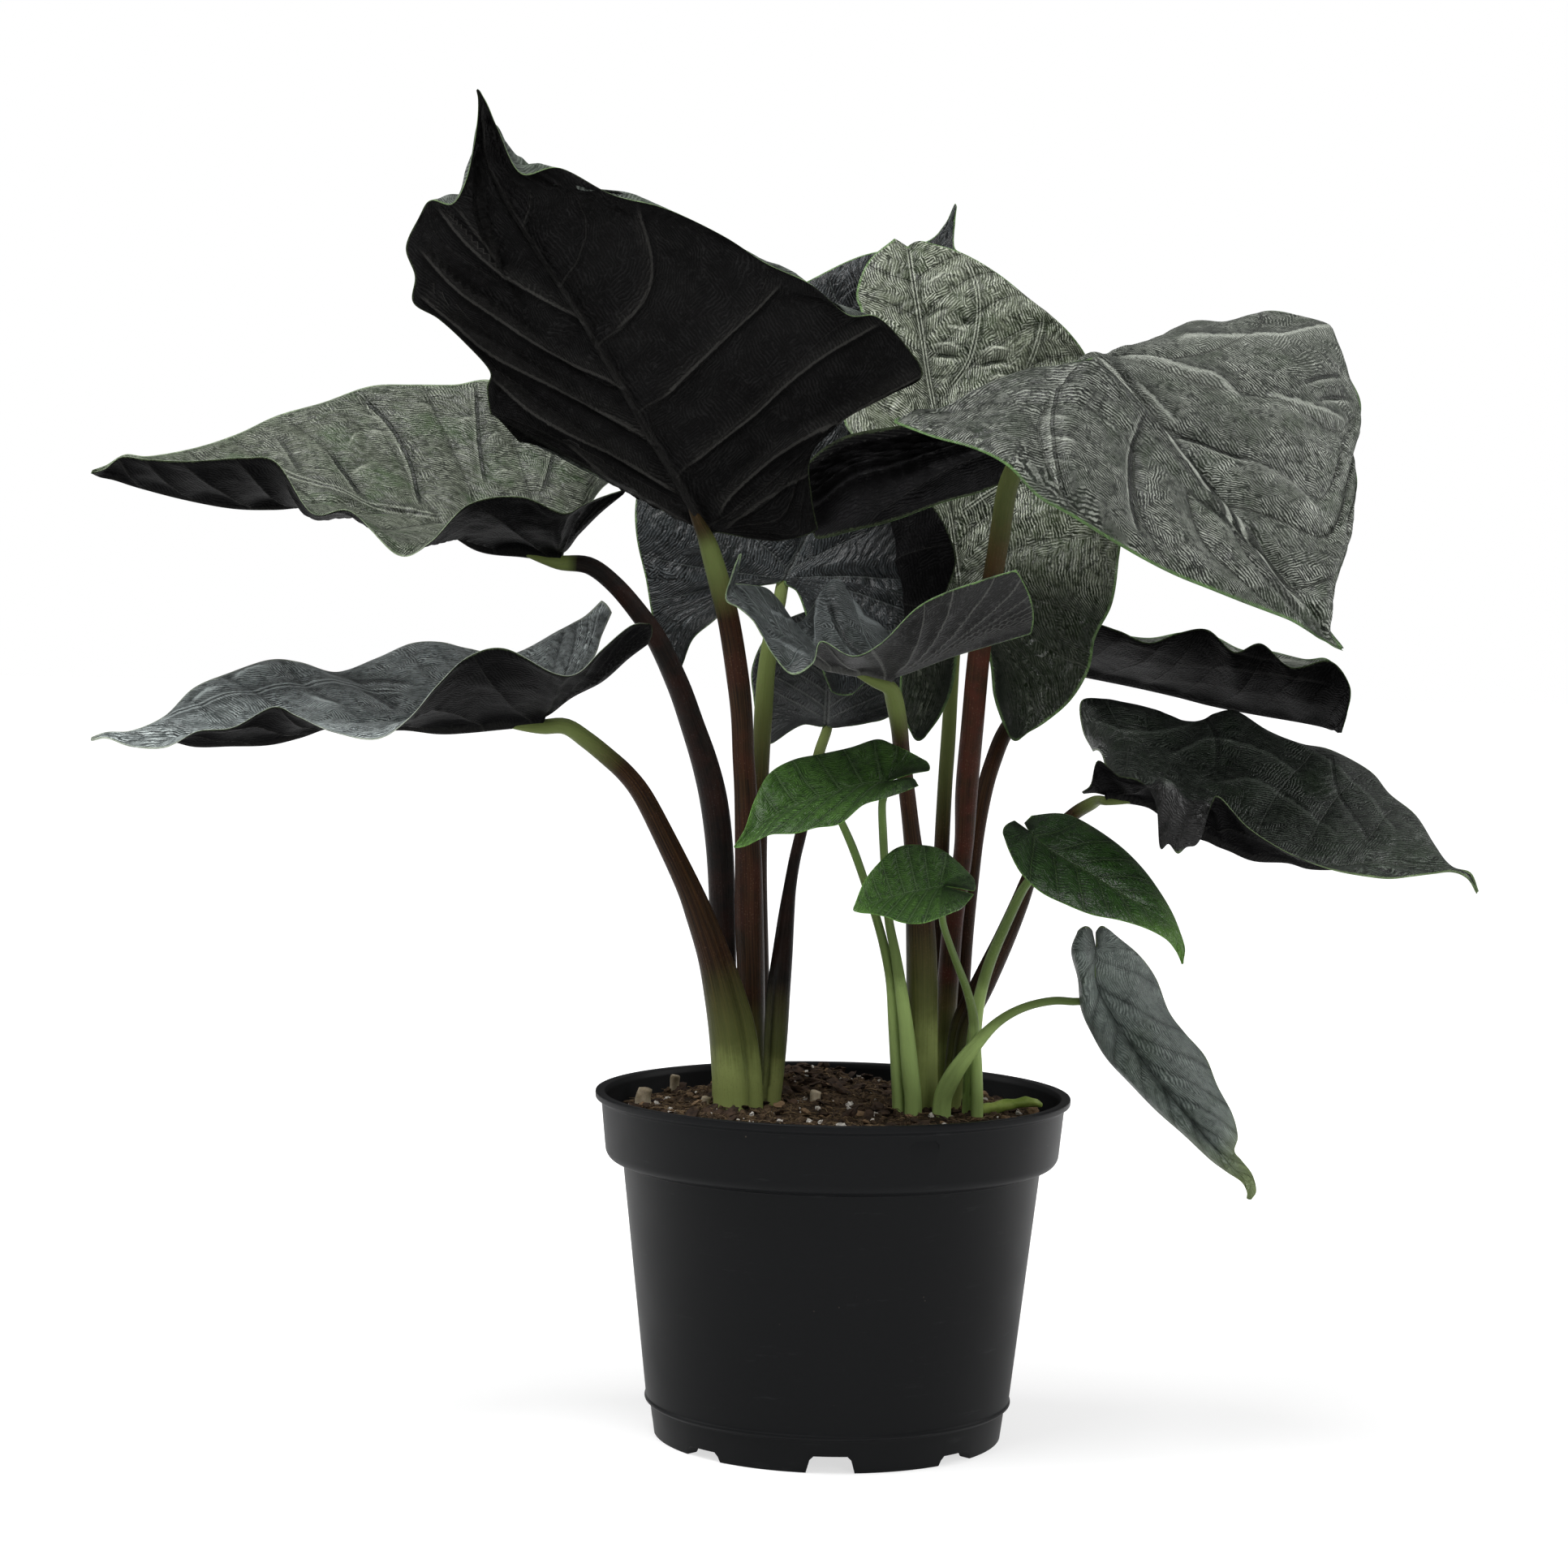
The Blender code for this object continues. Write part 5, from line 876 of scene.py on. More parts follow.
    # average the midrib normals and heights of both halves
    off0, off1 = halves[0][1], halves[1][1]
    n_ax = len(halves[0][0]) - off0
    a0, a1 = data[0][1][off0:, 0], data[1][1][off1:, 0]
    avg = a0 + a1
    avg /= np.maximum(np.linalg.norm(avg, axis=1, keepdims=True), 1e-9)
    data[0][1][off0:, 0] = avg
    data[1][1][off1:, 0] = avg
    # the normals turn smoothly over the first columns beside the midrib
    for side in (0, 1):
        N = data[side][1]
        o = (off0, off1)[side]
        rib = data[side][5]
        k = np.exp(-(rib[o:] / 1.5) ** 2)[..., None]
        Nn = N[o:] * (1 - k) + avg[:, None] * k
        N[o:] = Nn / np.maximum(np.linalg.norm(Nn, axis=2, keepdims=True), 1e-9)
        data[side][1] = N
    hm = (data[0][2][off0:, 0] + data[1][2][off1:, 0]) / 2
    lm = np.maximum(data[0][3][off0:, 0], data[1][3][off1:, 0])
    for side, o in ((0, off0), (1, off1)):
        data[side][2][o:, 0] = hm
        data[side][3][o:, 0] = lm
    up_id, lo_id = [], []
    for side in (0, 1):
        P, N, h, lower, s, rib, edge, tau, spacing, in_lobe = data[side]
        N = N * (sgn if True else 1)
        nr, nc = P.shape[:2]
        o = (off0, off1)[side]
        thick = BLADE_HALF * (0.35 + 0.65 * smoothstep(edge, 0.0, 1.2))
        up = P + N * (h + thick)[..., None]
        lo = P + N * (h - thick - lower)[..., None]
        rf, cf, mf = (fields[side][k] for k in ('ridge', 'crease', 'rib'))
        ui = np.empty((nr, nc), int)
        li = np.empty((nr, nc), int)
        for i in range(nr):
            for j in range(nc):
                if side == 1 and j == 0 and i >= o:
                    ui[i, j] = up_id[0][off0 + i - o, 0]
                    li[i, j] = lo_id[0][off0 + i - o, 0]
                    continue
                if j > 0 and i == nr - 1:
                    pass
                ui[i, j] = len(verts)
                verts.append(up[i, j])
                li[i, j] = len(verts)
                verts.append(lo[i, j])
                for _ in (0, 1):
                    S.append(s[i, j]); R.append(rib[i, j]); E.append(edge[i, j] / (margin_far if side == 1 else 1.0)); T.append(tau[i, j]); SP.append(spacing[i, j])
                    SIDE.append(1.0 if side == 0 else 0.0)
                    FD['rd'].append(rf[0][i, j]); FD['rw'].append(rf[1][i, j]); FD['cd'].append(cf[0][i, j]); FD['cw'].append(cf[1][i, j])
                    FD['md'].append(mf[0][i, j]); FD['mw'].append(mf[1][i, j])
        up_id.append(ui)
        lo_id.append(li)
    faces, mi = [], []
    for side in (0, 1):
        ui, li = up_id[side], lo_id[side]
        nr, nc = ui.shape
        fwd = (side == 0) == (sgn > 0)
        o = (off0, off1)[side]
        for i in range(nr - 1):
            for j in range(nc - 1):
                q = (ui[i, j], ui[i + 1, j], ui[i + 1, j + 1], ui[i, j + 1])
                r = (li[i, j], li[i, j + 1], li[i + 1, j + 1], li[i + 1, j])
                if not fwd:
                    q, r = q[::-1], r[::-1]
                faces.append(tuple(int(x) for x in q)); mi.append(0)
                faces.append(tuple(int(x) for x in r)); mi.append(1)
        border = [(i, nc - 1) for i in range(nr)]
        loops = []
        loops.append([(i, nc - 1) for i in range(nr)])                        # outer margin, lobe end to tip
        loops.append([(nr - 1, j) for j in range(nc - 1, -1, -1)])            # tip row
        if o > 0:
            loops.append([(0, j) for j in range(0, nc)])                      # lobe end
            loops.append([(i, 0) for i in range(o, -1, -1)])                  # inner lobe margin
        else:
            loops.append([(0, j) for j in range(0, nc)])
        for lp in loops:
            for a, b in zip(lp[:-1], lp[1:]):
                q = (ui[a], ui[b], li[b], li[a])
                if not fwd:
                    q = q[::-1]
                faces.append(tuple(int(x) for x in q)); mi.append(0)
    extra = dict(FD) if name in FOLDS else {}
    if name in DEAD:
        # dead black tissue along the torn stretch, given as picture points with a reach in pixels
        pic = picture(np.array(verts))
        dn = np.zeros(len(verts))
        for px, py, reach in DEAD[name]:
            d = np.hypot(pic[:, 0] - px, pic[:, 1] - py)
            dn = np.maximum(dn, 1 - smoothstep(d, reach * 0.8, reach * 1.1))
        side_id = np.array(SIDE)
        extra['dead'] = list(dn * side_id)
    ob = make('leaf_' + name[6:], verts, faces, mats, mat_index=mi,
              attrs=dict(vs=S, rib=R, edge=E, tau=T, spacing=SP, **extra), replaces=(name,))
    # the way down from the leaf base, for the end of its stalk
    DOWN[name] = tuple(-(data[0][1][off0, 0] * sgn))
    return ob

# ---------------------------------------------------------------- leaf materials
def maze(nt, vec, rib, fr, dist, period=0.92, warp=1.5, bow_amt=2.6, turn=0.5):
    """Fine embossed lines about a millimetre apart: across the fields between the side veins, and in patches
    along them; 0 in a groove, 1 on a ridge."""
    w1 = mth(nt, 'MULTIPLY', noi(nt, vec, 90.0, 2.0), warp * 2.2)
    w2 = mth(nt, 'MULTIPLY', noi(nt, vec, 420.0, 2.0, 0.65), warp)
    w = mth(nt, 'ADD', w1, w2)
    bow = mth(nt, 'MULTIPLY', mth(nt, 'POWER', fr, 1.4), bow_amt * 1.5)
    ph = mth(nt, 'ADD', mth(nt, 'ADD', mth(nt, 'DIVIDE', rib, period), bow), w)
    pd = mth(nt, 'ADD', mth(nt, 'ADD', mth(nt, 'DIVIDE', dist, period), mth(nt, 'MULTIPLY', rib, 0.10)), w)
    la = rng(nt, mth(nt, 'PINGPONG', ph, 0.5), 0.14, 0.34)
    lb = rng(nt, mth(nt, 'PINGPONG', pd, 0.5), 0.14, 0.34)
    pick = rng(nt, noi(nt, vec, 70.0, 2.0, 0.6, 0.8), turn - 0.03, turn + 0.03)
    return mixf(nt, pick, la, lb)


def scale_col(c, k, add=0.0):
    return tuple(min(1.0, x * k + add) for x in c)


def leaf_upper(name, dark, light, vein, margin, silver=0.5, vein_mm=0.45, vein_amt=0.8, minor=0.5,
               rough=0.45, sheen=0.04, sheen_tint=(0.75, 0.85, 0.8), green=(0.03, 0.055, 0.02), green_amt=0.3,
               margin_mm=0.7, tip_amt=0.0, bump_mm=0.32, spec=0.28, wrinkle=0.5, flank=0.35, lobe_dark=0.0,
               edge_green=0.0, shade_amt=0.5, mid_mm=1.15, patch=0.5, dead=False, grain=0.5,
               lobe_from=0.10, lobe_to=-0.10, twin=0.0, period=0.98, turn=0.56, pits=0.35, fold=4.2, bright=None, deep=None,
               lobe_lines=0.0, pair_amt=0.85, lobe_col=None, glint_amt=0.25):
    m, nt, b = new_mat(name, Roughness=rough, Sheen_Weight=sheen, Sheen_Roughness=0.45, Specular=spec)
    b.inputs['Sheen Tint'].default_value = (*sheen_tint, 1)
    vs, rib, edge, tau, sp = (attr(nt, k) for k in ('vs', 'rib', 'edge', 'tau', 'spacing'))
    vec = place(nt)
    fr = mth(nt, 'PINGPONG', vs, 0.5)
    dist = mth(nt, 'MULTIPLY', fr, sp)
    bright = bright or scale_col(light, 1.9, 0.015)
    deep = deep or scale_col(dark, 0.4)
    n_big = noi(nt, vec, 34.0, 3.0, 0.6)
    n_mid = noi(nt, vec, 150.0, 4.0, 0.65)
    n_fine = noi(nt, vec, 1500.0, 2.0, 0.6)
    # fingerprint of fine ridges, and coarser wrinkles across the blade between the side veins
    mz = maze(nt, vec, rib, fr, dist, period, turn=turn)
    wp = mth(nt, 'ADD', mth(nt, 'DIVIDE', rib, fold), mth(nt, 'MULTIPLY', noi(nt, vec, 60.0, 2.5), 5.0))
    wp = mth(nt, 'ADD', wp, mth(nt, 'MULTIPLY', mth(nt, 'POWER', fr, 1.3), 2.2))
    wr = rng(nt, mth(nt, 'PINGPONG', wp, 0.5), 0.05, 0.42)
    cell = rng(nt, vor(nt, vec, 900.0, 'F1'), 0.20, 0.48)
    mzc = mth(nt, 'MULTIPLY', mz, mth(nt, 'MULTIPLY_ADD', cell, pits, 1.0 - pits))
    where = rng(nt, mth(nt, 'ADD', mth(nt, 'MULTIPLY', n_mid, 0.6), mth(nt, 'MULTIPLY', noi(nt, vec, 46.0, 2.0), 0.4)), 0.38, 0.62, 0.25, 1.0)
    # side veins and midrib
    wv = mth(nt, 'MULTIPLY_ADD', rib, -0.006, vein_mm)
    wv = mth(nt, 'MAXIMUM', wv, vein_mm * 0.45)
    line = rng(nt, mth(nt, 'DIVIDE', dist, wv), 1.35, 0.5, 0.0, 1.0)
    line = mth(nt, 'MULTIPLY', line, rng(nt, sp, 1.5, 4.0))
    tl = mth(nt, 'SUBTRACT', 1.0, mth(nt, 'MULTIPLY', mth(nt, 'MAXIMUM', tau, 0.0), 0.6))
    mid_w = mth(nt, 'MULTIPLY', tl, mid_mm)
    rr = mth(nt, 'DIVIDE', rib, mid_w)
    midl = rng(nt, rr, 1.25, 0.75, 0.0, 1.0)
    lobe = rng(nt, tau, -0.02, 0.0, 0.0, 1.0)
    midl = mth(nt, 'MULTIPLY', midl, lobe)
    groove = mth(nt, 'MULTIPLY', rng(nt, rr, 0.45, 0.1), lobe)
    # colour
    # silver patches are the leaf's own colour; the lift away from the side veins and along the wrinkle crests is
    # painted highlight on the bulges
    silver_and_bulge_highlight = mth(nt, 'MULTIPLY_ADD', rng(nt, n_big, 0.34, 0.66), patch, silver - patch * 0.5)
    silver_and_bulge_highlight = mth(nt, 'ADD', silver_and_bulge_highlight, mth(nt, 'MULTIPLY', rng(nt, fr, 0.02, 0.3), 0.24))
    silver_and_bulge_highlight = mth(nt, 'ADD', silver_and_bulge_highlight, mth(nt, 'MULTIPLY', mth(nt, 'SUBTRACT', wr, 0.5), wrinkle), clamp=True)
    col = mixc(nt, silver_and_bulge_highlight, dark, light)
    # painted highlight: a lighter band along both sides of each side vein
    flank_highlight = mth(nt, 'MULTIPLY', rng(nt, dist, 1.0, 2.4), rng(nt, dist, 6.0, 3.0))
    flank_highlight = mth(nt, 'MULTIPLY', mth(nt, 'MULTIPLY', flank_highlight, rng(nt, sp, 6.0, 12.0)), flank)
    col = mixc(nt, mth(nt, 'MULTIPLY', flank_highlight, rng(nt, n_mid, 0.4, 0.6)), col, scale_col(light, 1.45, 0.01))
    g_f = mth(nt, 'MULTIPLY', rng(nt, noi(nt, vec, 58.0, 4.0, 0.6), 0.47, 0.64), green_amt)
    if edge_green:
        g_f = mth(nt, 'MAXIMUM', g_f, mth(nt, 'MULTIPLY', rng(nt, mth(nt, 'ADD', edge, mth(nt, 'MULTIPLY', n_mid, 8.0)), 13.0, 3.0), edge_green))
    col = mixc(nt, g_f, col, green)
    shade = rng(nt, dist, 0.2, 2.4, shade_amt, 0.0)
    col = mixc(nt, shade, col, scale_col(dark, 0.6))
    # painted shade: the blade turns darker towards its base and basal lobes
    if lobe_dark:
        col = mixc(nt, rng(nt, tau, lobe_from, lobe_to, 0.0, lobe_dark), col, lobe_col or dark)
    # painted shade in the grooves and pits, painted highlight where the ridges catch the light
    n_grain = noi(nt, vec, 430.0, 2.0, 0.7)
    gr = rng(nt, n_grain, 0.32, 0.55, 0.15, 1.0)
    ridge_f = mth(nt, 'MULTIPLY', mth(nt, 'MULTIPLY', mz, gr), mth(nt, 'MULTIPLY', where, minor))
    # fewer lit ridge lines in the painted shade towards the base
    if lobe_dark:
        ridge_f = mth(nt, 'MULTIPLY', ridge_f, rng(nt, tau, lobe_from, lobe_to, 1.0, 1.0 - lobe_lines))
    col = mixc(nt, ridge_f, col, bright)
    col = mixc(nt, mth(nt, 'MULTIPLY', mth(nt, 'SUBTRACT', 1.0, mzc), mth(nt, 'MULTIPLY', mth(nt, 'MULTIPLY', where, rng(nt, n_grain, 0.72, 0.46, 0.1, 1.0)), min(1.0, minor * 1.2))), col, deep)
    col = mixc(nt, rng(nt, n_grain, 0.47, 0.30, 0.0, grain), col, scale_col(dark, 0.5))
    # painted glints: fine light specks over the velvet
    painted_glint = rng(nt, n_fine, 0.62, 0.82, 0.0, glint_amt)
    # fewer glints in the painted shade towards the base
    if lobe_dark:
        painted_glint = mth(nt, 'MULTIPLY', painted_glint, rng(nt, tau, lobe_from, lobe_to, 1.0, 1.0 - lobe_lines))
    col = mixc(nt, painted_glint, col, scale_col(light, 1.8, 0.02))
    col = mixc(nt, mth(nt, 'MULTIPLY', line, vein_amt), col, vein)
    if twin:
        core = mth(nt, 'MULTIPLY', rng(nt, mth(nt, 'DIVIDE', dist, wv), 0.55, 0.25), rng(nt, sp, 1.5, 4.0))
        col = mixc(nt, mth(nt, 'MULTIPLY', core, twin), col, scale_col(dark, 0.5))
    col = mixc(nt, mth(nt, 'MULTIPLY', midl, min(1.0, vein_amt + 0.15)), col, vein)
    col = mixc(nt, mth(nt, 'MULTIPLY', groove, 0.9), col, scale_col(dark, 0.6))
    mg = rng(nt, mth(nt, 'ADD', edge, mth(nt, 'MULTIPLY', mth(nt, 'SUBTRACT', n_fine, 0.5), 1.2)), margin_mm, margin_mm * 0.3)
    mg = mth(nt, 'MULTIPLY', mg, rng(nt, n_mid, 0.3, 0.55, 0.35, 1.0))
    col = mixc(nt, mg, col, margin)
    if tip_amt:
        tip = mth(nt, 'MULTIPLY', rng(nt, tau, 0.55, 1.0, 0.0, 1.0), rng(nt, mth(nt, 'ADD', edge, mth(nt, 'MULTIPLY', n_mid, 4.0)), 12.0, 2.0))
        col = mixc(nt, mth(nt, 'MULTIPLY', tip, tip_amt), col, margin)
    # folds: a painted highlight along the edge, painted light on one side and painted shade on the other; creases: a
    # dark line of painted shade with a painted highlight on the pale lip
    rd, rw, cd, cw = (attr(nt, k) for k in ('rd', 'rw', 'cd', 'cw'))
    shake = mth(nt, 'MULTIPLY', mth(nt, 'SUBTRACT', n_grain, 0.5), 1.6)
    rj, cj = mth(nt, 'ADD', rd, shake), mth(nt, 'ADD', cd, mth(nt, 'MULTIPLY', shake, 0.5))
    lit = mth(nt, 'MULTIPLY', rng(nt, mth(nt, 'ABSOLUTE', rj), 0.85, 0.2), rw)
    soft = mth(nt, 'MULTIPLY', mth(nt, 'MULTIPLY', rng(nt, rd, -0.4, 0.2), rng(nt, rd, 4.6, 0.8)), rw)
    dim = mth(nt, 'MULTIPLY', mth(nt, 'MULTIPLY', rng(nt, rd, 0.1, -0.6), rng(nt, rd, -4.2, -0.9)), rw)
    col = mixc(nt, mth(nt, 'MULTIPLY', soft, mth(nt, 'MULTIPLY_ADD', mz, 0.35, 0.15)), col, bright)
    col = mixc(nt, mth(nt, 'MULTIPLY', dim, 0.6), col, deep)
    col = mixc(nt, mth(nt, 'MULTIPLY', lit, 0.75), col, scale_col(bright, 1.25))
    crease_shade_line = mth(nt, 'MULTIPLY', rng(nt, mth(nt, 'ABSOLUTE', cj), 0.75, 0.3), cw)
    lip = mth(nt, 'MULTIPLY', mth(nt, 'MULTIPLY', rng(nt, cj, 0.5, 0.8), rng(nt, cj, 2.2, 1.0)), cw)
    crease_side_shade = mth(nt, 'MULTIPLY', mth(nt, 'MULTIPLY', rng(nt, cd, 0.2, -0.3), rng(nt, cd, -3.4, -0.5)), cw)
    col = mixc(nt, mth(nt, 'MULTIPLY', crease_side_shade, 0.55), col, deep)
    col = mixc(nt, mth(nt, 'MULTIPLY', lip, mth(nt, 'MULTIPLY_ADD', mz, 0.6, 0.2)), col, bright)
    col = mixc(nt, mth(nt, 'MULTIPLY', crease_shade_line, 0.9), col, deep)
    # ribs seen as two pale lines with a dark groove between them, and a band of painted shade beside them
    md, mw = attr(nt, 'md'), attr(nt, 'mw')
    am = mth(nt, 'ABSOLUTE', mth(nt, 'ADD', md, mth(nt, 'MULTIPLY', shake, 0.12)))
    pair = mth(nt, 'MULTIPLY', rng(nt, mth(nt, 'ABSOLUTE', mth(nt, 'SUBTRACT', am, 0.50)), 0.30, 0.10), mw)
    between = mth(nt, 'MULTIPLY', rng(nt, am, 0.34, 0.16), mw)
    rib_side_shade = mth(nt, 'MULTIPLY', mth(nt, 'MULTIPLY', rng(nt, am, 0.65, 0.90), rng(nt, am, 3.4, 1.1)), mw)
    col = mixc(nt, mth(nt, 'MULTIPLY', rib_side_shade, 0.55), col, deep)
    col = mixc(nt, mth(nt, 'MULTIPLY', pair, pair_amt), col, bright)
    col = mixc(nt, mth(nt, 'MULTIPLY', between, 0.85), col, deep)
    if dead:
        col = mixc(nt, attr(nt, 'dead'), col, (0.0035, 0.0033, 0.0030))
    nt.links.new(col, b.inputs['Base Color'])
    # relief: veins sunken, ridges raised, short hairs
    h = mth(nt, 'MULTIPLY', mzc, 0.9)
    h = mth(nt, 'ADD', h, mth(nt, 'MULTIPLY', wr, 1.1 * wrinkle))
    h = mth(nt, 'ADD', h, mth(nt, 'MULTIPLY', line, -1.2))
    h = mth(nt, 'ADD', h, mth(nt, 'MULTIPLY', mth(nt, 'SUBTRACT', lit, crease_shade_line), 1.5))
    h = mth(nt, 'ADD', h, mth(nt, 'MULTIPLY', n_mid, 1.4))
    h = mth(nt, 'ADD', h, mth(nt, 'MULTIPLY', n_fine, 0.4))
    bump(nt, b, h, bump_mm * MM, 1.0)
    return m


def leaf_lower(name, dark, vein, margin, rough=0.5, sheen=0.0, minor=0.35, margin_mm=0.6, bump_mm=0.3,
               vein_amt=0.7, spec=0.08, sheen_tint=(0.8, 0.8, 0.85), base_amt=0.0, vein_mm=0.5, base=(0.16, 0.22, 0.07),
               hairs=0.22, fold_amt=0.0):
    m, nt, b = new_mat(name, Roughness=rough, Sheen_Weight=sheen, Sheen_Roughness=0.5, Specular=spec)
    b.inputs['Sheen Tint'].default_value = (*sheen_tint, 1)
    vs, rib, edge, tau, sp = (attr(nt, k) for k in ('vs', 'rib', 'edge', 'tau', 'spacing'))
    vec = place(nt)
    fr = mth(nt, 'PINGPONG', vs, 0.5)
    dist = mth(nt, 'MULTIPLY', fr, sp)
    n_big = noi(nt, vec, 30.0, 3.0, 0.6)
    n_mid = noi(nt, vec, 150.0, 4.0, 0.65)
    n_fine = noi(nt, vec, 1300.0, 2.0, 0.6)
    mz = maze(nt, vec, rib, fr, dist, 1.2)
    where = rng(nt, n_mid, 0.40, 0.62, 0.15, 1.0)
    wv = mth(nt, 'MAXIMUM', mth(nt, 'MULTIPLY_ADD', rib, -0.007, vein_mm), vein_mm * 0.4)
    line = rng(nt, mth(nt, 'DIVIDE', dist, wv), 1.5, 0.4)
    line = mth(nt, 'MULTIPLY', line, rng(nt, sp, 1.5, 4.0))
    tl = mth(nt, 'SUBTRACT', 1.0, mth(nt, 'MULTIPLY', mth(nt, 'MAXIMUM', tau, 0.0), 0.7))
    rr = mth(nt, 'DIVIDE', rib, mth(nt, 'MULTIPLY', tl, 1.9))
    lobe = rng(nt, tau, -0.02, 0.0)
    midl = mth(nt, 'MULTIPLY', rng(nt, rr, 1.15, 0.7), lobe)
    col = mixc(nt, rng(nt, n_big, 0.35, 0.7, 0.0, 0.7), dark, scale_col(dark, 2.0, 0.002))
    col = mixc(nt, mth(nt, 'MULTIPLY', mth(nt, 'MULTIPLY', mz, where), minor), col, scale_col(dark, 2.6, 0.012))
    n_grain = noi(nt, vec, 620.0, 2.0, 0.7)
    col = mixc(nt, rng(nt, n_grain, 0.54, 0.74, 0.0, hairs), col, scale_col(dark, 3.2, 0.025))
    col = mixc(nt, rng(nt, n_fine, 0.58, 0.80, 0.0, hairs), col, scale_col(dark, 3.2, 0.03))
    lv = mth(nt, 'MULTIPLY', line, rng(nt, n_fine, 0.3, 0.6, 0.45, 1.0))
    col = mixc(nt, mth(nt, 'MULTIPLY', lv, vein_amt), col, vein)
    col = mixc(nt, mth(nt, 'MULTIPLY', midl, vein_amt * 0.6), col, vein)
    if fold_amt:
        # the ribs that stand out of the underside: a pale line, painted shadow below it and painted light above it
        rd, rw = attr(nt, 'rd'), attr(nt, 'rw')
        rj = mth(nt, 'ADD', rd, mth(nt, 'MULTIPLY', mth(nt, 'SUBTRACT', n_grain, 0.5), 0.9))
        above = mth(nt, 'MULTIPLY', mth(nt, 'MULTIPLY', rng(nt, rd, 0.0, -0.6), rng(nt, rd, -5.0, -0.8)), rw)
        below = mth(nt, 'MULTIPLY', mth(nt, 'MULTIPLY', rng(nt, rd, 0.2, 0.7), rng(nt, rd, 3.2, 0.9)), rw)
        spot = rng(nt, n_fine, 0.40, 0.66)
        col = mixc(nt, mth(nt, 'MULTIPLY', mth(nt, 'MULTIPLY', above, mth(nt, 'MULTIPLY_ADD', mth(nt, 'MULTIPLY', spot, mz), 0.7, 0.3)), 0.45 * fold_amt), col, vein)
        col = mixc(nt, mth(nt, 'MULTIPLY', below, 0.8), col, scale_col(dark, 0.35))
        ribl = mth(nt, 'MULTIPLY', rng(nt, mth(nt, 'ABSOLUTE', rj), 0.62, 0.2), rw)
        col = mixc(nt, mth(nt, 'MULTIPLY', ribl, fold_amt), col, vein)
    if base_amt:
        bs = mth(nt, 'MULTIPLY', mth(nt, 'MULTIPLY', rng(nt, tau, 0.10, 0.0), midl), base_amt)
        col = mixc(nt, bs, col, base)
    mg = rng(nt, mth(nt, 'ADD', edge, mth(nt, 'MULTIPLY', mth(nt, 'SUBTRACT', n_fine, 0.5), 1.2)), margin_mm, margin_mm * 0.3)
    mg = mth(nt, 'MULTIPLY', mg, rng(nt, n_mid, 0.3, 0.55, 0.3, 1.0))
    col = mixc(nt, mg, col, margin)
    nt.links.new(col, b.inputs['Base Color'])
    h = mth(nt, 'ADD', mth(nt, 'MULTIPLY', mz, 0.5), mth(nt, 'MULTIPLY', n_mid, 1.6))
    h = mth(nt, 'ADD', h, mth(nt, 'MULTIPLY', line, 0.6))
    h = mth(nt, 'ADD', h, mth(nt, 'MULTIPLY', n_fine, 0.6))
    bump(nt, b, h, bump_mm * MM, 1.0)
    return m

# ---------------------------------------------------------------- the fourteen blades
PALE = (0.115, 0.20, 0.068)
DIM = (0.035, 0.046, 0.024)
under_black = leaf_lower('leaf_underside_black', (0.0016, 0.0015, 0.0017), (0.017, 0.017, 0.016), DIM, minor=0.35, spec=0.03, hairs=0.18, bump_mm=0.5)
under_tall = leaf_lower('leaf_underside_tall', (0.0022, 0.0021, 0.0021), (0.040, 0.039, 0.036), DIM, minor=0.35, spec=0.05, rough=0.5, hairs=0.22, bump_mm=0.5,
                        vein_amt=0.25, fold_amt=0.8)
under_rolled = leaf_lower('leaf_underside_rolled', (0.0012, 0.0012, 0.0012), (0.022, 0.0215, 0.021), DIM, minor=0.30, spec=0.02, hairs=0.12, bump_mm=0.5,
                          vein_amt=0.15, fold_amt=0.6)
under_left = leaf_lower('leaf_underside_charcoal', (0.0012, 0.0012, 0.0013), (0.012, 0.012, 0.011), DIM, minor=0.22, hairs=0.10, spec=0.02)
under_grey = leaf_lower('leaf_underside_grey', (0.0090, 0.0090, 0.0088), (0.090, 0.092, 0.084), PALE, minor=0.50, sheen=0.02,
                        hairs=0.7, vein_mm=0.6)
under_green = leaf_lower('leaf_underside_green', (0.018, 0.040, 0.010), (0.07, 0.11, 0.04), (0.10, 0.17, 0.05), rough=0.4, spec=0.2)

up_silver = leaf_upper('leaf_silver_green', (0.009, 0.014, 0.004), (0.054, 0.064, 0.041), (0.022, 0.026, 0.016), (0.22, 0.28, 0.17),
                       silver=0.40, patch=0.7, grain=0.3, margin_mm=1.1, minor=0.85, vein_amt=0.35, rough=0.38, shade_amt=0.25, bright=(0.235, 0.255, 0.205), deep=(0.003, 0.0055, 0.0022), sheen=0.02, green_amt=0.85, spec=0.34, wrinkle=0.75, flank=1.0, bump_mm=0.42,
                       edge_green=0.6, green=(0.026, 0.058, 0.013))
up_blue = leaf_upper('leaf_blue_grey', (0.014, 0.019, 0.020), (0.165, 0.190, 0.188), (0.080, 0.098, 0.098), (0.30, 0.34, 0.27),
                     silver=0.60, minor=0.85, rough=0.42, green_amt=0.12, wrinkle=0.3, patch=0.4, grain=0.25, vein_amt=0.3, shade_amt=0.25,
                     bright=(0.56, 0.62, 0.61), deep=(0.004, 0.0065, 0.007), sheen=0.02, margin_mm=1.2, pair_amt=0.35)
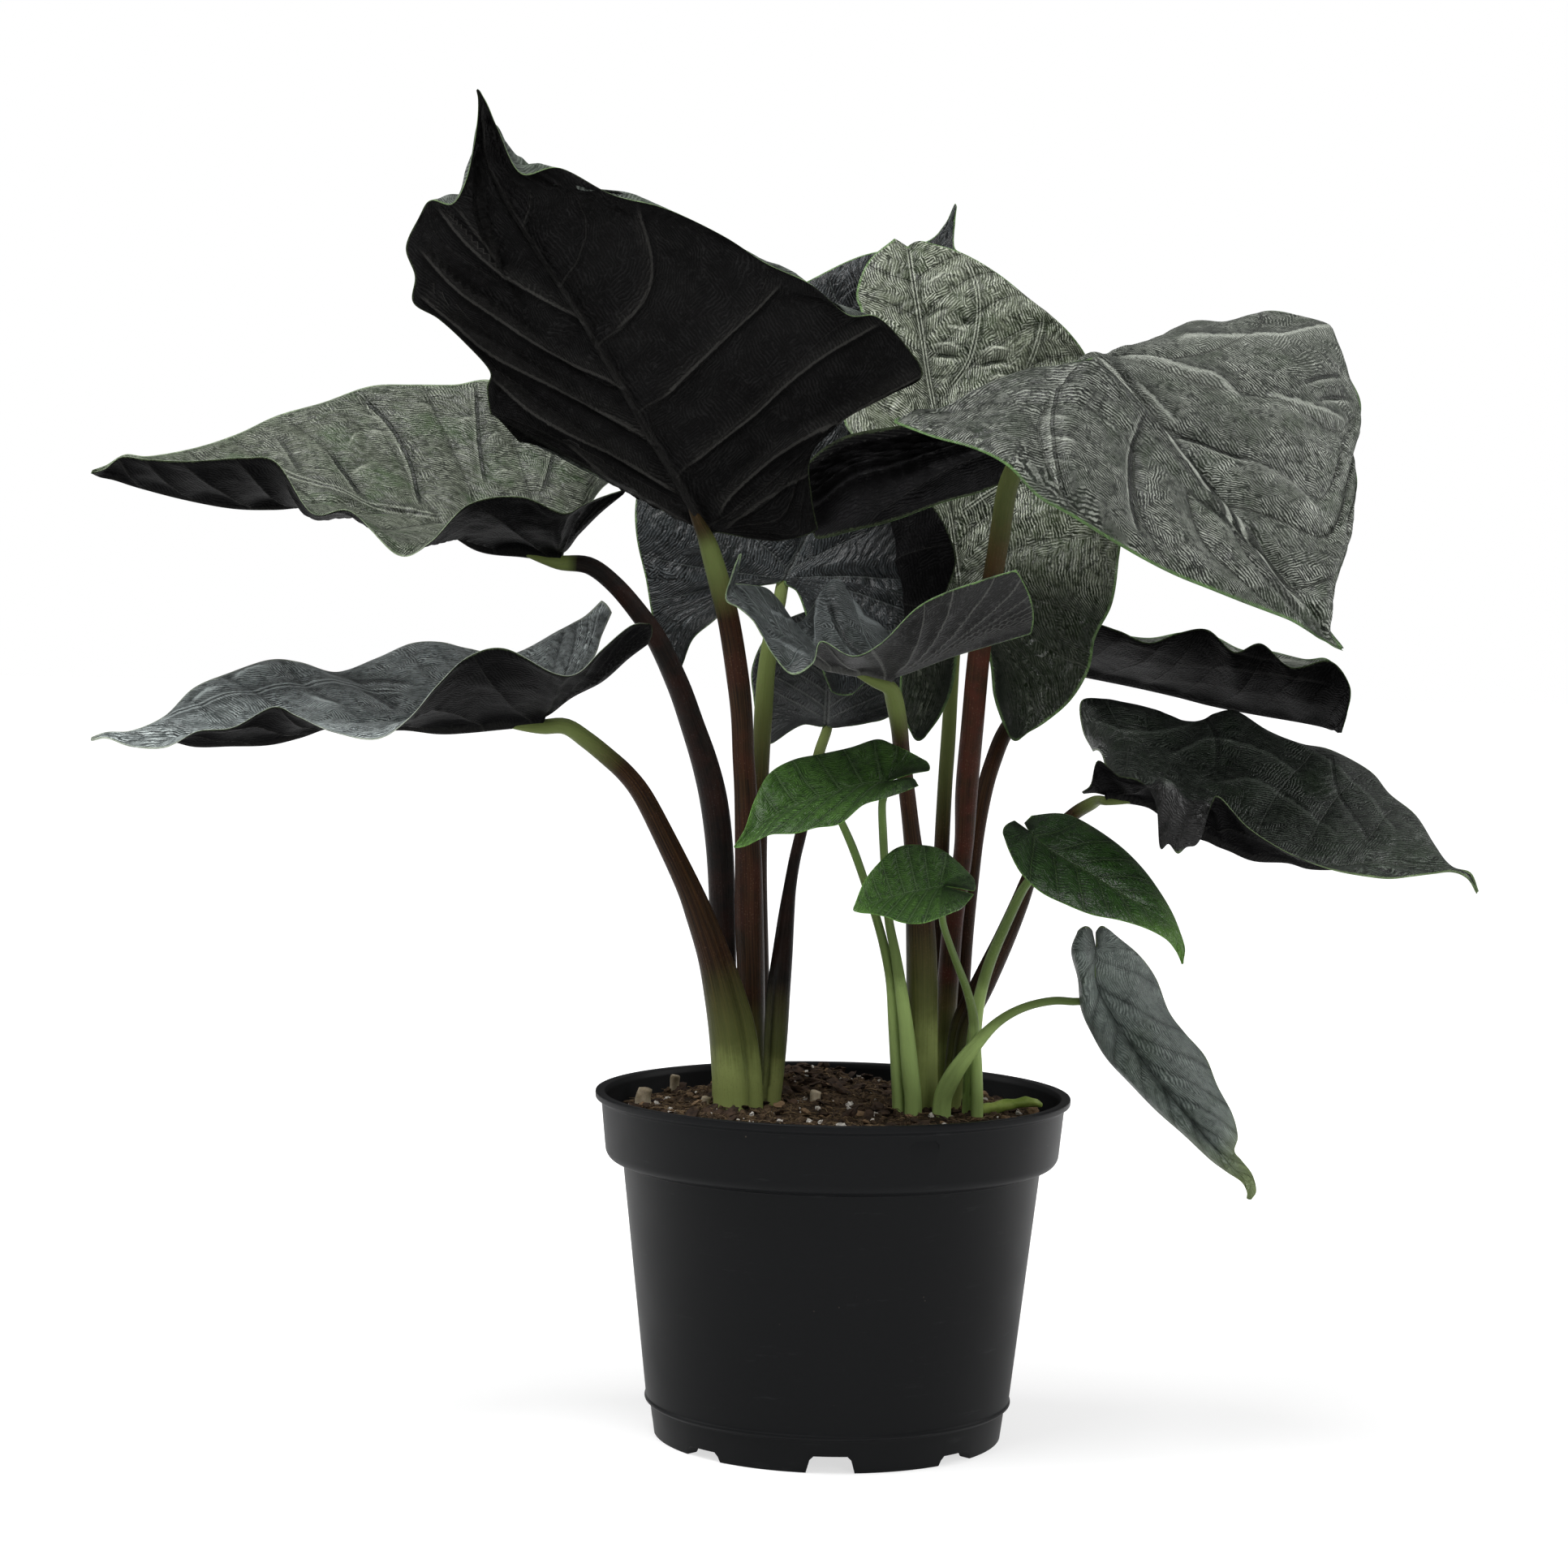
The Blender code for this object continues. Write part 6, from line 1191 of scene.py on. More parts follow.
up_velvet = leaf_upper('leaf_grey_velvet', (0.009, 0.012, 0.008), (0.050, 0.059, 0.044), (0.13, 0.14, 0.115), (0.095, 0.18, 0.055),
                       silver=0.40, minor=1.0, rough=0.34, bright=(0.33, 0.35, 0.305), deep=(0.0022, 0.0034, 0.0020), sheen=0.015, vein_amt=0.3, green_amt=0.32, wrinkle=0.45, green=(0.030, 0.060, 0.018), margin_mm=1.4,
                       edge_green=0.40, spec=0.24,
                       lobe_dark=0.55, lobe_from=0.80, lobe_to=-0.05, lobe_lines=0.25, grain=0.45, patch=0.35, bump_mm=0.50, mid_mm=0.06, vein_mm=0.7, twin=0.9)
up_top = leaf_upper('leaf_dark_velvet', (0.012, 0.016, 0.013), (0.075, 0.085, 0.076), (0.09, 0.10, 0.08), (0.15, 0.22, 0.10),
                    silver=0.5, minor=0.60, rough=0.5, green_amt=0.35, wrinkle=0.6, bump_mm=0.14, spec=0.14)
up_front = leaf_upper('leaf_front_slate', (0.0042, 0.0060, 0.0062), (0.031, 0.037, 0.037), (0.075, 0.090, 0.085), (0.16, 0.22, 0.12),
                      silver=0.42, minor=0.85, rough=0.40, green_amt=0.12, wrinkle=0.3, margin_mm=0.9, patch=0.5, grain=0.3, shade_amt=0.3,
                      bright=(0.125, 0.14, 0.14), deep=(0.0020, 0.0027, 0.0027), sheen=0.02)
up_bright = leaf_upper('leaf_bright_silver', (0.009, 0.014, 0.004), (0.120, 0.139, 0.090), (0.12, 0.13, 0.10), PALE,
                       silver=0.60, minor=0.85, rough=0.26, vein_amt=0.2, bright=(0.47, 0.50, 0.41), deep=(0.005, 0.009, 0.003), sheen=0.02, green_amt=0.75, spec=0.24, wrinkle=0.7, flank=0.8, margin_mm=1.2, lobe_dark=0.92, lobe_from=0.22, lobe_to=-0.12, lobe_lines=0.88, pair_amt=0.6, lobe_col=(0.0050, 0.0095, 0.0035),
                       green=(0.030, 0.058, 0.011), bump_mm=0.52, shade_amt=0.2)
up_dark = leaf_upper('leaf_blue_black', (0.0018, 0.0024, 0.0027), (0.016, 0.020, 0.022), (0.050, 0.056, 0.054), PALE,
                     silver=0.30, minor=0.8, rough=0.32, green_amt=0.05, wrinkle=0.55, patch=0.8, spec=0.22, bump_mm=0.4, grain=0.3,
                     bright=(0.060, 0.068, 0.072), deep=(0.0008, 0.0011, 0.0012), sheen=0.02)
up_low = leaf_upper('leaf_shadow_grey', (0.004, 0.005, 0.0052), (0.026, 0.029, 0.030), (0.07, 0.075, 0.07), PALE,
                    silver=0.40, minor=0.5, rough=0.45, green_amt=0.05, wrinkle=0.4)
up_torn = leaf_upper('leaf_dark_green', (0.0022, 0.0038, 0.0022), (0.017, 0.0245, 0.016), (0.050, 0.060, 0.045), (0.13, 0.19, 0.08),
                     silver=0.32, minor=0.85, rough=0.32, green_amt=0.45, green=(0.012, 0.028, 0.008), wrinkle=0.50, bright=(0.085, 0.10, 0.083),
                     deep=(0.0015, 0.0022, 0.0015), sheen=0.02, vein_amt=0.4, shade_amt=0.25, patch=0.4, grain=0.3,
                     margin_mm=1.0, dead=True)
up_hang = leaf_upper('leaf_blue_green', (0.018, 0.026, 0.024), (0.120, 0.146, 0.132), (0.034, 0.044, 0.036), (0.13, 0.17, 0.06),
                     silver=0.55, minor=0.5, rough=0.44, green_amt=0.3, tip_amt=0.9, period=0.8, mid_mm=0.6, vein_amt=0.15, wrinkle=0.2, patch=0.3, shade_amt=0.2, grain=0.3,
                     bright=(0.24, 0.275, 0.25), sheen=0.02)
up_young = leaf_upper('leaf_fresh_green', (0.007, 0.027, 0.002), (0.036, 0.086, 0.014), (0.070, 0.125, 0.045), (0.10, 0.22, 0.04), sheen=0.01,
                      silver=0.45, minor=0.45, rough=0.36, green_amt=0.35, green=(0.022, 0.065, 0.010), tip_amt=0.5,
                      spec=0.22, mid_mm=0.7, vein_amt=0.45, wrinkle=0.3, margin_mm=0.45)
up_deep = leaf_upper('leaf_deep_green', (0.0025, 0.010, 0.0012), (0.011, 0.036, 0.0035), (0.040, 0.075, 0.022), (0.08, 0.17, 0.03), sheen=0.01,
                     silver=0.42, minor=0.45, rough=0.33, green_amt=0.4, green=(0.012, 0.036, 0.006), tip_amt=0.8,
                     spec=0.24, mid_mm=0.7, vein_amt=0.4, wrinkle=0.35, margin_mm=0.45)

A_LEFT = [[(690, 345), (640, 280), (600, 205)], [(728, 405), (660, 380), (600, 335), (525, 255)],
          [(765, 475), (640, 400), (520, 300)], [(805, 540), (680, 470), (550, 395)],
          [(840, 610), (700, 520), (600, 450)], [(860, 650), (760, 585), (640, 520)]]
A_RIGHT = [[(700, 340), (720, 300), (705, 240)], [(752, 415), (800, 360), (790, 270)], [(805, 495), (900, 410), (945, 320)],
           [(850, 570), (950, 480), (1040, 395)], [(885, 640), (1000, 545), (1120, 465)]]
B_NEAR = [[(1339, 452), (1294, 490), (1283, 535), (1303, 598), (1326, 625)], [(1404, 510), (1395, 558), (1407, 634), (1420, 670)],
          [(1470, 578), (1465, 625), (1500, 690)], [(1506, 625), (1578, 625), (1627, 640)],
          [(1528, 652), (1590, 668), (1627, 680)], [(1555, 688), (1600, 700), (1627, 706)]]
B_FAR = [[(1350, 440), (1400, 447), (1470, 440), (1540, 420)], [(1398, 450), (1492, 468), (1528, 495), (1582, 504), (1663, 526)],
         [(1445, 535), (1492, 549), (1555, 580), (1614, 616)], [(1510, 625), (1570, 640), (1645, 648)]]
C_FAR = [[(1182, 628), (1230, 603), (1300, 560)], [(1160, 500), (1195, 430), (1207, 390), (1190, 325)],
         [(1158, 560), (1220, 500), (1260, 430)]]

if True:
    blade('blade_tall_left', 12, 40, A_LEFT, A_RIGHT, quilt=1.8, ridge=0.7, rib0=2.8, rib1=0.5, seed=1.0, mats=[up_top, under_tall])
    blade('blade_left_upper', 12, 40, quilt=1.4, ridge=0.5, rib0=2.0, seed=2.0, mats=[up_silver, under_left], ripple=0.5)
    blade('blade_left_lower', 12, 40, quilt=1.2, ridge=0.5, rib0=2.0, seed=3.0, mats=[up_blue, under_left], ripple=0.5)
    blade('blade_right_upper', 10, 46, B_NEAR, B_FAR, quilt=2.0, ridge=0.5, rib0=0.9, margin_far=2.2, seed=4.0, mats=[up_velvet, under_black], ripple=0.35)
    blade('blade_back_right', 12, 40, quilt=(0.4, 1.3), ridge=0.5, rib0=2.0, seed=5.0, mats=[up_bright, under_black], ripple=0.6)
    blade('blade_back_center', 12, 38, quilt=1.6, ridge=0.5, rib0=2.2, seed=6.0, mats=[up_dark, under_black], ripple=0.6)
    blade('blade_right_rolled', 11, 30, quilt=0.5, ridge=0.2, rib0=1.8, seed=7.0, mats=[up_velvet, under_rolled])
    blade('blade_front_center', 11, 32, quilt=1.0, ridge=0.5, rib0=2.0, seed=8.0, mats=[up_front, under_grey], ripple=0.4)
    blade('blade_right_torn', 6, 32, quilt=0.9, ridge=0.3, rib0=1.8, seed=9.0, mats=[up_torn, under_black], ripple=0.4)
    blade('blade_right_hanging', 9, 26, quilt=0.6, ridge=0.3, rib0=1.5, seed=10.0, mats=[up_hang, under_grey], ripple=0.4)
    blade('blade_center_low', 9, 24, quilt=0.9, ridge=0.5, rib0=1.8, seed=11.0, mats=[up_low, under_grey])
    blade('blade_small_left', 10, 24, quilt=0.7, ridge=0.25, rib0=1.1, seed=12.0, mats=[up_young, under_green])
    blade('blade_small_mid', 10, 22, quilt=0.7, ridge=0.25, rib0=1.0, seed=13.0, mats=[up_young, under_green])
    blade('blade_small_right', 10, 24, quilt=0.7, ridge=0.25, rib0=1.1, seed=14.0, mats=[up_deep, under_green])

# ---------------------------------------------------------------- leaf stalks
def stalk_skin(name, mid, mid2, foot, top, rough=0.36, spec=0.12, redcol=(0.048, 0.012, 0.0065)):
    """Striated stalk skin; the mesh carries how green the foot (gf) and the neck (gt) are."""
    m, nt, b = new_mat(name, Roughness=rough, Specular=spec)
    gf, gt, ln, ang, rd, lip = (attr(nt, k) for k in ('gf', 'gt', 'len', 'ang', 'red', 'lip'))
    vec = place(nt)
    long_v = xyz(nt, mth(nt, 'MULTIPLY', mth(nt, 'SINE', ang), 9.0), mth(nt, 'MULTIPLY', mth(nt, 'COSINE', ang), 9.0),
                 mth(nt, 'MULTIPLY', ln, 0.02))
    stria = noi(nt, long_v, 1.2, 4.0, 0.7)
    fine_v = xyz(nt, mth(nt, 'MULTIPLY', mth(nt, 'SINE', ang), 30.0), mth(nt, 'MULTIPLY', mth(nt, 'COSINE', ang), 30.0),
                 mth(nt, 'MULTIPLY', ln, 0.09))
    fine = noi(nt, fine_v, 1.0, 3.0, 0.7)
    blot = noi(nt, vec, 90.0, 4.0, 0.65)
    speck = vor(nt, vec, 1100.0)
    col = mixc(nt, rng(nt, stria, 0.35, 0.68), mid, mid2)
    col = mixc(nt, mth(nt, 'MULTIPLY', rd, rng(nt, blot, 0.35, 0.7)), col, redcol)
    f1 = mth(nt, 'ADD', gf, mth(nt, 'MULTIPLY', mth(nt, 'SUBTRACT', stria, 0.5), 0.28), clamp=True)
    f1 = mth(nt, 'ADD', f1, mth(nt, 'MULTIPLY', mth(nt, 'MULTIPLY', mth(nt, 'SUBTRACT', blot, 0.5), 0.5), gf), clamp=True)
    col = mixc(nt, mth(nt, 'MULTIPLY', f1, rng(nt, gf, 0.0, 0.15)), col, foot)
    col = mixc(nt, mth(nt, 'MULTIPLY', rng(nt, f1, 0.62, 0.98), 0.8), col, tuple(min(1, c * 2.1 + 0.02) for c in foot))
    f2 = mth(nt, 'ADD', gt, mth(nt, 'MULTIPLY', mth(nt, 'SUBTRACT', fine, 0.5), 0.4), clamp=True)
    col = mixc(nt, mth(nt, 'MULTIPLY', f2, rng(nt, gt, 0.0, 0.15)), col, top)
    dots = mth(nt, 'MULTIPLY', rng(nt, speck, 0.28, 0.14), rng(nt, blot, 0.42, 0.62))
    col = mixc(nt, mth(nt, 'MULTIPLY', dots, 0.35), col, tuple(min(1, c * 2.2 + 0.03) for c in mid2))
    col = mixc(nt, mth(nt, 'MULTIPLY', rng(nt, fine, 0.55, 0.8), 0.4), col, tuple(c * 0.4 for c in mid))
    col = mixc(nt, mth(nt, 'MULTIPLY', lip, 0.7), col, tuple(c * 0.5 for c in mid))
    nt.links.new(col, b.inputs['Base Color'])
    h = mth(nt, 'ADD', mth(nt, 'MULTIPLY', fine, 0.6), mth(nt, 'MULTIPLY', stria, 0.8))
    h = mth(nt, 'ADD', h, mth(nt, 'MULTIPLY', noi(nt, vec, 900.0, 2.0), 0.4))
    bump(nt, b, h, 0.25 * MM, 0.8)
    return m


skin_dark = stalk_skin('stalk_skin_dark', (0.0052, 0.0028, 0.0016), (0.040, 0.0200, 0.0070), (0.115, 0.138, 0.038), (0.105, 0.135, 0.040), spec=0.07)
skin_black = stalk_skin('stalk_skin_black', (0.0028, 0.0024, 0.0022), (0.0100, 0.0075, 0.0055), (0.100, 0.115, 0.032), (0.110, 0.140, 0.040), spec=0.08)
skin_young = stalk_skin('stalk_skin_young', (0.070, 0.110, 0.028), (0.110, 0.160, 0.048), (0.15, 0.21, 0.062), (0.085, 0.14, 0.035), rough=0.35)




def smooth_path(points, count):
    p = np.asarray(points, float)
    return cr_weights(len(p), np.linspace(0, len(p) - 1, count)) @ p


# name: blade, (foot green length, fade) mm, neck green length mm, red, sheath length mm, groove direction (x, y), groove depth
STALKS = {
    'petiole_left_lower': ('blade_left_lower', (0, 56), 26, 0.15, 62, (0.75, -0.66), 0.30),
    'petiole_left_upper': ('blade_left_upper', (8, 30), 5, 0.25, 40, (-0.2, 1.0), 0.25),
    'petiole_tall_left': ('blade_tall_left', (0, 40), 24, 0.45, 60, (0.5, 0.86), 0.25),
    'petiole_center_low': ('blade_center_low', (0, 46), 20, 0.2, 55, (-0.85, -0.52), 0.35),
    'petiole_back_center': ('blade_back_center', (2, 36), 62, 0.15, 40, (0.3, 0.95), 0.25),
    'petiole_front_center': ('blade_front_center', (8, 64), 18, 0.25, 70, (0.9, 0.43), 0.30),
    'petiole_right_upper': ('blade_right_upper', (8, 40), 68, 0.95, 60, (0.6, 0.8), 0.25),
    'petiole_back_right': ('blade_back_right', (8, 30), 74, 0.2, 50, (-0.3, 0.95), 0.25),
    'petiole_right_rolled': ('blade_right_rolled', (6, 20), 4, 0.35, 50, (0.4, 0.9), 0.30),
    'petiole_right_torn': ('blade_right_torn', (4, 34), 18, 0.2, 66, (-0.8, -0.6), 0.40),
    'petiole_small_left': ('blade_small_left', (30, 40), 30, 0.0, 40, (0.5, 0.8), 0.25),
    'petiole_spear': (None, (30, 40), 20, 0.0, 40, (0.5, 0.8), 0.20),
    'petiole_small_mid': ('blade_small_mid', (20, 30), 20, 0.0, 20, (-0.5, 0.8), 0.20),
    'petiole_small_right': ('blade_small_right', (30, 40), 20, 0.0, 36, (-0.6, -0.7), 0.40),
    'petiole_right_hanging': ('blade_right_hanging', (20, 50), 20, 0.1, 30, (-0.4, -0.6), 0.30),
}


def stalk(name, path):
    blade_name, (gl, gfade), neck, red, sheath, gdir, gdepth = STALKS[name]
    pts = [(*at(px, py, d), r) for px, py, d, r in path]
    foot = pts[0]
    pts = [(foot[0], foot[1], SOIL_Z - 6.0, foot[3] * 1.02)] + pts
    if blade_name:
        rows = LEAVES[blade_name]['rows']
        j = np.array(at(*rows[0][2]))
        k = np.array(at(*rows[1][2]))
        d = (k - j) / np.linalg.norm(k - j)
        last = np.array(pts[-1][:3])
        while len(pts) > 3 and np.linalg.norm(np.array(pts[-1][:3]) - j) < 5.0:
            pts.pop()
        r = pts[-1][3]
        rj = min(r, 2.6) * 0.92
        low = np.array(DOWN[blade_name])
        pts.append((*(j + low * (rj + 0.35)), rj))
        pts.append((*(j + d * 5.0 + low * (rj * 0.75 + 0.35)), rj * 0.75))
        pts.append((*(j + d * 11.0 + low * (rj * 0.35 + 0.3)), rj * 0.35))
    q = smooth_path(pts, 400)
    arc = np.concatenate([[0], np.cumsum(np.linalg.norm(np.diff(q[:, :3], axis=0), axis=1))])
    total = arc[-1]
    n = int(total / 1.7) + 2
    s = np.linspace(0, total, n)
    p = np.stack([np.interp(s, arc, q[:, k]) for k in range(4)], 1)
    tang = np.gradient(p[:, :3], axis=0)
    tang /= np.linalg.norm(tang, axis=1)[:, None]
    sides = 28 if p[0, 3] > 3.2 else 20
    g = np.array([gdir[0], gdir[1], 0.0])
    verts, faces, LEN, ANG, GF, GT, RD, LIP = [], [], [], [], [], [], [], []
    up = g.copy()
    for i in range(n):
        # groove direction carried up the stalk
        up = up - np.dot(up, tang[i]) * tang[i]
        up /= np.linalg.norm(up)
        sd = np.cross(tang[i], up)
        h = s[i] - 6.0
        gs = 1.0 - smoothstep(np.array(h), sheath * 0.55, sheath * 1.15)
        g_now = gdepth * (0.25 + 0.75 * gs)
        end = 1 - smoothstep(np.array(s[i]), total - 14, total - 2)
        for k in range(sides):
            a = 2 * math.pi * k / sides
            da = (a + math.pi) % (2 * math.pi) - math.pi
            f = 1 - g_now * end * math.exp(-(da / 0.42) ** 2) + 0.22 * gdepth * gs * math.exp(-((abs(da) - 0.78) / 0.2) ** 2)
            r = p[i, 3] * f
            verts.append(p[i, :3] + r * (math.cos(a) * up + math.sin(a) * sd))
            LEN.append(s[i]); ANG.append(a if a < math.pi else a)
            GF.append(float(1 - smoothstep(np.array(h), gl, gl + gfade)))
            gt_now = smoothstep(np.array(s[i]), total - 11 - neck * 1.3, total - 11 - neck * 0.35)
            if name == 'petiole_tall_left':
                gt_now = gt_now * (1 - 0.9 * smoothstep(np.array(s[i]), total - 17, total - 9))
            GT.append(float(gt_now))
            RD.append(red)
            LIP.append(math.exp(-((abs(da) - 0.62) / 0.16) ** 2) * gs * (1 if h > 6 else 0) if gdepth > 0.33 else 0.0)
    for i in range(n - 1):
        for k in range(sides):
            k2 = (k + 1) % sides
            a, b = i * sides + k, i * sides + k2
            faces.append((a, b, b + sides, a + sides))
    faces.append(tuple(range(sides))[::-1])
    faces.append(tuple(range((n - 1) * sides, n * sides)))
    young = 'small' in name or 'spear' in name or 'hanging' in name
    skin = skin_young if young else (skin_black if name in ('petiole_left_upper', 'petiole_center_low') else skin_dark)
    make('stalk_' + name[8:], verts, faces, [skin],
         attrs=dict(len=LEN, ang=ANG, gf=GF, gt=GT, red=RD, lip=LIP),
         replaces=(name,))


for nm, path in STEMS.items():
    stalk(nm, path)

# ---------------------------------------------------------------- pot
def pot_plastic():
    m, nt, b = new_mat('pot_black_plastic', Roughness=0.40, Specular=0.09)
    vec = place(nt)
    cloud = noi(nt, vec, 14.0, 3.0, 0.6)
    grain = noi(nt, vec, 2600.0, 2.0, 0.6)
    scuff = noi(nt, place(nt, (1.0, 1.0, 6.0)), 60.0, 5.0, 0.7)
    dust = vor(nt, vec, 240.0)
    spot = noi(nt, vec, 35.0, 2.0)
    col = mixc(nt, cloud, (0.0033, 0.0036, 0.0040), (0.0052, 0.0056, 0.0062))
    col = mixc(nt, mth(nt, 'MULTIPLY', rng(nt, scuff, 0.60, 0.80), 0.25), col, (0.035, 0.037, 0.038))
    d = mth(nt, 'MULTIPLY', rng(nt, dust, 0.075, 0.04), rng(nt, spot, 0.60, 0.72))
    col = mixc(nt, mth(nt, 'MULTIPLY', d, 0.45), col, (0.16, 0.13, 0.10))
    nt.links.new(col, b.inputs['Base Color'])
    r = rng(nt, cloud, 0.2, 0.8, 0.42, 0.54)
    nt.links.new(r, b.inputs['Roughness'])
    h = mth(nt, 'ADD', mth(nt, 'MULTIPLY', grain, 0.5), mth(nt, 'MULTIPLY', scuff, 0.3))
    bump(nt, b, h, 0.05 * MM, 0.6)
    return m


def revolve(profile, sides, centre):
    verts, faces, rings = [], [], []
    for r, z in profile:
        if r < 1e-6:
            rings.append([len(verts)])
            verts.append((centre[0], centre[1], z))
        else:
            ring = []
            for k in range(sides):
                a = 2 * math.pi * (k + 0.5) / sides
                ring.append(len(verts))
                verts.append((centre[0] + r * math.cos(a), centre[1] + r * math.sin(a), z))
            rings.append(ring)
    for i in range(len(rings) - 1):
        a, b = rings[i], rings[i + 1]
        for k in range(sides):
            k2 = (k + 1) % sides
            if len(a) == 1:
                faces.append((a[0], b[k], b[k2]))
            elif len(b) == 1:
                faces.append((a[k], b[0], a[k2]))
            else:
                faces.append((a[k], b[k], b[k2], a[k2]))
    return verts, faces


def fillet(points, radius, steps=4):
    """Rounds the inner corners of an open outline; radius per corner or one for all."""
    out = [points[0]]
    for i in range(1, len(points) - 1):
        a, b, c = (np.array(points[i - 1]), np.array(points[i]), np.array(points[i + 1]))
        r = radius[i] if isinstance(radius, dict) and i in radius else (radius.get('all', 0.4) if isinstance(radius, dict) else radius)
        la, lc = np.linalg.norm(a - b), np.linalg.norm(c - b)
        r = min(r, la * 0.45, lc * 0.45)
        p, q = b + (a - b) / la * r, b + (c - b) / lc * r
        for k in range(steps + 1):
            t = k / steps
            out.append(tuple((1 - t) ** 2 * p + 2 * t * (1 - t) * b + t * t * q))
    out.append(points[-1])
    return out


def pot():
    band = RIM_Z - 2.2 - 18.5
    wall = 1.3
    outline = [(0.0, 5.6), (50.3, 5.6), (51.3, 0.0), (55.6, 0.0), (56.9, 10.1), (57.3, 10.5), (58.25, 10.8), (58.75, 11.3), (58.7, 11.9), (58.3, 12.5),
               (66.8, band - 2.2), (71.2, band - 0.6), (72.4, band + 1.2), (74.0, RIM_Z - 3.4), (75.9, RIM_Z - 2.3),
               (76.0, RIM_Z - 0.1), (73.0, RIM_Z - 0.4), (72.4, RIM_Z - 2.0), (72.4 - wall, band + 2.0), (66.8 - wall, band - 1.4),
               (58.4 - wall, 13.6), (57.0 - wall, 7.8), (0.0, 7.8)]
    prof = fillet(outline, {'all': 0.40, 5: 0.15, 6: 0.2, 7: 0.25, 8: 0.25, 9: 0.3, 11: 1.4, 12: 1.6, 15: 0.8})
    v, f = revolve(prof, 160, (POT_X, POT_Y))
    m = pot_plastic()
    ob = make('pot', v, f, [m], replaces=('nursery_pot',))
    me = ob.data
    cutters = []

    def box_cutter(ang, half_w, r0, r1, z0, z1, slope=0.0):
        c, s = math.cos(ang), math.sin(ang)
        vv = []
        for z, w in ((z0, half_w + slope), (z1 - 1.2, half_w), (z1, half_w - 1.2)):
            for r, t in ((r0, -w), (r1, -w), (r1, w), (r0, w)):
                vv.append((POT_X + c * r - s * t, POT_Y + s * r + c * t, z))
        ff = [(3, 2, 1, 0), (8, 9, 10, 11)]
        for a in (0, 4):
            for k in range(4):
                k2 = (k + 1) % 4
                ff.append((a + k, a + k2, a + 4 + k2, a + 4 + k))
        cm = bpy.data.meshes.new('notch_cutter')
        cm.from_pydata((np.array(vv) * MM).tolist(), [], ff)
        co_ = bpy.data.objects.new('notch_cutter', cm)
        bpy.context.scene.collection.objects.link(co_)
        mod = ob.modifiers.new('notch', 'BOOLEAN')
        mod.operation = 'DIFFERENCE'
        mod.solver = 'EXACT'
        mod.object = co_
        cutters.append(co_)

    for k in range(4):
        box_cutter(math.radians(-90 + 0.5 + 90 * k), 6.4, 49.6, 64.0, -1.5, 5.35, 1.5)
    for k in range(4):
        box_cutter(math.radians(-45 + 0.5 + 90 * k), 6.6, 49.6, 64.0, -1.5, 3.0, 1.5)
    # moulded slot mark under the rim
    a0 = math.radians(-90 + 21.5)
    box_cutter(a0, 4.6, 73.35, 80.0, 99.6, 104.6)
    dg = bpy.context.evaluated_depsgraph_get()
    new = bpy.data.meshes.new_from_object(ob.evaluated_get(dg))
    new.materials.clear()
    new.materials.append(m)
    ob.modifiers.clear()
    ob.data = new
    for c in cutters:
        bpy.data.objects.remove(c, do_unlink=True)
    new.polygons.foreach_set('use_smooth', [True] * len(new.polygons))
    new.set_sharp_from_angle(angle=math.radians(35))
    return ob


pot()

# ---------------------------------------------------------------- soil
def peat_mat(name, a, b_, c, rough=0.95):
    m, nt, b = new_mat(name, Roughness=rough, Specular=0.15)
    vec = place(nt)
    n1 = noi(nt, vec, 120.0, 5.0, 0.7)
    n2 = noi(nt, vec, 620.0, 4.0, 0.75)
    fib = noi(nt, place(nt, (1.0, 0.25, 1.0)), 900.0, 3.0, 0.7, 1.5)
    col = mixc(nt, rng(nt, n1, 0.3, 0.7), a, b_)
    col = mixc(nt, rng(nt, n2, 0.5, 0.75), col, c)
    col = mixc(nt, mth(nt, 'MULTIPLY', rng(nt, fib, 0.6, 0.75), 0.5), col, (0.17, 0.115, 0.060))
    nt.links.new(col, b.inputs['Base Color'])
    bump(nt, b, mth(nt, 'ADD', n2, mth(nt, 'MULTIPLY', n1, 1.5)), 0.8 * MM, 1.0)
    return m


def grain_mat(name, a, b_, rough=0.9, scale=500.0):
    m, nt, b = new_mat(name, Roughness=rough, Specular=0.2)
    vec = place(nt)
    n1 = noi(nt, vec, scale, 4.0, 0.7)
    n2 = noi(nt, vec, scale * 0.2, 2.0, 0.6)
    col = mixc(nt, rng(nt, n1, 0.3, 0.7), a, b_)
    col = mixc(nt, mth(nt, 'MULTIPLY', rng(nt, n2, 0.5, 0.75), 0.5), col, tuple(c * 0.45 for c in a))
    nt.links.new(col, b.inputs['Base Color'])
    bump(nt, b, n1, 0.3 * MM, 1.0)
    return m


SOIL_R = 69.6
MOUNDS = [(*at(985, 1335, 34)[:2], 16.0, 5.2), (*at(1050, 1345, 30)[:2], 22.0, 3.2), (*at(905, 1345, 0)[:2], 20.0, 1.6),
          (*at(1160, 1345, 0)[:2], 22.0, 1.2), (*at(1240, 1360, 10)[:2], 20.0, -1.0)]


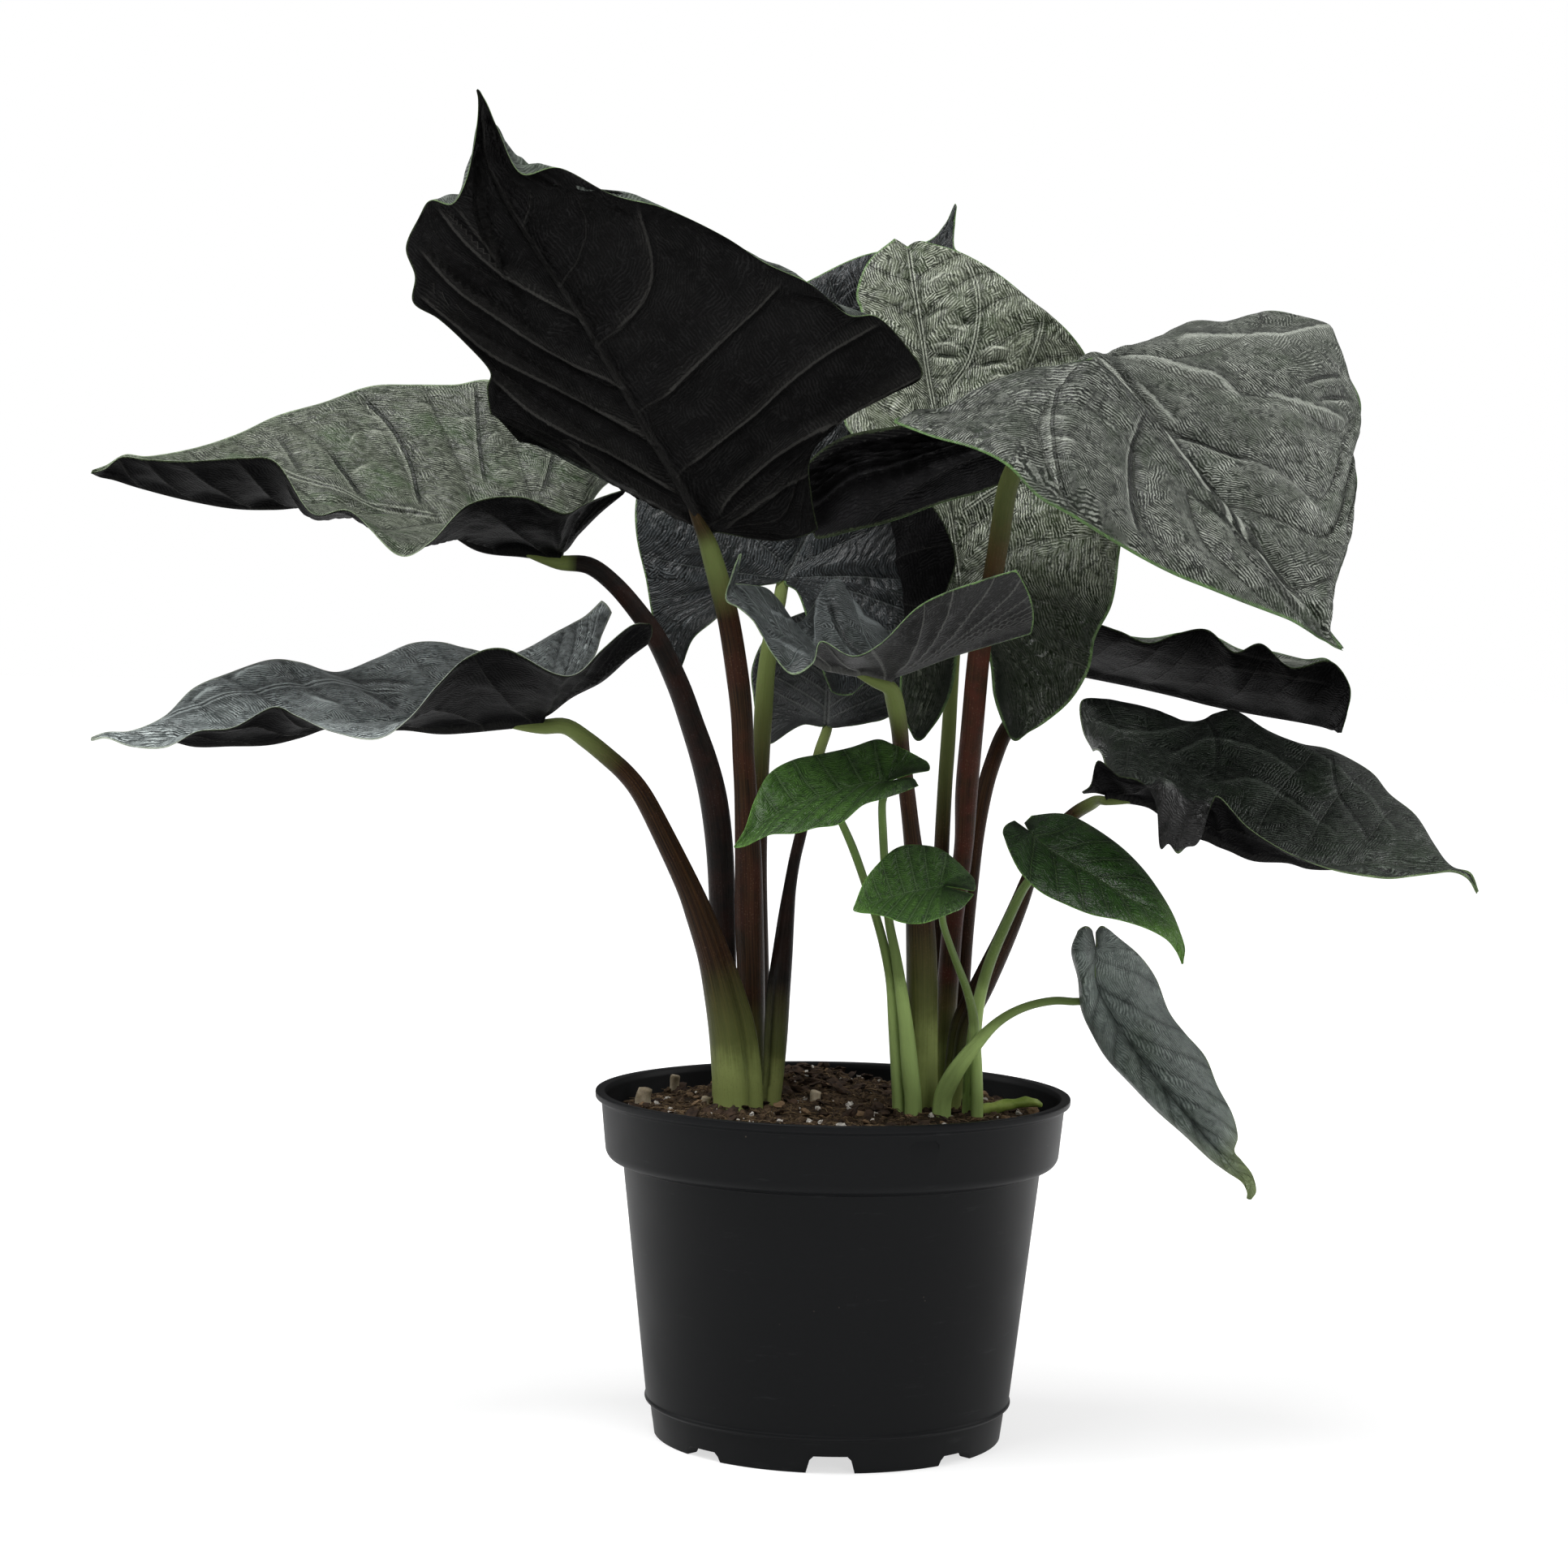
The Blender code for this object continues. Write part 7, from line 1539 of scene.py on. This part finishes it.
def soil_h(x, y):
    """Height of the peat's surface above the table at a place, in mm."""
    r = math.hypot(x - POT_X, y - POT_Y)
    h = 104.6 - 2.6 * max(0.0, (r - 52.0) / 18.0) ** 1.5
    for mx, my, w, a in MOUNDS:
        h += a * math.exp(-((x - mx) ** 2 + (y - my) ** 2) / (w * w))
    h += 1.5 * noise.noise(Vector((x / 13.0, y / 13.0, 3.0))) + 1.2 * noise.noise(Vector((x / 5.0, y / 5.0, 9.0)))
    h += 0.75 * noise.noise(Vector((x / 2.2, y / 2.2, 17.0))) + 0.4 * noise.noise(Vector((x / 1.1, y / 1.1, 5.0)))
    return h


def soil():
    verts, faces = [], []
    nr, ns = 66, 200
    verts.append((POT_X, POT_Y, soil_h(POT_X, POT_Y)))
    for i in range(1, nr + 1):
        r = SOIL_R * i / nr
        for k in range(ns):
            a = 2 * math.pi * (k + 0.5 * (i % 2)) / ns
            x, y = POT_X + r * math.cos(a), POT_Y + r * math.sin(a)
            verts.append((x, y, soil_h(x, y)))
    for k in range(ns):
        faces.append((0, 1 + k, 1 + (k + 1) % ns))
    for i in range(1, nr):
        for k in range(ns):
            a, b = 1 + (i - 1) * ns + k, 1 + (i - 1) * ns + (k + 1) % ns
            faces.append((a, a + ns, b + ns, b))
    # closed underneath, inside the pot
    top = 1 + (nr - 1) * ns
    prof = [(68.0, 90.0), (64.2, 84.0), (55.6, 14.0), (54.5, 6.8)]
    prev = top
    for r, z in prof:
        cur = len(verts)
        for k in range(ns):
            a = 2 * math.pi * (k + 0.5 * (nr % 2)) / ns
            verts.append((POT_X + r * math.cos(a), POT_Y + r * math.sin(a), z))
        for k in range(ns):
            k2 = (k + 1) % ns
            faces.append((prev + k, cur + k, cur + k2, prev + k2))
        prev = cur
    faces.append(tuple(range(prev, prev + ns))[::-1])
    make('peat', verts, faces, [peat_mat('peat_brown', (0.014, 0.009, 0.0055), (0.046, 0.029, 0.0165), (0.100, 0.068, 0.037))],
         replaces=('peat_soil',))


soil()

ICO = None


def ico():
    t = (1 + 5 ** 0.5) / 2
    v = np.array([(-1, t, 0), (1, t, 0), (-1, -t, 0), (1, -t, 0), (0, -1, t), (0, 1, t), (0, -1, -t), (0, 1, -t),
                  (t, 0, -1), (t, 0, 1), (-t, 0, -1), (-t, 0, 1)], float)
    v /= np.linalg.norm(v[0])
    f = [(0, 11, 5), (0, 5, 1), (0, 1, 7), (0, 7, 10), (0, 10, 11), (1, 5, 9), (5, 11, 4), (11, 10, 2), (10, 7, 6), (7, 1, 8),
         (3, 9, 4), (3, 4, 2), (3, 2, 6), (3, 6, 8), (3, 8, 9), (4, 9, 5), (2, 4, 11), (6, 2, 10), (8, 6, 7), (9, 8, 1)]
    return v, f


def ico2():
    v, f = ico()
    v = list(v)
    cache = {}

    def midp(a, b):
        key = (min(a, b), max(a, b))
        if key not in cache:
            m = (v[a] + v[b]) / 2
            v.append(m / np.linalg.norm(m))
            cache[key] = len(v) - 1
        return cache[key]

    out = []
    for a, b, c in f:
        ab, bc, ca = midp(a, b), midp(b, c), midp(c, a)
        out += [(a, ab, ca), (b, bc, ab), (c, ca, bc), (ab, bc, ca)]
    return np.array(v), out


def feet_clear(x, y, r):
    for path in STEMS.values():
        px, py, d, rr = path[0]
        fx, fy, _ = at(px, py, d)
        if math.hypot(x - fx, y - fy) < rr + r - 0.4:
            return False
    return True


def scatter(rnd, count, rmax, dense_rim=0.0):
    out = []
    while len(out) < count:
        a = rnd.uniform(0, 2 * math.pi)
        r = rmax * math.sqrt(rnd.random())
        x, y = POT_X + r * math.cos(a), POT_Y + r * math.sin(a)
        if feet_clear(x, y, 0.5):
            out.append((x, y))
    return out


def lumps(name, seed, count, size, flat, mat, fine, rough, sink=0.4, near=None, lift=0.0):
    rnd = random.Random(seed)
    base_v, base_f = ico2() if fine else ico()
    verts, faces = [], []
    spots = scatter(rnd, count, SOIL_R - size[1] * 0.7)
    if near:
        for (mx, my, w, c) in near:
            for _ in range(c):
                x, y = mx + rnd.gauss(0, w), my + rnd.gauss(0, w)
                if math.hypot(x - POT_X, y - POT_Y) < SOIL_R - 1.5 and feet_clear(x, y, 0.5):
                    spots.append((x, y))
    for x, y in spots:
        s = size[0] + (size[1] - size[0]) * rnd.random() ** 2.2
        rot = Matrix.Rotation(rnd.uniform(0, 6.28), 3, 'Z') @ Matrix.Rotation(rnd.uniform(-0.6, 0.6), 3, 'X') @ Matrix.Rotation(rnd.uniform(-0.6, 0.6), 3, 'Y')
        sc = (rnd.uniform(0.8, 1.3), rnd.uniform(0.6, 1.0), rnd.uniform(*flat))
        o = rnd.uniform(0, 100)
        z = soil_h(x, y) + s * sc[2] * 0.5 * (1 - sink * 2) + lift
        base = len(verts)
        for p in base_v:
            k = 1 + rough * noise.noise(Vector((p[0] * 1.7 + o, p[1] * 1.7, p[2] * 1.7))) + rough * 0.6 * noise.noise(Vector((p[0] * 4 + o, p[1] * 4, p[2] * 4)))
            q = rot @ Vector((p[0] * sc[0] * k, p[1] * sc[1] * k, p[2] * sc[2] * k)) * (s / 2)
            verts.append((x + q.x, y + q.y, z + q.z))
        faces += [tuple(base + i for i in f) for f in base_f]
    return make(name, verts, faces, [mat], smooth=False)


perl = grain_mat('perlite_white', (0.36, 0.33, 0.28), (0.74, 0.71, 0.66), scale=700.0)
crumb = grain_mat('peat_crumb', (0.028, 0.017, 0.010), (0.095, 0.062, 0.034))
dark_bark = grain_mat('bark_dark', (0.016, 0.010, 0.007), (0.060, 0.036, 0.022), scale=300.0)
light_bark = grain_mat('bark_light', (0.120, 0.075, 0.040), (0.230, 0.150, 0.085), scale=300.0)
front_mounds = [(*at(985, 1335, 34)[:2], 9.0, 120), (*at(1060, 1345, 26)[:2], 12.0, 80)]
lumps('peat_crumbs', 11, 2100, (0.8, 3.0), (0.5, 1.0), crumb, False, 0.75, near=front_mounds)
lumps('perlite', 12, 200, (0.7, 2.7), (0.6, 1.0), perl, True, 0.85, sink=0.3, near=[(*at(985, 1335, 34)[:2], 9.0, 14)])
lumps('bark_bits', 13, 230, (1.6, 6.5), (0.18, 0.4), dark_bark, True, 0.6, sink=0.1, near=front_mounds[:1], lift=0.4)
lumps('bark_chips', 14, 90, (1.2, 4.5), (0.2, 0.45), light_bark, True, 0.6, sink=0.1, lift=0.4)


def fibres(name, seed, count, length, rad, mat):
    rnd = random.Random(seed)
    verts, faces = [], []
    for x, y in scatter(rnd, count, SOIL_R - 3.0):
        L = rnd.uniform(*length)
        a = rnd.uniform(0, 6.28)
        bend = rnd.uniform(-0.25, 0.25)
        lift = rnd.uniform(-0.1, 0.5)
        z = soil_h(x, y) + 0.3
        n = 6
        pts = []
        for i in range(n):
            t = i / (n - 1)
            aa = a + bend * i
            px, py = (x, y) if i == 0 else (pts[-1][0] + math.cos(aa) * L / n, pts[-1][1] + math.sin(aa) * L / n)
            if math.hypot(px - POT_X, py - POT_Y) > SOIL_R - 1.0 or not feet_clear(px, py, 0.3):
                break
            pts.append((px, py, max(soil_h(px, py) + 0.2, z) + lift * math.sin(math.pi * t) * 1.2))
        if len(pts) < 3:
            continue
        r = rnd.uniform(*rad)
        base = len(verts)
        m = len(pts)
        for i, p in enumerate(pts):
            rr = r * (1 - 0.6 * i / m)
            for k in range(3):
                b = 2 * math.pi * k / 3
                verts.append((p[0] - math.sin(a) * rr * math.cos(b), p[1] + math.cos(a) * rr * math.cos(b), p[2] + rr * math.sin(b)))
        for i in range(m - 1):
            for k in range(3):
                k2 = (k + 1) % 3
                faces.append((base + i * 3 + k, base + i * 3 + k2, base + (i + 1) * 3 + k2, base + (i + 1) * 3 + k))
        faces.append((base + 2, base + 1, base))
        faces.append((base + 3 * m - 3, base + 3 * m - 2, base + 3 * m - 1))
    make(name, verts, faces, [mat])


fibres('peat_fibres', 21, 1300, (2.0, 8.0), (0.10, 0.28), grain_mat('fibre_brown', (0.075, 0.050, 0.026), (0.21, 0.145, 0.080)))


# old cut stumps in the soil and the cut green piece lying at the right
def rod(name, pts, sides, mat, replaces=(), rough=0.12, seed=5.0):
    q = smooth_path(pts, len(pts) * 5)
    tang = np.gradient(q[:, :3], axis=0)
    tang /= np.linalg.norm(tang, axis=1)[:, None]
    side = np.cross(tang[0], (0.0, 0.3, 1.0))
    side /= np.linalg.norm(side)
    verts, faces = [], []
    for i in range(len(q)):
        side = side - np.dot(side, tang[i]) * tang[i]
        side /= np.linalg.norm(side)
        up = np.cross(tang[i], side)
        for k in range(sides):
            a = 2 * math.pi * k / sides
            d = math.cos(a) * side + math.sin(a) * up
            r = q[i, 3] * (1 + rough * noise.noise(Vector(tuple(d * 1.3 + q[i, :3] * 0.25 + seed))))
            verts.append(q[i, :3] + r * d)
    for i in range(len(q) - 1):
        for k in range(sides):
            k2 = (k + 1) % sides
            a, b = i * sides + k, i * sides + k2
            faces.append((a, b, b + sides, a + sides))
    faces.append(tuple(range(sides))[::-1])
    faces.append(tuple(range((len(q) - 1) * sides, len(q) * sides)))
    return make(name, verts, faces, [mat], replaces=replaces)


green_bit = grain_mat('cut_green', (0.14, 0.21, 0.03), (0.27, 0.34, 0.08), rough=0.5, scale=160.0)
stub = [(*at(px, py, d), r) for px, py, d, r in STUB]
stub = [(x, y, max(z, SOIL_Z + r + 0.6), r) for x, y, z, r in stub]
rod('cut_stalk', stub, 14, green_bit, replaces=('cut_stalk_piece',), rough=0.35)
old = grain_mat('old_stump', (0.20, 0.16, 0.10), (0.42, 0.36, 0.26), scale=260.0)
for i, (px, py, d, r, hgt) in enumerate([(792, 1350, 4, 2.6, 5.0), (829, 1352, 30, 1.6, 5.5), (868, 1362, -6, 1.6, 3.0), (1003, 1352, 8, 1.8, 3.0)]):
    x, y, _ = at(px, py, d)
    z = soil_h(x, y)
    rod('old_stump_%d' % (i + 1), [(x, y, z - 3, r * 1.1), (x + 0.3, y, z + hgt * 0.3, r), (x + 0.8, y - 0.3, z + hgt, r * 0.85)], 12, old, rough=0.4, seed=i * 3.0)

# ---------------------------------------------------------------- floor, light, camera
def floor():
    """White sweep: it glows on its own, weaker near the pot, which paints shade around the pot, and takes a soft
    contact shadow near it.
    """
    m, nt, b = new_mat('pale_floor', Roughness=0.9, Specular=0.05)
    n = noi(nt, place(nt), 4.0, 2.0)
    c = mixc(nt, n, (0.40, 0.40, 0.40), (0.42, 0.42, 0.42))
    nt.links.new(c, b.inputs['Base Color'])
    far = nt.nodes.new('ShaderNodeVectorMath')
    far.operation = 'LENGTH'
    nt.links.new(place(nt), far.inputs[0])
    glow_with_painted_shade = rng(nt, far.outputs['Value'], 0.12, 0.55)
    g = mixc(nt, glow_with_painted_shade, (0.66, 0.66, 0.66), (1.0, 1.0, 1.0))
    nt.links.new(g, b.inputs['Emission Color'])
    b.inputs['Emission Strength'].default_value = 1.0
    me = bpy.data.meshes.new('floor')
    s = 12.0
    me.from_pydata([(-s, -s, 0), (s, -s, 0), (s, s, 0), (-s, s, 0)], [], [(0, 1, 2, 3)])
    me.materials.append(m)
    ob = bpy.data.objects.new('floor', me)
    bpy.context.scene.collection.objects.link(ob)


floor()


def area(name, loc, target, size, power, colour=(1, 1, 1)):
    l = bpy.data.lights.new(name, 'AREA')
    l.shape = 'RECTANGLE'
    l.size, l.size_y = size
    l.energy = power
    l.color = colour
    o = bpy.data.objects.new(name, l)
    o.location = loc
    d = Vector(target) - Vector(loc)
    o.rotation_mode = 'QUATERNION'
    o.rotation_quaternion = d.to_track_quat('-Z', 'Y')
    bpy.context.scene.collection.objects.link(o)
    return o


area('key_top', (-0.30, -0.35, 1.5), (0, 0, 0.2), (0.8, 0.8), 24.0)
area('fill_front', (0.7, -1.6, 0.8), (0, 0, 0.2), (0.7, 0.7), 7.0)
area('rim_right', (1.3, 0.3, 0.9), (0, 0, 0.2), (0.5, 1.2), 9.0)
area('rim_left', (-1.3, 0.2, 0.9), (0, 0, 0.2), (0.5, 1.2), 9.0)

world = bpy.data.worlds.new('studio')
bpy.context.scene.world = world
world.use_nodes = True
wn = world.node_tree
bg = wn.nodes['Background']
out = [n for n in wn.nodes if n.type == 'OUTPUT_WORLD'][0]
# soft room light: bright overhead, dim low down; the backdrop itself is white
geo = wn.nodes.new('ShaderNodeTexCoord')
sep = wn.nodes.new('ShaderNodeSeparateXYZ')
wn.links.new(geo.outputs['Generated'], sep.inputs[0])
f = rng(wn, sep.outputs['Z'], -0.2, 0.9)
room = mixc(wn, f, (0.06, 0.06, 0.06), (0.8, 0.8, 0.8))
wn.links.new(room, bg.inputs['Color'])
bg.inputs['Strength'].default_value = 0.45
bg2 = wn.nodes.new('ShaderNodeBackground')
bg2.inputs['Color'].default_value = (1, 1, 1, 1)
bg2.inputs['Strength'].default_value = 1.0
lp = wn.nodes.new('ShaderNodeLightPath')
mx = wn.nodes.new('ShaderNodeMixShader')
wn.links.new(lp.outputs['Is Camera Ray'], mx.inputs[0])
wn.links.new(bg.outputs[0], mx.inputs[1])
wn.links.new(bg2.outputs[0], mx.inputs[2])
wn.links.new(mx.outputs[0], out.inputs['Surface'])

vs = bpy.context.scene.view_settings
vs.view_transform = 'Standard'
vs.look = 'None'

cam = bpy.data.cameras.new('camera')
cam.sensor_width = 36.0
cam.lens = 36.0 * FOCAL / 1932.0
cam.clip_start, cam.clip_end = 0.05, 50.0
co = bpy.data.objects.new('camera', cam)
F = Vector((0, math.cos(PITCH), -math.sin(PITCH)))
U = Vector((0, math.sin(PITCH), math.cos(PITCH)))
R = Vector((1, 0, 0))
cr = R * math.cos(ROLL) + U * math.sin(ROLL)
cu = -R * math.sin(ROLL) + U * math.cos(ROLL)
mat = Matrix((cr, cu, -F)).transposed().to_4x4()
mat.translation = Vector(((VIEW_X - ORIGIN_X) * MM, (VIEW_Y - ORIGIN_Y) * MM, (VIEW_Z - POT_BASE_Z) * MM))
co.matrix_world = mat
bpy.context.scene.collection.objects.link(co)
bpy.context.scene.camera = co
